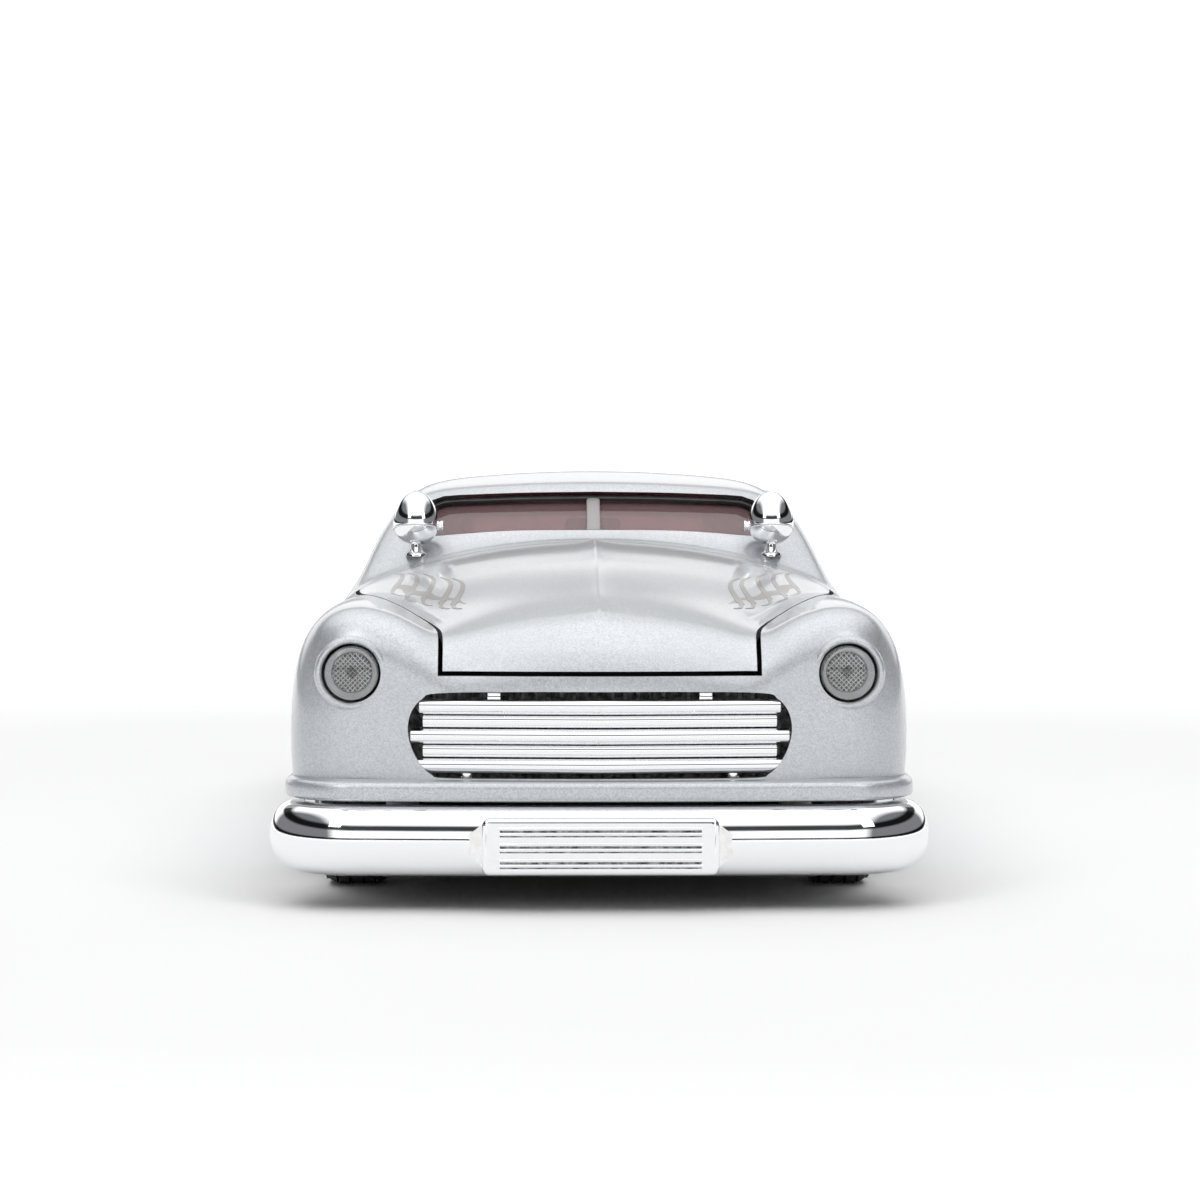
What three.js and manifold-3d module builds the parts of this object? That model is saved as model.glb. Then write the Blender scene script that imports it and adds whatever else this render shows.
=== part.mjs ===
// A 1:24 diecast collector car: a low, chopped two-door coupe with opening hood, doors and trunk lid.
// Millimetres, +Z up. The nose points to -Y, the driver's side is +X, and the tyres stand on z = 0.
import * as THREE from "three";
import { mergeVertices } from "three/addons/utils/BufferGeometryUtils.js";
import Module from "manifold-3d";

const wasm = await Module();
wasm.setup();

// ---------------------------------------------------------------- driving dimensions
const BODY_LENGTH = 208; // painted body, without the bumpers
const BODY_WIDTH = 78.6; // across the front fenders
const WALL = 1.3; // cast wall of the body and its opening panels
const PANEL_GAP = 0.6; // shut line round the hood, doors and trunk lid
const FIT = 0.35; // clearance between fixed pieces that seat on each other

const SILL_Z = 5.5; // lower edge of the body between the wheels
const QUARTER_Z = 9.5; // lower edge behind the rear wheels
const END_Z = 13.5; // lower edge of the body above the bumpers
const NOSE_TOP = 31.5;
const COWL_TOP = 43.8;
const ROOF_TOP = 53.2;
const DECK_TOP = 41;
const TAIL_TOP = 27;
const FENDER_TOP = 37.8;
const BELT_Z = 38.2; // top edge of the doors
const BELT_INSET = 5.9; // widest side to the foot of the cabin
const BULGE_Z = 21; // height where the sides are fullest

const HOOD_RUN = 66; // nose to the rear edge of the hood
const HOOD_LIP_Z = 29.2;
const HOOD_NOSE_HALF = 20;
const GLASS_BASE_RUN = 72;
const GLASS_RAKE = 34; // degrees from level
const GLASS_T = 1;
const ROOF_PEAK_RUN = 110;
const DECK_RUN = 166; // nose to the front of the rear deck
const TRUNK_SETBACK = 4; // deck front to the trunk lid
const TRUNK_LIP_Z = 18.5;
const TRUNK_HALF = 22;
const DOOR_FRONT_RUN = 77;
const DOOR_LENGTH = 46;
const DOOR_LOW_Z = 8.2;
const PILLAR = 3.4; // width of the pillar behind the door window
const WINDOW_LOW_Z = 40;
const WINDOW_HIGH_Z = 48.8;

const FRONT_OVERHANG = 31; // nose to front axle
const REAR_OVERHANG = 52; // rear axle to tail
const TYRE_R = 13.2;
const TYRE_WIDTH = 9;
const TYRE_INSET = 3.4; // widest side of the body to the tyre's outer face
const RIM_R = 9;
const AXLE_R = 1;
const AXLE_PLAY = 0.35;
const ARCH_CLEAR = 2.4; // tyre to the edge of the wheel arch
const ARCH_DROP = 4.6; // the arch is centred this far below the axle

const CHASSIS_Z = 4.9;
const CHASSIS_T = 1.6;
const CHASSIS_HALF = 34;
const PAD_HALF = 9; // square pad under the chassis that a display plinth takes
const PAD_T = 1.2;
const WHEEL_CLEAR = 4; // tyre to chassis and tub
const TUB_HALF = 28.5;
const TUB_WALL = 1.2;
const TUB_TOP = 34;
const SEAT_HALF = 23;
const POST_X = 25;
const POST_R = 2.1;
const SCREW_R = 0.8;
const SCREW_HEAD_R = 1.7;

const BUMPER_HALF = 41.5;
const BUMPER_LOW_Z = 4.3;
const BUMPER_HIGH_Z = 13.1;
const BUMPER_REACH = 5; // bumper face ahead of the body
const BUMPER_T = 4.2;
const PLATE_HALF = 15.2; // ribbed plate in the middle of each bumper
const LIP_LOW_Z = 13.5;
const LIP_HIGH_Z = 16;
const LIP_REACH = 2;
const GRILLE_HALF = 24;
const GRILLE_LOW_Z = 16.2;
const GRILLE_HIGH_Z = 27;
const GRILLE_BAR_R = 0.9;
const HEADLIGHT_X = 31;
const HEADLIGHT_Z = 29.2;
const HEADLIGHT_R = 3.7;
const HEADLIGHT_RING = 0.95;
const HEADLIGHT_SETBACK = 3; // nose to the front of the headlight rings
const TAILLIGHT_X = 32.4;
const TAILLIGHT_Z = 24.5;
const TAILLIGHT_R = 2.6;
const TAILLIGHT_SETBACK = 5;
const SPOT_INSET = 14; // widest side to the centre line of the spotlights
const SPOT_SETBACK = 2; // foot of the windshield to the spotlights
const SPOT_RISE = 5.95; // skin to the middle of the spotlights
const SPOT_R = 3.1;
const HINGE_R = 5.8; // radius of every curved hinge arm
const HINGE_T = 1.1;
const HINGE_GAP = 1.2; // panel's inner skin to the start of its arm
const HINGE_WIDTH = 2.4;
const HINGE_X = 16; // centre line to the hood's and trunk's hinge arms

const WHEEL_FACETS = 20;
const OUTER_CELL = 4.5; // width of the facets of the body's outer skin
const INNER_CELL = 5.7;
const FAN_SHARE = 0.3; // share of each half side that wraps round an edge

// ---------------------------------------------------------------- derived places
const NOSE = -BODY_LENGTH / 2;
const TAIL = BODY_LENGTH / 2;
const HALF = BODY_WIDTH / 2;
const COWL = NOSE + HOOD_RUN;
const GLASS_BASE = NOSE + GLASS_BASE_RUN;
const ROOF_PEAK = NOSE + ROOF_PEAK_RUN;
const DECK = NOSE + DECK_RUN;
const TRUNK_FRONT = DECK + TRUNK_SETBACK;
const DOOR_FRONT = NOSE + DOOR_FRONT_RUN;
const DOOR_REAR = DOOR_FRONT + DOOR_LENGTH;
const FRONT_AXLE = NOSE + FRONT_OVERHANG;
const REAR_AXLE = TAIL - REAR_OVERHANG;
const AXLE_Z = TYRE_R;
const TYRE_FACE = HALF - TYRE_INSET;
const WHEEL_BAY = TYRE_FACE - TYRE_WIDTH - WHEEL_CLEAR; // half width left between the wheels
const ARCH_HALF = TYRE_R + WHEEL_CLEAR / 2;
const ARCH_R = TYRE_R + ARCH_CLEAR;
const CHASSIS_TOP = CHASSIS_Z + CHASSIS_T;
const FLOOR_Z = CHASSIS_TOP + FIT;
const TUB_FRONT = GLASS_BASE + 2;
const TUB_REAR = Math.min(REAR_AXLE - ARCH_HALF - 1, DECK - 24);
const FIREWALL = COWL + 3.2;
const FRONT_POST = FRONT_AXLE - ARCH_HALF - POST_R;
const REAR_POST = REAR_AXLE + ARCH_HALF + POST_R + 2;
const FENDER_RIDGE = HALF - 7.6;

// ---------------------------------------------------------------- curves and blends
// A smooth curve through [place, value] points that never overshoots them.
function curve(points) {
  const last = points.length - 1;
  const rise = points.slice(1).map((p, i) => (p[1] - points[i][1]) / (p[0] - points[i][0]));
  const slope = points.map((p, i) => {
    if (i === 0 || i === last) return rise[Math.min(i, last - 1)];
    const product = rise[i - 1] * rise[i];
    return product <= 0 ? 0 : (2 * product) / (rise[i - 1] + rise[i]);
  });
  return (at) => {
    if (at <= points[0][0]) return points[0][1];
    if (at >= points[last][0]) return points[last][1];
    const i = points.findIndex((p) => p[0] > at) - 1;
    const span = points[i + 1][0] - points[i][0];
    const t = (at - points[i][0]) / span;
    const ends = points[i][1] * (1 + 2 * t) * (1 - t) ** 2 + points[i + 1][1] * (3 - 2 * t) * t ** 2;
    return ends + span * (slope[i] * t * (1 - t) ** 2 + slope[i + 1] * (t - 1) * t ** 2);
  };
}

// The larger of two distances, rounded off where they meet. A negative round gives the smaller.
function blend(a, b, round) {
  const reach = Math.abs(round);
  const side = Math.sign(round);
  const overlap = Math.max(reach - Math.abs(a - b), 0) / reach;
  return side * (Math.max(side * a, side * b) + (overlap ** 3 * reach) / 6);
}

// ---------------------------------------------------------------- the body's outer form
const centreTop = curve([
  [NOSE, NOSE_TOP],
  [NOSE + 8, NOSE_TOP + 4.2],
  [NOSE + 24, NOSE_TOP + 7.4],
  [NOSE + 44, NOSE_TOP + 10.4],
  [COWL, COWL_TOP],
  [ROOF_PEAK, COWL_TOP],
  [DECK, DECK_TOP],
  [DECK + 17, DECK_TOP - 3.2],
  [TAIL - 10, TAIL_TOP + 5],
  [TAIL, TAIL_TOP],
]);
const crownDrop = curve([
  [NOSE, 2.6],
  [NOSE + 24, 4],
  [COWL, 6.4],
  [DECK, 5],
  [TAIL, 3],
]);
const crownHalf = curve([
  [NOSE, 21],
  [NOSE + 24, 21.6],
  [COWL, HALF - 5.8],
  [DECK, 27],
  [TAIL, 24],
]);
const fenderTop = curve([
  [NOSE, FENDER_TOP - 2],
  [NOSE + 10, FENDER_TOP - 0.3],
  [NOSE + 22, FENDER_TOP],
  [COWL, FENDER_TOP - 1],
  [0, FENDER_TOP - 2.4],
  [REAR_AXLE - 26, FENDER_TOP - 2.8],
  [REAR_AXLE - 6, FENDER_TOP - 1.8],
  [REAR_AXLE + 20, FENDER_TOP - 4.2],
  [TAIL, FENDER_TOP - 9.5],
]);
const sideHalf = curve([
  [NOSE, HALF - 1.2],
  [NOSE + 18, HALF],
  [NOSE + 46, HALF - 0.1],
  [COWL + 16, HALF - 1.1],
  [REAR_AXLE - 34, HALF - 1.3],
  [REAR_AXLE + 4, HALF - 0.3],
  [TAIL - 16, HALF - 1],
  [TAIL, HALF - 3.2],
]);
const roofLine = curve([
  [GLASS_BASE - 6, ROOF_TOP - 3.4],
  [GLASS_BASE + 12, ROOF_TOP - 1.2],
  [ROOF_PEAK, ROOF_TOP],
  [ROOF_PEAK + 20, ROOF_TOP - 1],
  [ROOF_PEAK + 34, ROOF_TOP - 4],
  [DECK - 10, ROOF_TOP - 8.4],
  [DECK, DECK_TOP - 0.2],
  [DECK + 12, DECK_TOP - 9],
  [DECK + 24, 0],
]);
const lowerEdge = curve([
  [FRONT_AXLE - ARCH_HALF, END_Z],
  [FRONT_AXLE + ARCH_HALF - 4, SILL_Z],
  [REAR_AXLE - ARCH_HALF + 4, SILL_Z],
  [REAR_AXLE + ARCH_HALF - 2, QUARTER_Z],
  [TAIL - 18, QUARTER_Z],
  [TAIL - 13, END_Z],
]);

function lowerBody(x, y, z) {
  const across = Math.abs(x);
  const middle = centreTop(y) - crownDrop(y) * (across / crownHalf(y)) ** 2.1;
  const fender = fenderTop(y) - 2.9 * ((across - FENDER_RIDGE) / 9.6) ** 2;
  const top = blend(middle, fender, 3.2);
  const side = across - sideHalf(y) + 2.2 * ((z - BULGE_Z) / 16) ** 2;
  const front = NOSE + 0.5 + 0.0028 * across ** 2 + 0.0016 * (z - 18) ** 2 - y;
  const rear = y - TAIL + 0.002 * across ** 2 + 0.006 * (z - 18) ** 2;
  return blend(blend(blend(z - top, side, 10.5), front, 9.5), rear, 11);
}

function screenPlane(x, y, z) {
  const rake = THREE.MathUtils.degToRad(GLASS_RAKE);
  const base = GLASS_BASE + 0.011 * x * x;
  return (z - COWL_TOP - 1) * Math.cos(rake) - (y - base) * Math.sin(rake);
}

function cabin(x, y, z) {
  const taper = 0.0032 * Math.max(y - ROOF_PEAK - 4, 0) ** 2;
  const roof = z - roofLine(y) + 0.0026 * x * x;
  const lean = 0.43 * (Math.max(z, BELT_Z - 4) - BELT_Z);
  const side = 0.92 * (Math.abs(x) - HALF + BELT_INSET + lean + taper);
  return blend(blend(roof, side, 9), screenPlane(x, y, z), 2.5);
}

// Distance to the body's outer skin, negative inside. The form inside the walls has no floor.
function bodyForm(x, y, z, floor) {
  const skin = blend(lowerBody(x, y, z), cabin(x, y, z), -3);
  return blend(skin, floor ? lowerEdge(y) - z : -z - 10, 1.5);
}

// Height of the outer skin above a place in the plan.
function skinHeight(x, y) {
  let z = ROOF_TOP + 1;
  while (bodyForm(x, y, z, false) > 0) z -= 0.05;
  return z;
}

// ---------------------------------------------------------------- solids
const vector = (x, y, z) => new THREE.Vector3(x, y, z);

// A closed geometry as a solid that can be cut and joined.
function solid(geometry) {
  const bare = geometry.clone();
  bare.deleteAttribute("normal");
  bare.deleteAttribute("uv");
  const merged = mergeVertices(bare, 1e-4);
  const vertProperties = merged.attributes.position.array;
  const triVerts = new Uint32Array(merged.index.array);
  return new wasm.Manifold(new wasm.Mesh({ numProp: 3, vertProperties, triVerts }));
}

function geometryOf(part) {
  const mesh = part.getMesh();
  return new THREE.BufferGeometry()
    .setAttribute("position", new THREE.BufferAttribute(mesh.vertProperties, 3))
    .setIndex(new THREE.BufferAttribute(mesh.triVerts, 1));
}

function joined(first, ...rest) {
  return rest.reduce((whole, part) => whole.add(part), first);
}

function box(x0, x1, y0, y1, z0, z1) {
  const g = new THREE.BoxGeometry(x1 - x0, y1 - y0, z1 - z0);
  return solid(g.translate((x0 + x1) / 2, (y0 + y1) / 2, (z0 + z1) / 2));
}

// Turns a geometry whose own axis is Y to lie along another axis.
function aim(geometry, axis) {
  if (axis === "x") geometry.rotateZ(-Math.PI / 2);
  if (axis === "z") geometry.rotateX(Math.PI / 2);
  return geometry;
}

function rod(axis, radius, length, at, facets = 16, farRadius = radius) {
  const g = aim(new THREE.CylinderGeometry(farRadius, radius, length, facets), axis);
  return solid(g.translate(...at));
}

// [radius, height] points, from axis to axis or closing on themselves, turned about an axis.
function turned(axis, profile, facets = WHEEL_FACETS) {
  const points = profile.map((p) => new THREE.Vector2(...p));
  return solid(aim(new THREE.LatheGeometry(points, facets), axis));
}

// An outline pushed along an axis: (x, y) points along z, (x, z) along y, (y, z) along x.
function slab(axis, outline, from, to) {
  const shape = new THREE.Shape(outline.map((p) => new THREE.Vector2(...p)));
  const g = new THREE.ExtrudeGeometry(shape, { depth: to - from, bevelEnabled: false });
  if (axis === "y") return solid(g.translate(0, 0, -to).rotateX(Math.PI / 2));
  g.translate(0, 0, from);
  if (axis === "z") return solid(g);
  const cycle = new THREE.Matrix4().makeBasis(vector(0, 1, 0), vector(0, 0, 1), vector(1, 0, 0));
  return solid(g.applyMatrix4(cycle));
}

// The points of a rectangle whose corners are arcs.
function roundedBox(u0, u1, v0, v1, radius, steps = 4) {
  const corners = [
    [u1 - radius, v0 + radius, -90],
    [u1 - radius, v1 - radius, 0],
    [u0 + radius, v1 - radius, 90],
    [u0 + radius, v0 + radius, 180],
  ];
  return corners.flatMap(([u, v, start]) =>
    Array.from({ length: steps + 1 }, (_, i) => {
      const turn = THREE.MathUtils.degToRad(start + (90 * i) / steps);
      return [u + radius * Math.cos(turn), v + radius * Math.sin(turn)];
    }),
  );
}

// Both halves of an outline that is given on the +u side, from its first point to its last.
function mirroredOutline(half) {
  const other = half.filter((p) => p[0] > 0).map(([u, v]) => [-u, v]);
  return [...half, ...other.reverse()];
}

// ---------------------------------------------------------------- skins cast from the body's form
// Half width at the top of the core that the lattice's rays start from, wide under the hood and deck.
const coreHalf = curve([
  [NOSE + 50, HALF - 9],
  [COWL + 10, 15],
  [DECK - 18, 15],
  [DECK + 8, HALF - 10],
]);
const CORE_LIFT = 5; // core above the body's lower edge
const CORE_HIGH = 24;
const CORE_END = 14; // the core stops this far inside the nose and tail

// Distance from a core point along a ray to the skin at the given depth under the surface.
function castRay(origin, ray, depth, floor) {
  const inside = (t) =>
    bodyForm(origin.x + ray.x * t, origin.y + ray.y * t, origin.z + ray.z * t, floor) < -depth;
  let far = 60;
  while (far > 0 && !inside(far)) far -= 1.5;
  let near = Math.max(far, 0);
  far = near + 1.5;
  for (let i = 0; i < 16; i++) {
    const middle = (near + far) / 2;
    if (inside(middle)) near = middle;
    else far = middle;
  }
  return near;
}

// A closed skin: a box-shaped lattice whose rays are perpendicular on its faces and fan at its edges.
function skin(depth, floor, cell) {
  const across = 2 * Math.ceil(BODY_WIDTH / cell / 2);
  const along = Math.ceil(BODY_LENGTH / cell / 1.4);
  const high = Math.ceil(ROOF_TOP / cell / 1.9);
  const fan = (s) => Math.sign(s) * Math.max(Math.abs(s) - 1 + FAN_SHARE, 0) / FAN_SHARE;
  const core = (s) => THREE.MathUtils.clamp(s / (1 - FAN_SHARE), -1, 1);
  const found = new Map();
  const positions = [];
  const corner = (a, b, c) => {
    const key = [a, b, c].join();
    if (found.has(key)) return found.get(key);
    const s = [(2 * a) / across - 1, (2 * b) / along - 1, (2 * c) / high - 1];
    const y = core(s[1]) * (TAIL - CORE_END);
    const rise = (core(s[2]) + 1) / 2;
    const half = THREE.MathUtils.lerp(HALF - 9, coreHalf(y), rise);
    const z = THREE.MathUtils.lerp(lowerEdge(y) + CORE_LIFT, CORE_HIGH, rise);
    const origin = vector(core(s[0]) * half, y, z);
    const ray = vector(...s.map(fan)).normalize();
    positions.push(...origin.addScaledVector(ray, castRay(origin, ray, depth, floor)).toArray());
    found.set(key, positions.length / 3 - 1);
    return positions.length / 3 - 1;
  };
  const faces = [];
  const quad = (a, b, c, d) => faces.push(a, b, c, a, c, d);
  for (let b = 0; b < along; b++) {
    for (let a = 0; a < across; a++) {
      quad(corner(a, b, high), corner(a + 1, b, high), corner(a + 1, b + 1, high), corner(a, b + 1, high));
      quad(corner(a, b, 0), corner(a, b + 1, 0), corner(a + 1, b + 1, 0), corner(a + 1, b, 0));
    }
    for (let c = 0; c < high; c++) {
      quad(corner(across, b, c), corner(across, b + 1, c), corner(across, b + 1, c + 1), corner(across, b, c + 1));
      quad(corner(0, b, c), corner(0, b, c + 1), corner(0, b + 1, c + 1), corner(0, b + 1, c));
    }
  }
  for (let a = 0; a < across; a++) {
    for (let c = 0; c < high; c++) {
      quad(corner(a, 0, c), corner(a + 1, 0, c), corner(a + 1, 0, c + 1), corner(a, 0, c + 1));
      quad(corner(a, along, c), corner(a, along, c + 1), corner(a + 1, along, c + 1), corner(a + 1, along, c));
    }
  }
  const g = new THREE.BufferGeometry();
  g.setAttribute("position", new THREE.Float32BufferAttribute(positions, 3));
  return solid(g.setIndex(faces));
}

// ---------------------------------------------------------------- regions that open or are cut out
// The hood's plan, grown outwards by a margin.
function hoodRegion(margin) {
  const edge = [
    [0, NOSE - 12],
    [HOOD_NOSE_HALF + margin, NOSE - 12],
    [HOOD_NOSE_HALF + margin, NOSE + 8],
    [HOOD_NOSE_HALF + 1.4 + margin, NOSE + 16],
    [HOOD_NOSE_HALF + 4 + margin, NOSE + 22],
    [HOOD_NOSE_HALF + 7.4 + margin, NOSE + 30],
    [FENDER_RIDGE - 1.4 + margin, NOSE + 42],
    [FENDER_RIDGE + 0.6 + margin, NOSE + 54],
    [FENDER_RIDGE + 1.4 + margin, COWL + margin],
    [0, COWL + margin],
  ];
  return slab("z", mirroredOutline(edge), HOOD_LIP_Z - margin, ROOF_TOP);
}

function trunkRegion(margin) {
  const edge = [
    [0, TRUNK_FRONT - margin],
    [TRUNK_HALF - 4 + margin, TRUNK_FRONT - margin],
    [TRUNK_HALF - 1 + margin, TRUNK_FRONT + 2 - margin],
    [TRUNK_HALF + margin, TRUNK_FRONT + 6],
    [TRUNK_HALF + margin, TAIL + 12],
    [0, TAIL + 12],
  ];
  return slab("z", mirroredOutline(edge), TRUNK_LIP_Z - margin, ROOF_TOP);
}

// The driver's door, on +X.
function doorRegion(margin) {
  const outline = roundedBox(DOOR_FRONT - margin, DOOR_REAR + margin, DOOR_LOW_Z - margin, BELT_Z + margin, 2);
  return slab("x", outline, TUB_HALF + 2, HALF + 4);
}

function windowRegion(from, to, lean) {
  const outline = [
    [from, WINDOW_LOW_Z],
    [to, WINDOW_LOW_Z],
    [to - lean, WINDOW_HIGH_Z],
    [from + (lean ? 1 : 9.5), WINDOW_HIGH_Z],
  ];
  return slab("x", outline, -HALF, HALF);
}

// The windshield opening as seen from the front, grown outwards by a margin.
function screenRegion(margin) {
  const edge = [
    [0, COWL_TOP + 1.5 - margin],
    [23 + margin, COWL_TOP + 0.5 - margin],
    [25 + margin, COWL_TOP + 2.2],
    [22.5 + margin, ROOF_TOP - 3.4 + margin / 2],
    [0, ROOF_TOP - 2.6 + margin / 2],
  ];
  return slab("y", mirroredOutline(edge), GLASS_BASE - 8, GLASS_BASE + 22);
}

// The rear window opening as seen from above.
function backRegion(margin) {
  return slab("z", roundedBox(-19 - margin, 19 + margin, DECK - 21 - margin, DECK - 5 + margin, 5), DECK_TOP - 4, ROOF_TOP);
}

// The grille opening as seen from the front, fullest at mid height.
function grilleRegion() {
  const edge = [
    [0, GRILLE_LOW_Z],
    [GRILLE_HALF - 3.6, GRILLE_LOW_Z],
    [GRILLE_HALF - 1.8, GRILLE_LOW_Z + 0.8],
    [GRILLE_HALF - 0.8, GRILLE_LOW_Z + 2.4],
    [GRILLE_HALF, (GRILLE_LOW_Z + GRILLE_HIGH_Z) / 2 + 1],
    [GRILLE_HALF - 0.4, GRILLE_HIGH_Z - 2.6],
    [GRILLE_HALF - 1.4, GRILLE_HIGH_Z - 0.8],
    [GRILLE_HALF - 3, GRILLE_HIGH_Z],
    [0, GRILLE_HIGH_Z],
  ];
  return slab("y", mirroredOutline(edge), NOSE - 10, NOSE + 8);
}

// ---------------------------------------------------------------- the scene
const root = new THREE.Group();

const FINISHES = {
  paint: { color: 0xc3c7ca, metalness: 0.6, roughness: 0.35 },
  chrome: { color: 0xe6e8ea, metalness: 1, roughness: 0.06 },
  steel: { color: 0xa9adb0, metalness: 1, roughness: 0.3 },
  rubber: { color: 0x18181a, metalness: 0, roughness: 0.85 },
  black: { color: 0x141416, metalness: 0, roughness: 0.55 },
  maroon: { color: 0x5d1f22, metalness: 0, roughness: 0.5 },
  glass: { color: 0xdfe6ea, metalness: 0, roughness: 0.05, transparent: true, opacity: 0.35 },
  red: { color: 0xa8121a, metalness: 0, roughness: 0.1, transparent: true, opacity: 0.6 },
};

// Adds a named piece to the scene, and returns its mesh so that it can be placed.
function add(name, finish, part, at = [0, 0, 0]) {
  const mesh = new THREE.Mesh(geometryOf(part), new THREE.MeshStandardMaterial(FINISHES[finish]));
  mesh.name = name;
  mesh.position.set(...at);
  root.add(mesh);
  return mesh;
}

// Adds the +X piece and its mirror image.
function addPair(name, finish, part) {
  add(name + "_left", finish, part);
  add(name + "_right", finish, part).scale.x = -1;
}

// ---------------------------------------------------------------- castings
function buildBody() {
  const shell = skin(0, true, OUTER_CELL).subtract(skin(WALL, false, INNER_CELL));
  const hood = shell.intersect(hoodRegion(-PANEL_GAP / 2));
  const trunk = shell.intersect(trunkRegion(-PANEL_GAP / 2));
  const door = shell.intersect(doorRegion(-PANEL_GAP / 2));

  const doorHole = doorRegion(PANEL_GAP / 2);
  const otherDoorHole = solid(flipped(geometryOf(doorHole)));
  const pillarAt = DOOR_REAR - 1;
  const cuts = [
    hoodRegion(PANEL_GAP / 2),
    trunkRegion(PANEL_GAP / 2),
    doorHole,
    otherDoorHole,
    screenRegion(0),
    backRegion(0),
    windowRegion(DOOR_FRONT + 4, pillarAt, 0),
    windowRegion(pillarAt + PILLAR, pillarAt + PILLAR + 15, 6),
    grilleRegion(),
  ];
  for (const side of [-1, 1]) {
    for (const axle of [FRONT_AXLE, REAR_AXLE]) {
      cuts.push(rod("x", ARCH_R, 16, [side * (HALF - 2), axle, AXLE_Z - ARCH_DROP], 28));
    }
    cuts.push(rod("y", HEADLIGHT_R, 16, [side * HEADLIGHT_X, NOSE + 4, HEADLIGHT_Z], 20));
    cuts.push(rod("y", TAILLIGHT_R, 12, [side * TAILLIGHT_X, TAIL - 4, TAILLIGHT_Z], 20));
  }
  let body = cuts.reduce((left, cut) => left.subtract(cut), shell);

  for (const side of [-1, 1]) {
    const ring = turned("y", [
      [HEADLIGHT_R, 7], [HEADLIGHT_R, 0.4], [HEADLIGHT_R + 0.3, 0],
      [HEADLIGHT_R + HEADLIGHT_RING - 0.2, 0.4], [HEADLIGHT_R + HEADLIGHT_RING, 1], [HEADLIGHT_R + HEADLIGHT_RING, 7],
      [HEADLIGHT_R, 7],
    ]);
    body = body.add(ring.translate([side * HEADLIGHT_X, NOSE + HEADLIGHT_SETBACK, HEADLIGHT_Z]));
    for (const [y, top] of [[FRONT_POST, FENDER_TOP - 5], [REAR_POST, FENDER_TOP - 7.4]]) {
      const low = CHASSIS_TOP + FIT;
      const post = rod("z", POST_R, top - low, [side * POST_X, y, (top + low) / 2], 14);
      const hole = rod("z", SCREW_R + FIT, 8, [side * POST_X, y, low + 3.9], 10);
      body = body.add(post).subtract(hole);
    }
  }
  add("body_shell", "paint", largest(body.add(frontLip())));
  add("hood", "paint", largest(hood));
  add("trunk_lid", "paint", largest(trunk));
  addPair("door", "paint", largest(door));
}

// The mirror image of a geometry across x = 0.
function flipped(geometry) {
  const g = geometry.clone().scale(-1, 1, 1);
  const index = g.index.array;
  for (let i = 0; i < index.length; i += 3) [index[i + 1], index[i + 2]] = [index[i + 2], index[i + 1]];
  return g;
}

// The biggest of the separate bodies in a solid, which leaves the crumbs of a cut behind.
function largest(part) {
  return part.decompose().reduce((best, one) => (one.volume() > best.volume() ? one : best));
}

// The plan of a bar that runs round the nose at a distance, from its +X end to its -X end.
function nosePath(reach, half, cornerR, back) {
  const at = NOSE - reach;
  const corner = [0, 1, 2, 3, 4, 5].map((i) => {
    const turn = (Math.PI / 2) * (1 - i / 5);
    return [half - cornerR * (1 - Math.sin(turn)), at + 1.2 + cornerR * (1 - Math.cos(turn))];
  });
  const right = [[half, back], ...corner, [half * 0.4, at + 0.3]];
  return [...right, [0, at], ...right.map(([x, y]) => [-x, y]).reverse()];
}

// A closed section of [outwards, z] points swept along a level path.
function sweep(path, section) {
  const positions = path.flatMap(([x, y], i) => {
    const before = path[Math.max(i - 1, 0)];
    const after = path[Math.min(i + 1, path.length - 1)];
    const out = new THREE.Vector2(before[1] - after[1], after[0] - before[0]).normalize();
    return section.flatMap(([u, z]) => [x + out.x * u, y + out.y * u, z]);
  });
  const size = section.length;
  const faces = [];
  for (let i = 0; i < path.length - 1; i++) {
    for (let j = 0; j < size; j++) {
      const k = (j + 1) % size;
      const [a, b, c, d] = [i * size + j, i * size + k, (i + 1) * size + k, (i + 1) * size + j];
      faces.push(a, b, c, a, c, d);
    }
  }
  const end = (path.length - 1) * size;
  for (let j = 1; j < size - 1; j++) faces.push(0, j + 1, j, end, end + j, end + j + 1);
  const g = new THREE.BufferGeometry();
  g.setAttribute("position", new THREE.Float32BufferAttribute(positions, 3));
  return solid(g.setIndex(faces));
}

// The painted ledge above the front bumper.
function frontLip() {
  const [low, high] = [LIP_LOW_Z, LIP_HIGH_Z];
  const section = [[-3.4, low], [-0.5, low], [0, low + 0.7], [0, high - 0.9], [-0.7, high], [-3.4, high]];
  return sweep(nosePath(LIP_REACH, HALF + 0.3, 10, FRONT_AXLE - ARCH_HALF - 0.5), section);
}

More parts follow.
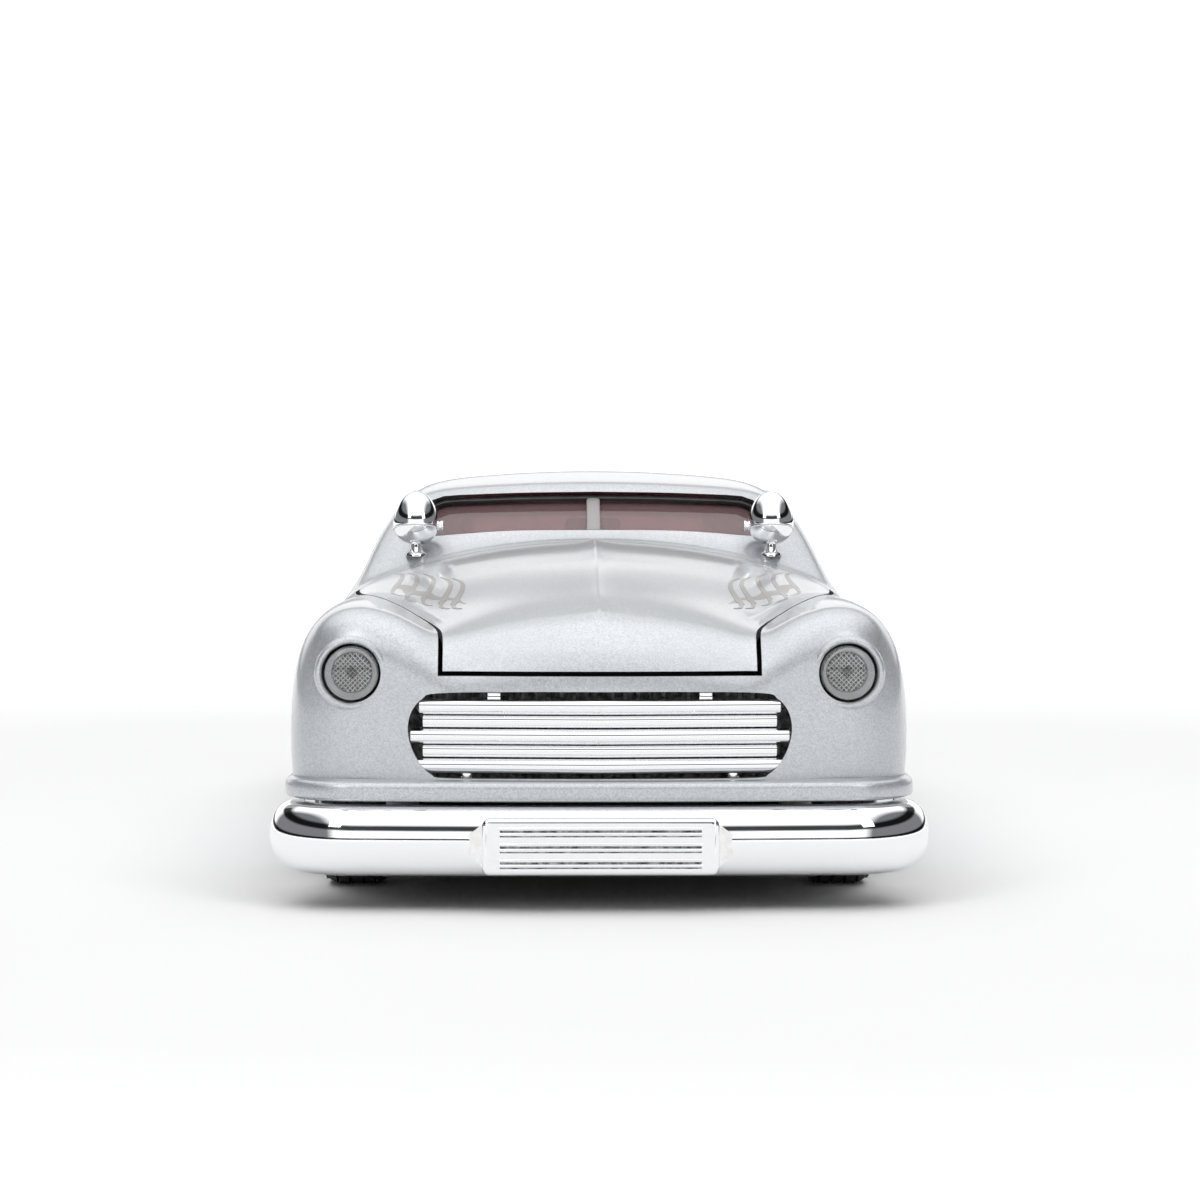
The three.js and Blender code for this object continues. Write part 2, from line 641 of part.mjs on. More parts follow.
// ---------------------------------------------------------------- bright work
// A bumper with rounded ends, a plate in the middle, and two brackets that reach into the body.
function buildBumpers() {
  const [low, high] = [BUMPER_LOW_Z, BUMPER_HIGH_Z];
  const section = [
    [-BUMPER_T, low + 0.9], [-1.7, low], [-0.6, low + 0.8], [0, low + 2.6],
    [0, high - 2.6], [-0.6, high - 0.8], [-1.7, high], [-BUMPER_T, high - 0.9],
  ];
  const face = NOSE - BUMPER_REACH;
  const bar = sweep(nosePath(BUMPER_REACH, BUMPER_HALF, 12, face + 17), section);
  const edge = [
    [0, face - 0.9],
    [PLATE_HALF - 1.4, face - 0.9],
    [PLATE_HALF + 1.2, face + 1.2],
    [PLATE_HALF + 1.2, face + 3],
    [0, face + 3],
  ];
  const plate = slab("z", mirroredOutline(edge), low + 0.5, high - 1.1);
  const bracket = (x) => box(x - 2, x + 2, face + 3, face + 9.5, 7.4, 10.6);
  const whole = joined(bar, plate, bracket(-16), bracket(16));
  add("front_bumper", "chrome", whole);
  add("rear_bumper", "chrome", whole).rotation.z = Math.PI;
}

// Three round bars over two flat ones, bent to a prow, with posts above and below.
function buildGrille() {
  const half = GRILLE_HALF - 1.4;
  const middleZ = (GRILLE_LOW_Z + GRILLE_HIGH_Z) / 2 - 0.2;
  const pitch = 3.7;
  const plan = (front, back, reach) => [
    [0, front - 1.2],
    [reach, front + 0.6],
    [reach, back],
    [0, back - 1.2],
  ];
  const at = NOSE + 1.6;
  const bars = [-1, 0, 1].map((row) => {
    const z = middleZ + row * pitch;
    return slab("z", mirroredOutline(plan(at, at + 2.2, half - (row ? 2 : 0))), z - GRILLE_BAR_R, z + GRILLE_BAR_R);
  });
  const back = slab("z", mirroredOutline(plan(at + 1, at + 2.2, half - 1)), middleZ - pitch, middleZ + pitch);
  const posts = [-1, 1].flatMap((side) => [
    box(side * 13.2 - 0.9, side * 13.2 + 0.9, at + 0.8, at + 2, middleZ + pitch, GRILLE_HIGH_Z - 0.2),
    box(side * 17 - 0.9, side * 17 + 0.9, at + 0.8, at + 2, GRILLE_LOW_Z + 0.2, middleZ - pitch),
  ]);
  add("grille", "chrome", joined(back, ...bars, ...posts));
}

function buildLights() {
  const seat = HEADLIGHT_R - FIT;
  const front = NOSE + HEADLIGHT_SETBACK;
  const tail = TAILLIGHT_R - FIT;
  const tailAt = TAIL - TAILLIGHT_SETBACK;
  addPair("headlight_reflector", "chrome", rod("y", seat, 1.6, [HEADLIGHT_X, front + 2.8, HEADLIGHT_Z], 20));
  const lens = turned("y", [[0, -1.3], [seat * 0.6, -0.9], [seat, 0.1], [seat, 1.3], [0, 1.3]], 20);
  addPair("headlight_lens", "glass", lens.translate([HEADLIGHT_X, front + 0.3, HEADLIGHT_Z]));
  addPair("taillight_bezel", "chrome", rod("y", tail, 1.5, [TAILLIGHT_X, tailAt - 1.2, TAILLIGHT_Z], 16));
  const tailLens = turned("y", [[0, 0], [tail, 0], [tail, 1.6], [tail * 0.6, 2.6], [0, 3]], 16);
  addPair("taillight_lens", "red", tailLens.translate([TAILLIGHT_X, tailAt, TAILLIGHT_Z]));

  // An egg on a short stalk, with a cone and a knob on its inboard side.
  const r = SPOT_R;
  const egg = turned("z", [
    [0, -r * 1.05], [r * 0.6, -r * 0.92], [r * 0.94, -r * 0.35], [r, r * 0.05],
    [r * 0.9, r * 0.6], [r * 0.6, r * 1.1], [r * 0.25, r * 1.3], [0, r * 1.34],
  ].map(([u, v]) => [u, -v]).reverse(), 18);
  const cone = rod("x", r * 0.78, r * 1.1, [-r * 0.72, 0.4, -r * 0.2], 14, r * 0.2);
  const knob = rod("x", r * 0.17, r * 0.5, [-r * 1.2, 0.4, -r * 0.2], 8);
  const stalk = rod("z", r * 0.24, 2, [0, 0.6, -r - 0.3], 10);
  const foot = rod("z", r * 0.42, 0.5, [0, 0.6, -r - 1.1], 12);
  const spot = joined(egg, cone, knob, stalk, foot).rotate([-14, 0, 0]);
  const [x, y] = [HALF - SPOT_INSET, GLASS_BASE + SPOT_SETBACK];
  addPair("spotlight", "chrome", spot.translate([x, y, skinHeight(x, y) + SPOT_RISE]));
}

// ---------------------------------------------------------------- glazing
function buildGlass() {
  const outer = skin(WALL + FIT, false, INNER_CELL);
  const pane = outer.subtract(skin(WALL + FIT + GLASS_T, false, INNER_CELL));
  add("windshield_glass", "glass", largest(pane.intersect(screenRegion(1.4))));
  add("rear_window_glass", "glass", largest(pane.intersect(backRegion(1.4))));
}

// ---------------------------------------------------------------- running gear
function buildWheels() {
  const inner = RIM_R + 0.1;
  const tall = TYRE_R - inner;
  const w = TYRE_WIDTH / 2;
  const wall = [[0, w - 0.8], [0.37, w], [0.8, w - 0.7], [1, w - 2.2]].map(([u, v]) => [inner + u * tall, v]);
  const otherWall = wall.map(([u, v]) => [u, -v]);
  const tyre = turned("x", [...otherWall, ...wall.reverse(), otherWall[0]]);
  const barrel = RIM_R - 0.25;
  const bore = AXLE_R + FIT;
  const rim = turned("x", [
    [bore, -w + 1], [3.2, -w + 1], [3.2, 0], [barrel - 1, 0], [barrel - 1, -w + 1], [barrel, -w + 1],
    [barrel, w - 0.6], [barrel - 1, w - 0.6], [barrel - 1.6, 1.6], [3.6, 1.6], [2.6, w - 0.9],
    [0, w - 0.4], [0, w - 2], [bore, w - 2], [bore, -w + 1],
  ]);
  for (const [end, y] of [["front", FRONT_AXLE], ["rear", REAR_AXLE]]) {
    for (const [side, sign] of [["left", 1], ["right", -1]]) {
      const at = [sign * (TYRE_FACE - w), y, AXLE_Z];
      add(`tyre_${end}_${side}`, "rubber", tyre, at).scale.x = sign;
      add(`wheel_${end}_${side}`, "chrome", rim, at).scale.x = sign;
    }
    const reach = TYRE_FACE - 2.4 - FIT;
    add(`axle_${end}`, "steel", rod("x", AXLE_R, 2 * reach, [0, 0, 0], 16), [0, y, AXLE_Z]);
  }
}

function buildChassis() {
  const z0 = CHASSIS_Z;
  const z1 = CHASSIS_TOP;
  const bay = WHEEL_BAY;
  const front = NOSE + 4;
  const rear = TAIL - 4;
  let pan = joined(
    box(-bay, bay, front, rear, z0, z1),
    box(-29, 29, front, FRONT_AXLE - ARCH_HALF, z0, z1),
    box(-CHASSIS_HALF, CHASSIS_HALF, FRONT_AXLE + ARCH_HALF, REAR_AXLE - ARCH_HALF, z0, z1),
    box(-29, 29, REAR_AXLE + ARCH_HALF, rear, z0, z1),
    box(-PAD_HALF, PAD_HALF, -PAD_HALF, PAD_HALF, z0 - PAD_T, z0 + 0.2),
  );
  for (const y of [FRONT_AXLE, REAR_AXLE]) {
    for (const side of [-1, 1]) {
      const cradle = box(side * (bay - 3) - 2.5, side * (bay - 3) + 2.5, y - 3.4, y + 3.4, z1 - 0.2, AXLE_Z + 2.8);
      pan = pan.add(cradle);
    }
    pan = pan.subtract(rod("x", AXLE_R + AXLE_PLAY, 2 * HALF, [0, y, AXLE_Z], 16));
  }
  const screws = [["front", FRONT_POST], ["rear", REAR_POST]];
  for (const [end, y] of screws) {
    for (const [side, sign] of [["left", 1], ["right", -1]]) {
      pan = pan.subtract(rod("z", SCREW_R + FIT, 8, [sign * POST_X, y, z0], 10));
      const head = rod("z", SCREW_HEAD_R, 0.8, [0, 0, -0.4 - FIT], 14);
      const shank = rod("z", SCREW_R, 7, [0, 0, 2.6], 10);
      add(`chassis_screw_${end}_${side}`, "steel", head.add(shank), [sign * POST_X, y, z0]);
    }
  }
  add("chassis_pan", "black", pan);
}

function buildExhaust() {
  const radius = 1.1;
  const z = CHASSIS_Z - FIT - radius;
  const from = FRONT_AXLE + ARCH_HALF;
  const to = TAIL - 1;
  addPair("exhaust_pipe", "chrome", rod("y", radius, to - from, [13, (from + to) / 2, z], 12));
}

// ---------------------------------------------------------------- interior
function buildInterior() {
  const half = TUB_HALF;
  const rearHalf = WHEEL_BAY;
  const z0 = FLOOR_Z;
  const outer = joined(
    box(-half, half, TUB_FRONT, TUB_REAR, z0, TUB_TOP),
    box(-rearHalf, rearHalf, TUB_REAR - 1, DECK - 6, TUB_TOP + 1, TUB_TOP + 2.4),
    box(-rearHalf, rearHalf, TUB_REAR - TUB_WALL, TUB_REAR, TUB_TOP - 1, TUB_TOP + 2.4),
  );
  const hollow = box(-half + TUB_WALL, half - TUB_WALL, TUB_FRONT + TUB_WALL, TUB_REAR - TUB_WALL, z0 + TUB_WALL, ROOF_TOP);
  const tunnel = slab("y", [[-4, z0 + 0.5], [4, z0 + 0.5], [2.6, z0 + 4], [-2.6, z0 + 4]], TUB_FRONT + 0.6, TUB_REAR - 0.6);
  add("interior_tub", "maroon", outer.subtract(hollow).add(tunnel));

  const floor = z0 + 4 + FIT; // seats stand clear of the tunnel
  for (const [name, y] of [["front_bench", DOOR_REAR - 22], ["rear_bench", TUB_REAR - TUB_WALL - 14.5]]) {
    const side = [[0, 0], [12.4, 0], [14.2, 21], [13.2, 22], [11.4, 21.6], [9, 7], [1.4, 7.6], [0, 6.4]];
    add(name, "maroon", slab("x", side.map(([u, v]) => [y + u, floor + v]), -SEAT_HALF, SEAT_HALF));
  }
  const dashFront = TUB_FRONT + TUB_WALL + FIT;
  const dash = [[0, 24], [5.5, 24.6], [7.6, 27], [7, 31.5], [4.5, 33.6], [0, 34.4]].map(([u, v]) => [dashFront + u, v]);
  add("dashboard", "maroon", slab("x", dash, -half + TUB_WALL + FIT, half - TUB_WALL - FIT));
  const wheelAt = [12.5, dashFront + 13, 30.5];
  const tilt = THREE.MathUtils.degToRad(62);
  const rim = new THREE.TorusGeometry(5.4, 0.55, 6, 22);
  const spokes = box(-5.2, 5.2, -0.45, 0.45, -0.4, 0.4);
  const column = rod("z", 0.7, 4.2, [0, 0, -2.1], 10);
  const wheel = joined(solid(rim), spokes, rod("z", 1.2, 1.4, [0, 0, 0], 12), column);
  add("steering_wheel", "maroon", wheel, wheelAt).rotation.x = tilt;
  const mirror = joined(box(-4, 4, -0.5, 0.5, -1.1, 1.1), box(-0.4, 0.4, -0.4, 0.4, 0.6, 2.6));
  add("rear_view_mirror", "chrome", mirror, [0, GLASS_BASE + 13, ROOF_TOP - 7.9]);
  for (const [side, sign] of [["left", 1], ["right", -1]]) {
    const from = DOOR_FRONT + 9;
    const card = box(TUB_HALF + FIT + 3.2, TUB_HALF + FIT + 4.4, from, DOOR_REAR - 2, DOOR_LOW_Z + 4, BELT_Z - 7);
    const peg = (y) => box(TUB_HALF + FIT + 4.2, HALF - 3.4, y, y + 2, 20, 22);
    add("door_card_" + side, "maroon", joined(card, peg(from + 8), peg(DOOR_REAR - 12))).scale.x = sign;
  }
}

// ---------------------------------------------------------------- engine bay
function buildEngine() {
  const floor = CHASSIS_TOP + FIT;
  const tray = box(13, 21, FRONT_AXLE + 23, FIREWALL + 0.6, 22, 23.6);
  add("firewall", "black", box(-27, 27, FIREWALL, FIREWALL + 1.2, floor, 35).add(tray));
  const y = FRONT_AXLE;
  const block = joined(
    box(-5.5, 5.5, y + 5, y + 27, floor + 4, floor + 15),
    slab("y", [[-9.5, 22], [-6.5, 17], [6.5, 17], [9.5, 22], [6, 25.4], [-6, 25.4]], y + 6, y + 26),
    rod("y", 3, 6, [0, y + 29.5, floor + 8], 14),
    box(-2, 2, y + 13.5, y + 18.5, 25, 29.4 - FIT),
  );
  add("engine_block", "steel", block);
  for (const [side, sign] of [["left", 1], ["right", -1]]) {
    const cover = slab("y", [[6.6, 25.8], [10.6, 22.6], [12.2, 24.6], [8.4, 27.8]], y + 7.5, y + 24.5);
    add("valve_cover_" + side, "chrome", cover).scale.x = sign;
  }
  add("air_cleaner", "chrome", turned("z", [[0, 0], [4.6, 0], [5.4, 0.6], [5.4, 2], [4.6, 2.6], [0, 3]], 20), [0, y + 16, 29.4]);
  add("cooling_fan", "black", joined(
    box(-5.4, 5.4, -0.5, 0.5, -0.9, 0.9), box(-0.9, 0.9, -0.5, 0.5, -5.4, 5.4), rod("y", 1.6, 1.6, [0, 0, 0], 12),
  ), [0, y - 2.2, 20]);
  add("radiator", "black", box(-15, 15, y - 8.4, y - 5, floor, 30.4));
  add("battery", "black", box(14.6, 20, y + 24, y + 31, 23.6 + FIT, 30));
}

function buildTrunkTray() {
  const y0 = REAR_AXLE + ARCH_HALF - 1;
  const y1 = TAIL - 7;
  const z0 = 15;
  const outer = box(-WHEEL_BAY, WHEEL_BAY, y0, y1, z0, 24);
  const hollow = box(-WHEEL_BAY + 1.2, WHEEL_BAY - 1.2, y0 + 1.2, y1 - 1.2, z0 + 1.2, 30);
  const legs = [-1, 1].map((side) => box(side * 10 - 2, side * 10 + 2, y0 + 6, y0 + 12, CHASSIS_TOP + FIT, z0 + 0.5));
  add("trunk_tray", "black", joined(outer.subtract(hollow), ...legs));
}

// ---------------------------------------------------------------- hinge arms
// A curved arm of constant radius about the hinge line, in the (u, v) plane, between two angles.
function arc(fromDegrees, toDegrees, steps = 7) {
  const ring = (radius) =>
    Array.from({ length: steps + 1 }, (_, i) => {
      const turn = THREE.MathUtils.degToRad(fromDegrees + ((toDegrees - fromDegrees) * i) / steps);
      return [radius * Math.cos(turn), radius * Math.sin(turn)];
    });
  return [...ring(HINGE_R + HINGE_T / 2), ...ring(HINGE_R - HINGE_T / 2).reverse()];
}

// The lines that the hood, the trunk lid and the driver's door turn about.
export const HOOD_AXIS = [0, COWL, centreTop(COWL) + 0.1];
export const TRUNK_AXIS = [0, TRUNK_FRONT, centreTop(TRUNK_FRONT) + 0.1];
export const DOOR_AXIS = [sideHalf(DOOR_FRONT) + 0.05, DOOR_FRONT, BULGE_Z];
export const FRONT_AXIS = [0, FRONT_AXLE, AXLE_Z];
export const REAR_AXIS = [0, REAR_AXLE, AXLE_Z];

// The first angle round a hinge line, by steps from another, that is clear under the panel.
function clearAngle(placeAt, from, step) {
  const clear = (angle) => {
    const turn = THREE.MathUtils.degToRad(angle);
    const outer = HINGE_R + HINGE_T / 2;
    return bodyForm(...placeAt(outer * Math.cos(turn), outer * Math.sin(turn)), false) < -WALL - HINGE_GAP;
  };
  let angle = from;
  while (!clear(angle)) angle += step;
  return angle;
}

// Each arm starts under its panel and curves on past the hinge line, behind the body's edge.
function buildHinges() {
  const from = HINGE_X - HINGE_WIDTH / 2;
  const to = HINGE_X + HINGE_WIDTH / 2;
  for (const [name, axis, start, way] of [["hood", HOOD_AXIS, 180, 1], ["trunk", TRUNK_AXIS, 0, -1]]) {
    const first = clearAngle((u, v) => [HINGE_X, axis[1] + u, axis[2] + v], start, way);
    const outline = arc(first, 270 * way + (way > 0 ? 22 : 158)).map(([u, v]) => [u + axis[1], v + axis[2]]);
    addPair(name + "_hinge", "steel", slab("x", outline, from, to));
  }
  const [x, y, z] = DOOR_AXIS;
  const first = clearAngle((u, v) => [x + u, y + v, z], 90, 1);
  const plan = arc(first, 232).map(([u, v]) => [u + x, v + y]);
  addPair("door_hinge", "steel", slab("z", plan, z - HINGE_WIDTH, z + HINGE_WIDTH));
}

buildBody();
buildBumpers();
buildGrille();
buildLights();
buildGlass();
buildWheels();
buildChassis();
buildExhaust();
buildInterior();
buildEngine();
buildTrunkTray();
buildHinges();

export default root;
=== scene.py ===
"""Looks of a 1:24 diecast coupe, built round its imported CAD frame: one class for each sub-assembly."""
import logging
import math
from dataclasses import dataclass, field
from enum import Enum
from typing import Callable, Sequence

import bmesh
import bpy
import numpy as np
from mathutils import Matrix, Vector


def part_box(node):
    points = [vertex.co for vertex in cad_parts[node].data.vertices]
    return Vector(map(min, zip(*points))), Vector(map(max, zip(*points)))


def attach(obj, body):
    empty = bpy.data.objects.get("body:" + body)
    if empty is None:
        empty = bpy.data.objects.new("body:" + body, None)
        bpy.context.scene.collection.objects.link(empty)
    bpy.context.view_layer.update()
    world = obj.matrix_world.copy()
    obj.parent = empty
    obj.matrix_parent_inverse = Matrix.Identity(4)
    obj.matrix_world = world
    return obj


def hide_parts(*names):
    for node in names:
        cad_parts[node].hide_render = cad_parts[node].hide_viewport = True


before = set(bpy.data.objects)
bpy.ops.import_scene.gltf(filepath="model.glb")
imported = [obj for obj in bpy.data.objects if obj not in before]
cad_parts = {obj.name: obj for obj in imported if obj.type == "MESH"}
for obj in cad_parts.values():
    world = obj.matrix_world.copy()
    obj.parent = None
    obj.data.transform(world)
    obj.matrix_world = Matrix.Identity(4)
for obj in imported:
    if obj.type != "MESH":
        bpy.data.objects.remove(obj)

MM = 0.001
LOG = logging.getLogger("coupe")
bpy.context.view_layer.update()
Point = Sequence[float]
Colour = tuple[float, float, float]


class Body(str, Enum):
    """Rigid bodies of the frame that pieces ride on."""

    SHELL = "body"
    HOOD = "hood"
    TRUNK = "trunk"
    DOOR_LEFT = "door_left"
    DOOR_RIGHT = "door_right"
    FRONT_WHEELS = "front_wheels"
    REAR_WHEELS = "rear_wheels"


class Slot(str, Enum):
    """Material slots of the record."""

    PAINT = "body_paint"
    BLACK = "chassis_black"
    MAROON = "interior_maroon"
    CHROME = "chrome_plate"
    CLEAR = "clear_lens"
    RED = "red_lens"
    RUBBER = "tyre_rubber"
    STEEL = "steel"
    ENGINE = "engine_metal"


class Axis(Enum):
    """Axis that a profile is turned about or an outline is pushed along."""

    X = 0
    Y = 1
    Z = 2


COLUMNS = {Axis.X: (2, 0, 1), Axis.Y: (1, 2, 0), Axis.Z: (0, 1, 2)}


def millimetres(node: str) -> tuple[np.ndarray, np.ndarray]:
    """Gives a CAD node's box.

    Args:
        node: Name of the CAD node.

    Returns:
        Its lowest and highest corners in millimetres.
    """
    low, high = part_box(node)
    return np.array(low) / MM, np.array(high) / MM


def middle(node: str) -> np.ndarray:
    """Gives the middle of a CAD node's box in millimetres."""
    low, high = millimetres(node)
    return (low + high) / 2


# ---------------------------------------------------------------- shader groups
class ShaderGroup:
    """A node group under construction, with short ways to add and link nodes."""

    def __init__(self, name: str, inputs: dict[str, float], outputs: dict[str, str]) -> None:
        """Opens a group.

        Args:
            name: Name of the group.
            inputs: Number sockets and their defaults.
            outputs: Output sockets and their socket types.
        """
        self.tree = bpy.data.node_groups.new(name, "ShaderNodeTree")
        for label, default in inputs.items():
            socket = self.tree.interface.new_socket(name=label, in_out="INPUT", socket_type="NodeSocketFloat")
            socket.default_value = default
        for label, kind in outputs.items():
            self.tree.interface.new_socket(name=label, in_out="OUTPUT", socket_type=kind)
        self.source = self.tree.nodes.new("NodeGroupInput")
        self.sink = self.tree.nodes.new("NodeGroupOutput")

    def node(self, kind: str, **settings: object) -> bpy.types.Node:
        """Adds a node of a kind and sets its properties."""
        made = self.tree.nodes.new(kind)
        for key, value in settings.items():
            setattr(made, key, value)
        return made

    def math(self, operation: str, first: object, second: object = None, clamp: bool = False) -> object:
        """Adds a Math node.

        Args:
            operation: Blender's name of the operation.
            first: A socket or a number.
            second: A socket, a number or None.
            clamp: True to keep the result from 0 to 1.

        Returns:
            The node's output socket.
        """
        made = self.node("ShaderNodeMath", operation=operation, use_clamp=clamp)
        for place, value in enumerate((first, second)):
            if value is None:
                continue
            if isinstance(value, (int, float)):
                made.inputs[place].default_value = value
            else:
                self.tree.links.new(value, made.inputs[place])
        return made.outputs[0]

    def link(self, source: object, target: object) -> None:
        """Joins two sockets."""
        self.tree.links.new(source, target)

    def size_to_scale(self, label: str) -> object:
        """Turns an input in millimetres into a texture scale."""
        return self.math("DIVIDE", 1.0 / MM, self.source.outputs[label])

    def place(self) -> object:
        """Gives the object coordinates, which are the part's own metres."""
        return self.node("ShaderNodeTexCoord").outputs["Object"]


def grain_group() -> bpy.types.NodeTree:
    """Builds the moulded grain and blotch effect.

    Returns:
        A group that gives a fine height and a broad mask.
    """
    group = ShaderGroup(
        "grain", {"Grain mm": 0.3, "Blotch mm": 8.0}, {"Height": "NodeSocketFloat", "Blotch": "NodeSocketFloat"}
    )
    place = group.place()
    fine = group.node("ShaderNodeTexNoise")
    fine.inputs["Detail"].default_value = 4.0
    broad = group.node("ShaderNodeTexNoise")
    broad.inputs["Detail"].default_value = 3.0
    for made, label, out in ((fine, "Grain mm", "Height"), (broad, "Blotch mm", "Blotch")):
        group.link(place, made.inputs["Vector"])
        group.link(group.size_to_scale(label), made.inputs["Scale"])
        group.link(made.outputs["Fac"], group.sink.inputs[out])
    return group.tree


def flake_group() -> bpy.types.NodeTree:
    """Builds the metallic flake effect.

    Returns:
        A group that gives each flake's shade and height.
    """
    group = ShaderGroup("flake", {"Flake mm": 0.12}, {"Shade": "NodeSocketFloat", "Height": "NodeSocketFloat"})
    cells = group.node("ShaderNodeTexVoronoi", feature="F1")
    group.link(group.place(), cells.inputs["Vector"])
    group.link(group.size_to_scale("Flake mm"), cells.inputs["Scale"])
    parts = group.node("ShaderNodeSeparateColor")
    group.link(cells.outputs["Color"], parts.inputs["Color"])
    group.link(parts.outputs[0], group.sink.inputs["Shade"])
    group.link(parts.outputs[1], group.sink.inputs["Height"])
    return group.tree


def wear_group() -> bpy.types.NodeTree:
    """Builds the edge wear effect from the mesh's pointiness, broken up by noise.

    Returns:
        A group that gives a mask, 1 where the finish is rubbed.
    """
    group = ShaderGroup("edge_wear", {"Start": 0.53, "Spread": 0.08, "Break mm": 0.8}, {"Mask": "NodeSocketFloat"})
    point = group.node("ShaderNodeNewGeometry").outputs["Pointiness"]
    noise = group.node("ShaderNodeTexNoise")
    group.link(group.place(), noise.inputs["Vector"])
    group.link(group.size_to_scale("Break mm"), noise.inputs["Scale"])
    rise = group.math(
        "DIVIDE", group.math("SUBTRACT", point, group.source.outputs["Start"]), group.source.outputs["Spread"], True
    )
    cut = group.math("MULTIPLY_ADD", noise.outputs["Fac"], 2.4)
    cut.node.inputs[2].default_value = -0.8
    group.link(group.math("MULTIPLY", rise, cut, True), group.sink.inputs["Mask"])
    return group.tree


def dust_group() -> bpy.types.NodeTree:
    """Builds the dust effect, which settles on faces that look up.

    Returns:
        A group that gives a mask, 1 where dust lies.
    """
    group = ShaderGroup("dust", {"Amount": 0.3, "Speck mm": 2.0}, {"Mask": "NodeSocketFloat"})
    normal = group.node("ShaderNodeSeparateXYZ")
    group.link(group.node("ShaderNodeNewGeometry").outputs["Normal"], normal.inputs[0])
    noise = group.node("ShaderNodeTexNoise")
    noise.inputs["Detail"].default_value = 6.0
    group.link(group.place(), noise.inputs["Vector"])
    group.link(group.size_to_scale("Speck mm"), noise.inputs["Scale"])
    up = group.math("MULTIPLY_ADD", normal.outputs[2], 0.5)
    up.node.inputs[2].default_value = 0.5
    lies = group.math("MULTIPLY", up, noise.outputs["Fac"])
    group.link(group.math("MULTIPLY", lies, group.source.outputs["Amount"], True), group.sink.inputs["Mask"])
    return group.tree


@dataclass
class GroupShelf:
    """The shared shader groups, each built once."""

    grain: bpy.types.NodeTree = field(default_factory=grain_group)
    flake: bpy.types.NodeTree = field(default_factory=flake_group)
    wear: bpy.types.NodeTree = field(default_factory=wear_group)
    dust: bpy.types.NodeTree = field(default_factory=dust_group)


SHELF = GroupShelf()


class Shader:
    """A material under construction around one Principled shader."""

    def __init__(self, name: str) -> None:
        """Opens a material with its Principled shader and output."""
        self.material = bpy.data.materials.new(name)
        self.material.use_nodes = True
        self.tree = self.material.node_tree
        self.principled = self.tree.nodes["Principled BSDF"]

    def set(self, **values: object) -> None:
        """Sets the Principled shader's own sockets; an underscore stands for a space."""
        for label, value in values.items():
            self.principled.inputs[label.replace("_", " ")].default_value = value

    def group(self, tree: bpy.types.NodeTree, **values: float) -> bpy.types.Node:
        """Places a shader group with its values.

        Args:
            tree: The group.
            **values: Its inputs; an underscore stands for a space.

        Returns:
            The group node.
        """
        made = self.tree.nodes.new("ShaderNodeGroup")
        made.node_tree = tree
        for label, value in values.items():
            made.inputs[label.replace("_", " ")].default_value = value
        return made

    def mix(self, mask: object, first: object, second: object) -> object:
        """Mixes two colours or colour sockets by a mask socket.

        Args:
            mask: Factor socket.
            first: Colour or socket at 0.
            second: Colour or socket at 1.

        Returns:
            The mixed colour's socket.
        """
        made = self.tree.nodes.new("ShaderNodeMix")
        made.data_type = "RGBA"
        self.tree.links.new(mask, made.inputs[0])
        for place, value in ((6, first), (7, second)):
            if isinstance(value, tuple):
                made.inputs[place].default_value = (*value, 1.0)
            else:
                self.tree.links.new(value, made.inputs[place])
        return made.outputs[2]

    def span(self, value: object, low: float, high: float, start: float = 0.0, end: float = 1.0) -> object:
        """Maps a value socket from start..end to low..high and gives its socket."""
        made = self.tree.nodes.new("ShaderNodeMapRange")
        self.tree.links.new(value, made.inputs["Value"])
        for label, number in (("From Min", start), ("From Max", end), ("To Min", low), ("To Max", high)):
            made.inputs[label].default_value = number
        return made.outputs[0]

    def feed(self, value: object, label: str) -> None:
        """Links a socket to the Principled shader."""
        self.tree.links.new(value, self.principled.inputs[label])

    def bump(self, height: object, distance: float, strength: float = 1.0, under: object = None) -> object:
        """Adds a Bump node in millimetres.

        Args:
            height: Height socket.
            distance: Height of the relief in millimetres.
            strength: Share of it that shows.
            under: Normal socket of a bump below this one, or None.

        Returns:
            The normal's socket, already linked to the shader.
        """
        made = self.tree.nodes.new("ShaderNodeBump")
        made.inputs["Distance"].default_value = distance * MM
        made.inputs["Strength"].default_value = strength
        self.tree.links.new(height, made.inputs["Height"])
        if under is not None:
            self.tree.links.new(under, made.inputs["Normal"])
        self.feed(made.outputs[0], "Normal")
        return made.outputs[0]


@dataclass(frozen=True)
class Finish:
    """A moulded, cast or coated finish with grain, blotches, rubbed edges and dust."""

    name: str
    colour: Colour
    shade: Colour
    rough: float = 0.5
    metallic: float = 0.0
    grain_mm: float = 0.3
    relief_mm: float = 0.02
    blotch_mm: float = 8.0
    worn: Colour = (0.5, 0.5, 0.5)
    wear_from: float = 0.54
    dust: float = 0.15
    coat: float = 0.0

    def make(self) -> bpy.types.Material:
        """Builds the material."""
        shader = Shader(self.name)
        shader.set(Metallic=self.metallic, Coat_Weight=self.coat, Coat_Roughness=0.12)
        grain = shader.group(SHELF.grain, Grain_mm=self.grain_mm, Blotch_mm=self.blotch_mm)
        wear = shader.group(SHELF.wear, Start=self.wear_from)
        dust = shader.group(SHELF.dust, Amount=self.dust)
        base = shader.mix(shader.span(grain.outputs["Blotch"], 0.0, 1.0, 0.3, 0.7), self.colour, self.shade)
        rubbed = shader.mix(wear.outputs["Mask"], base, self.worn)
        shader.feed(shader.mix(dust.outputs["Mask"], rubbed, (0.45, 0.44, 0.42)), "Base Color")
        spread = 0.12 * self.rough
        shader.feed(
            shader.span(grain.outputs["Blotch"], self.rough - spread, self.rough + spread, 0.3, 0.7), "Roughness"
        )
        shader.bump(grain.outputs["Height"], self.relief_mm, 0.6)
        return shader.material


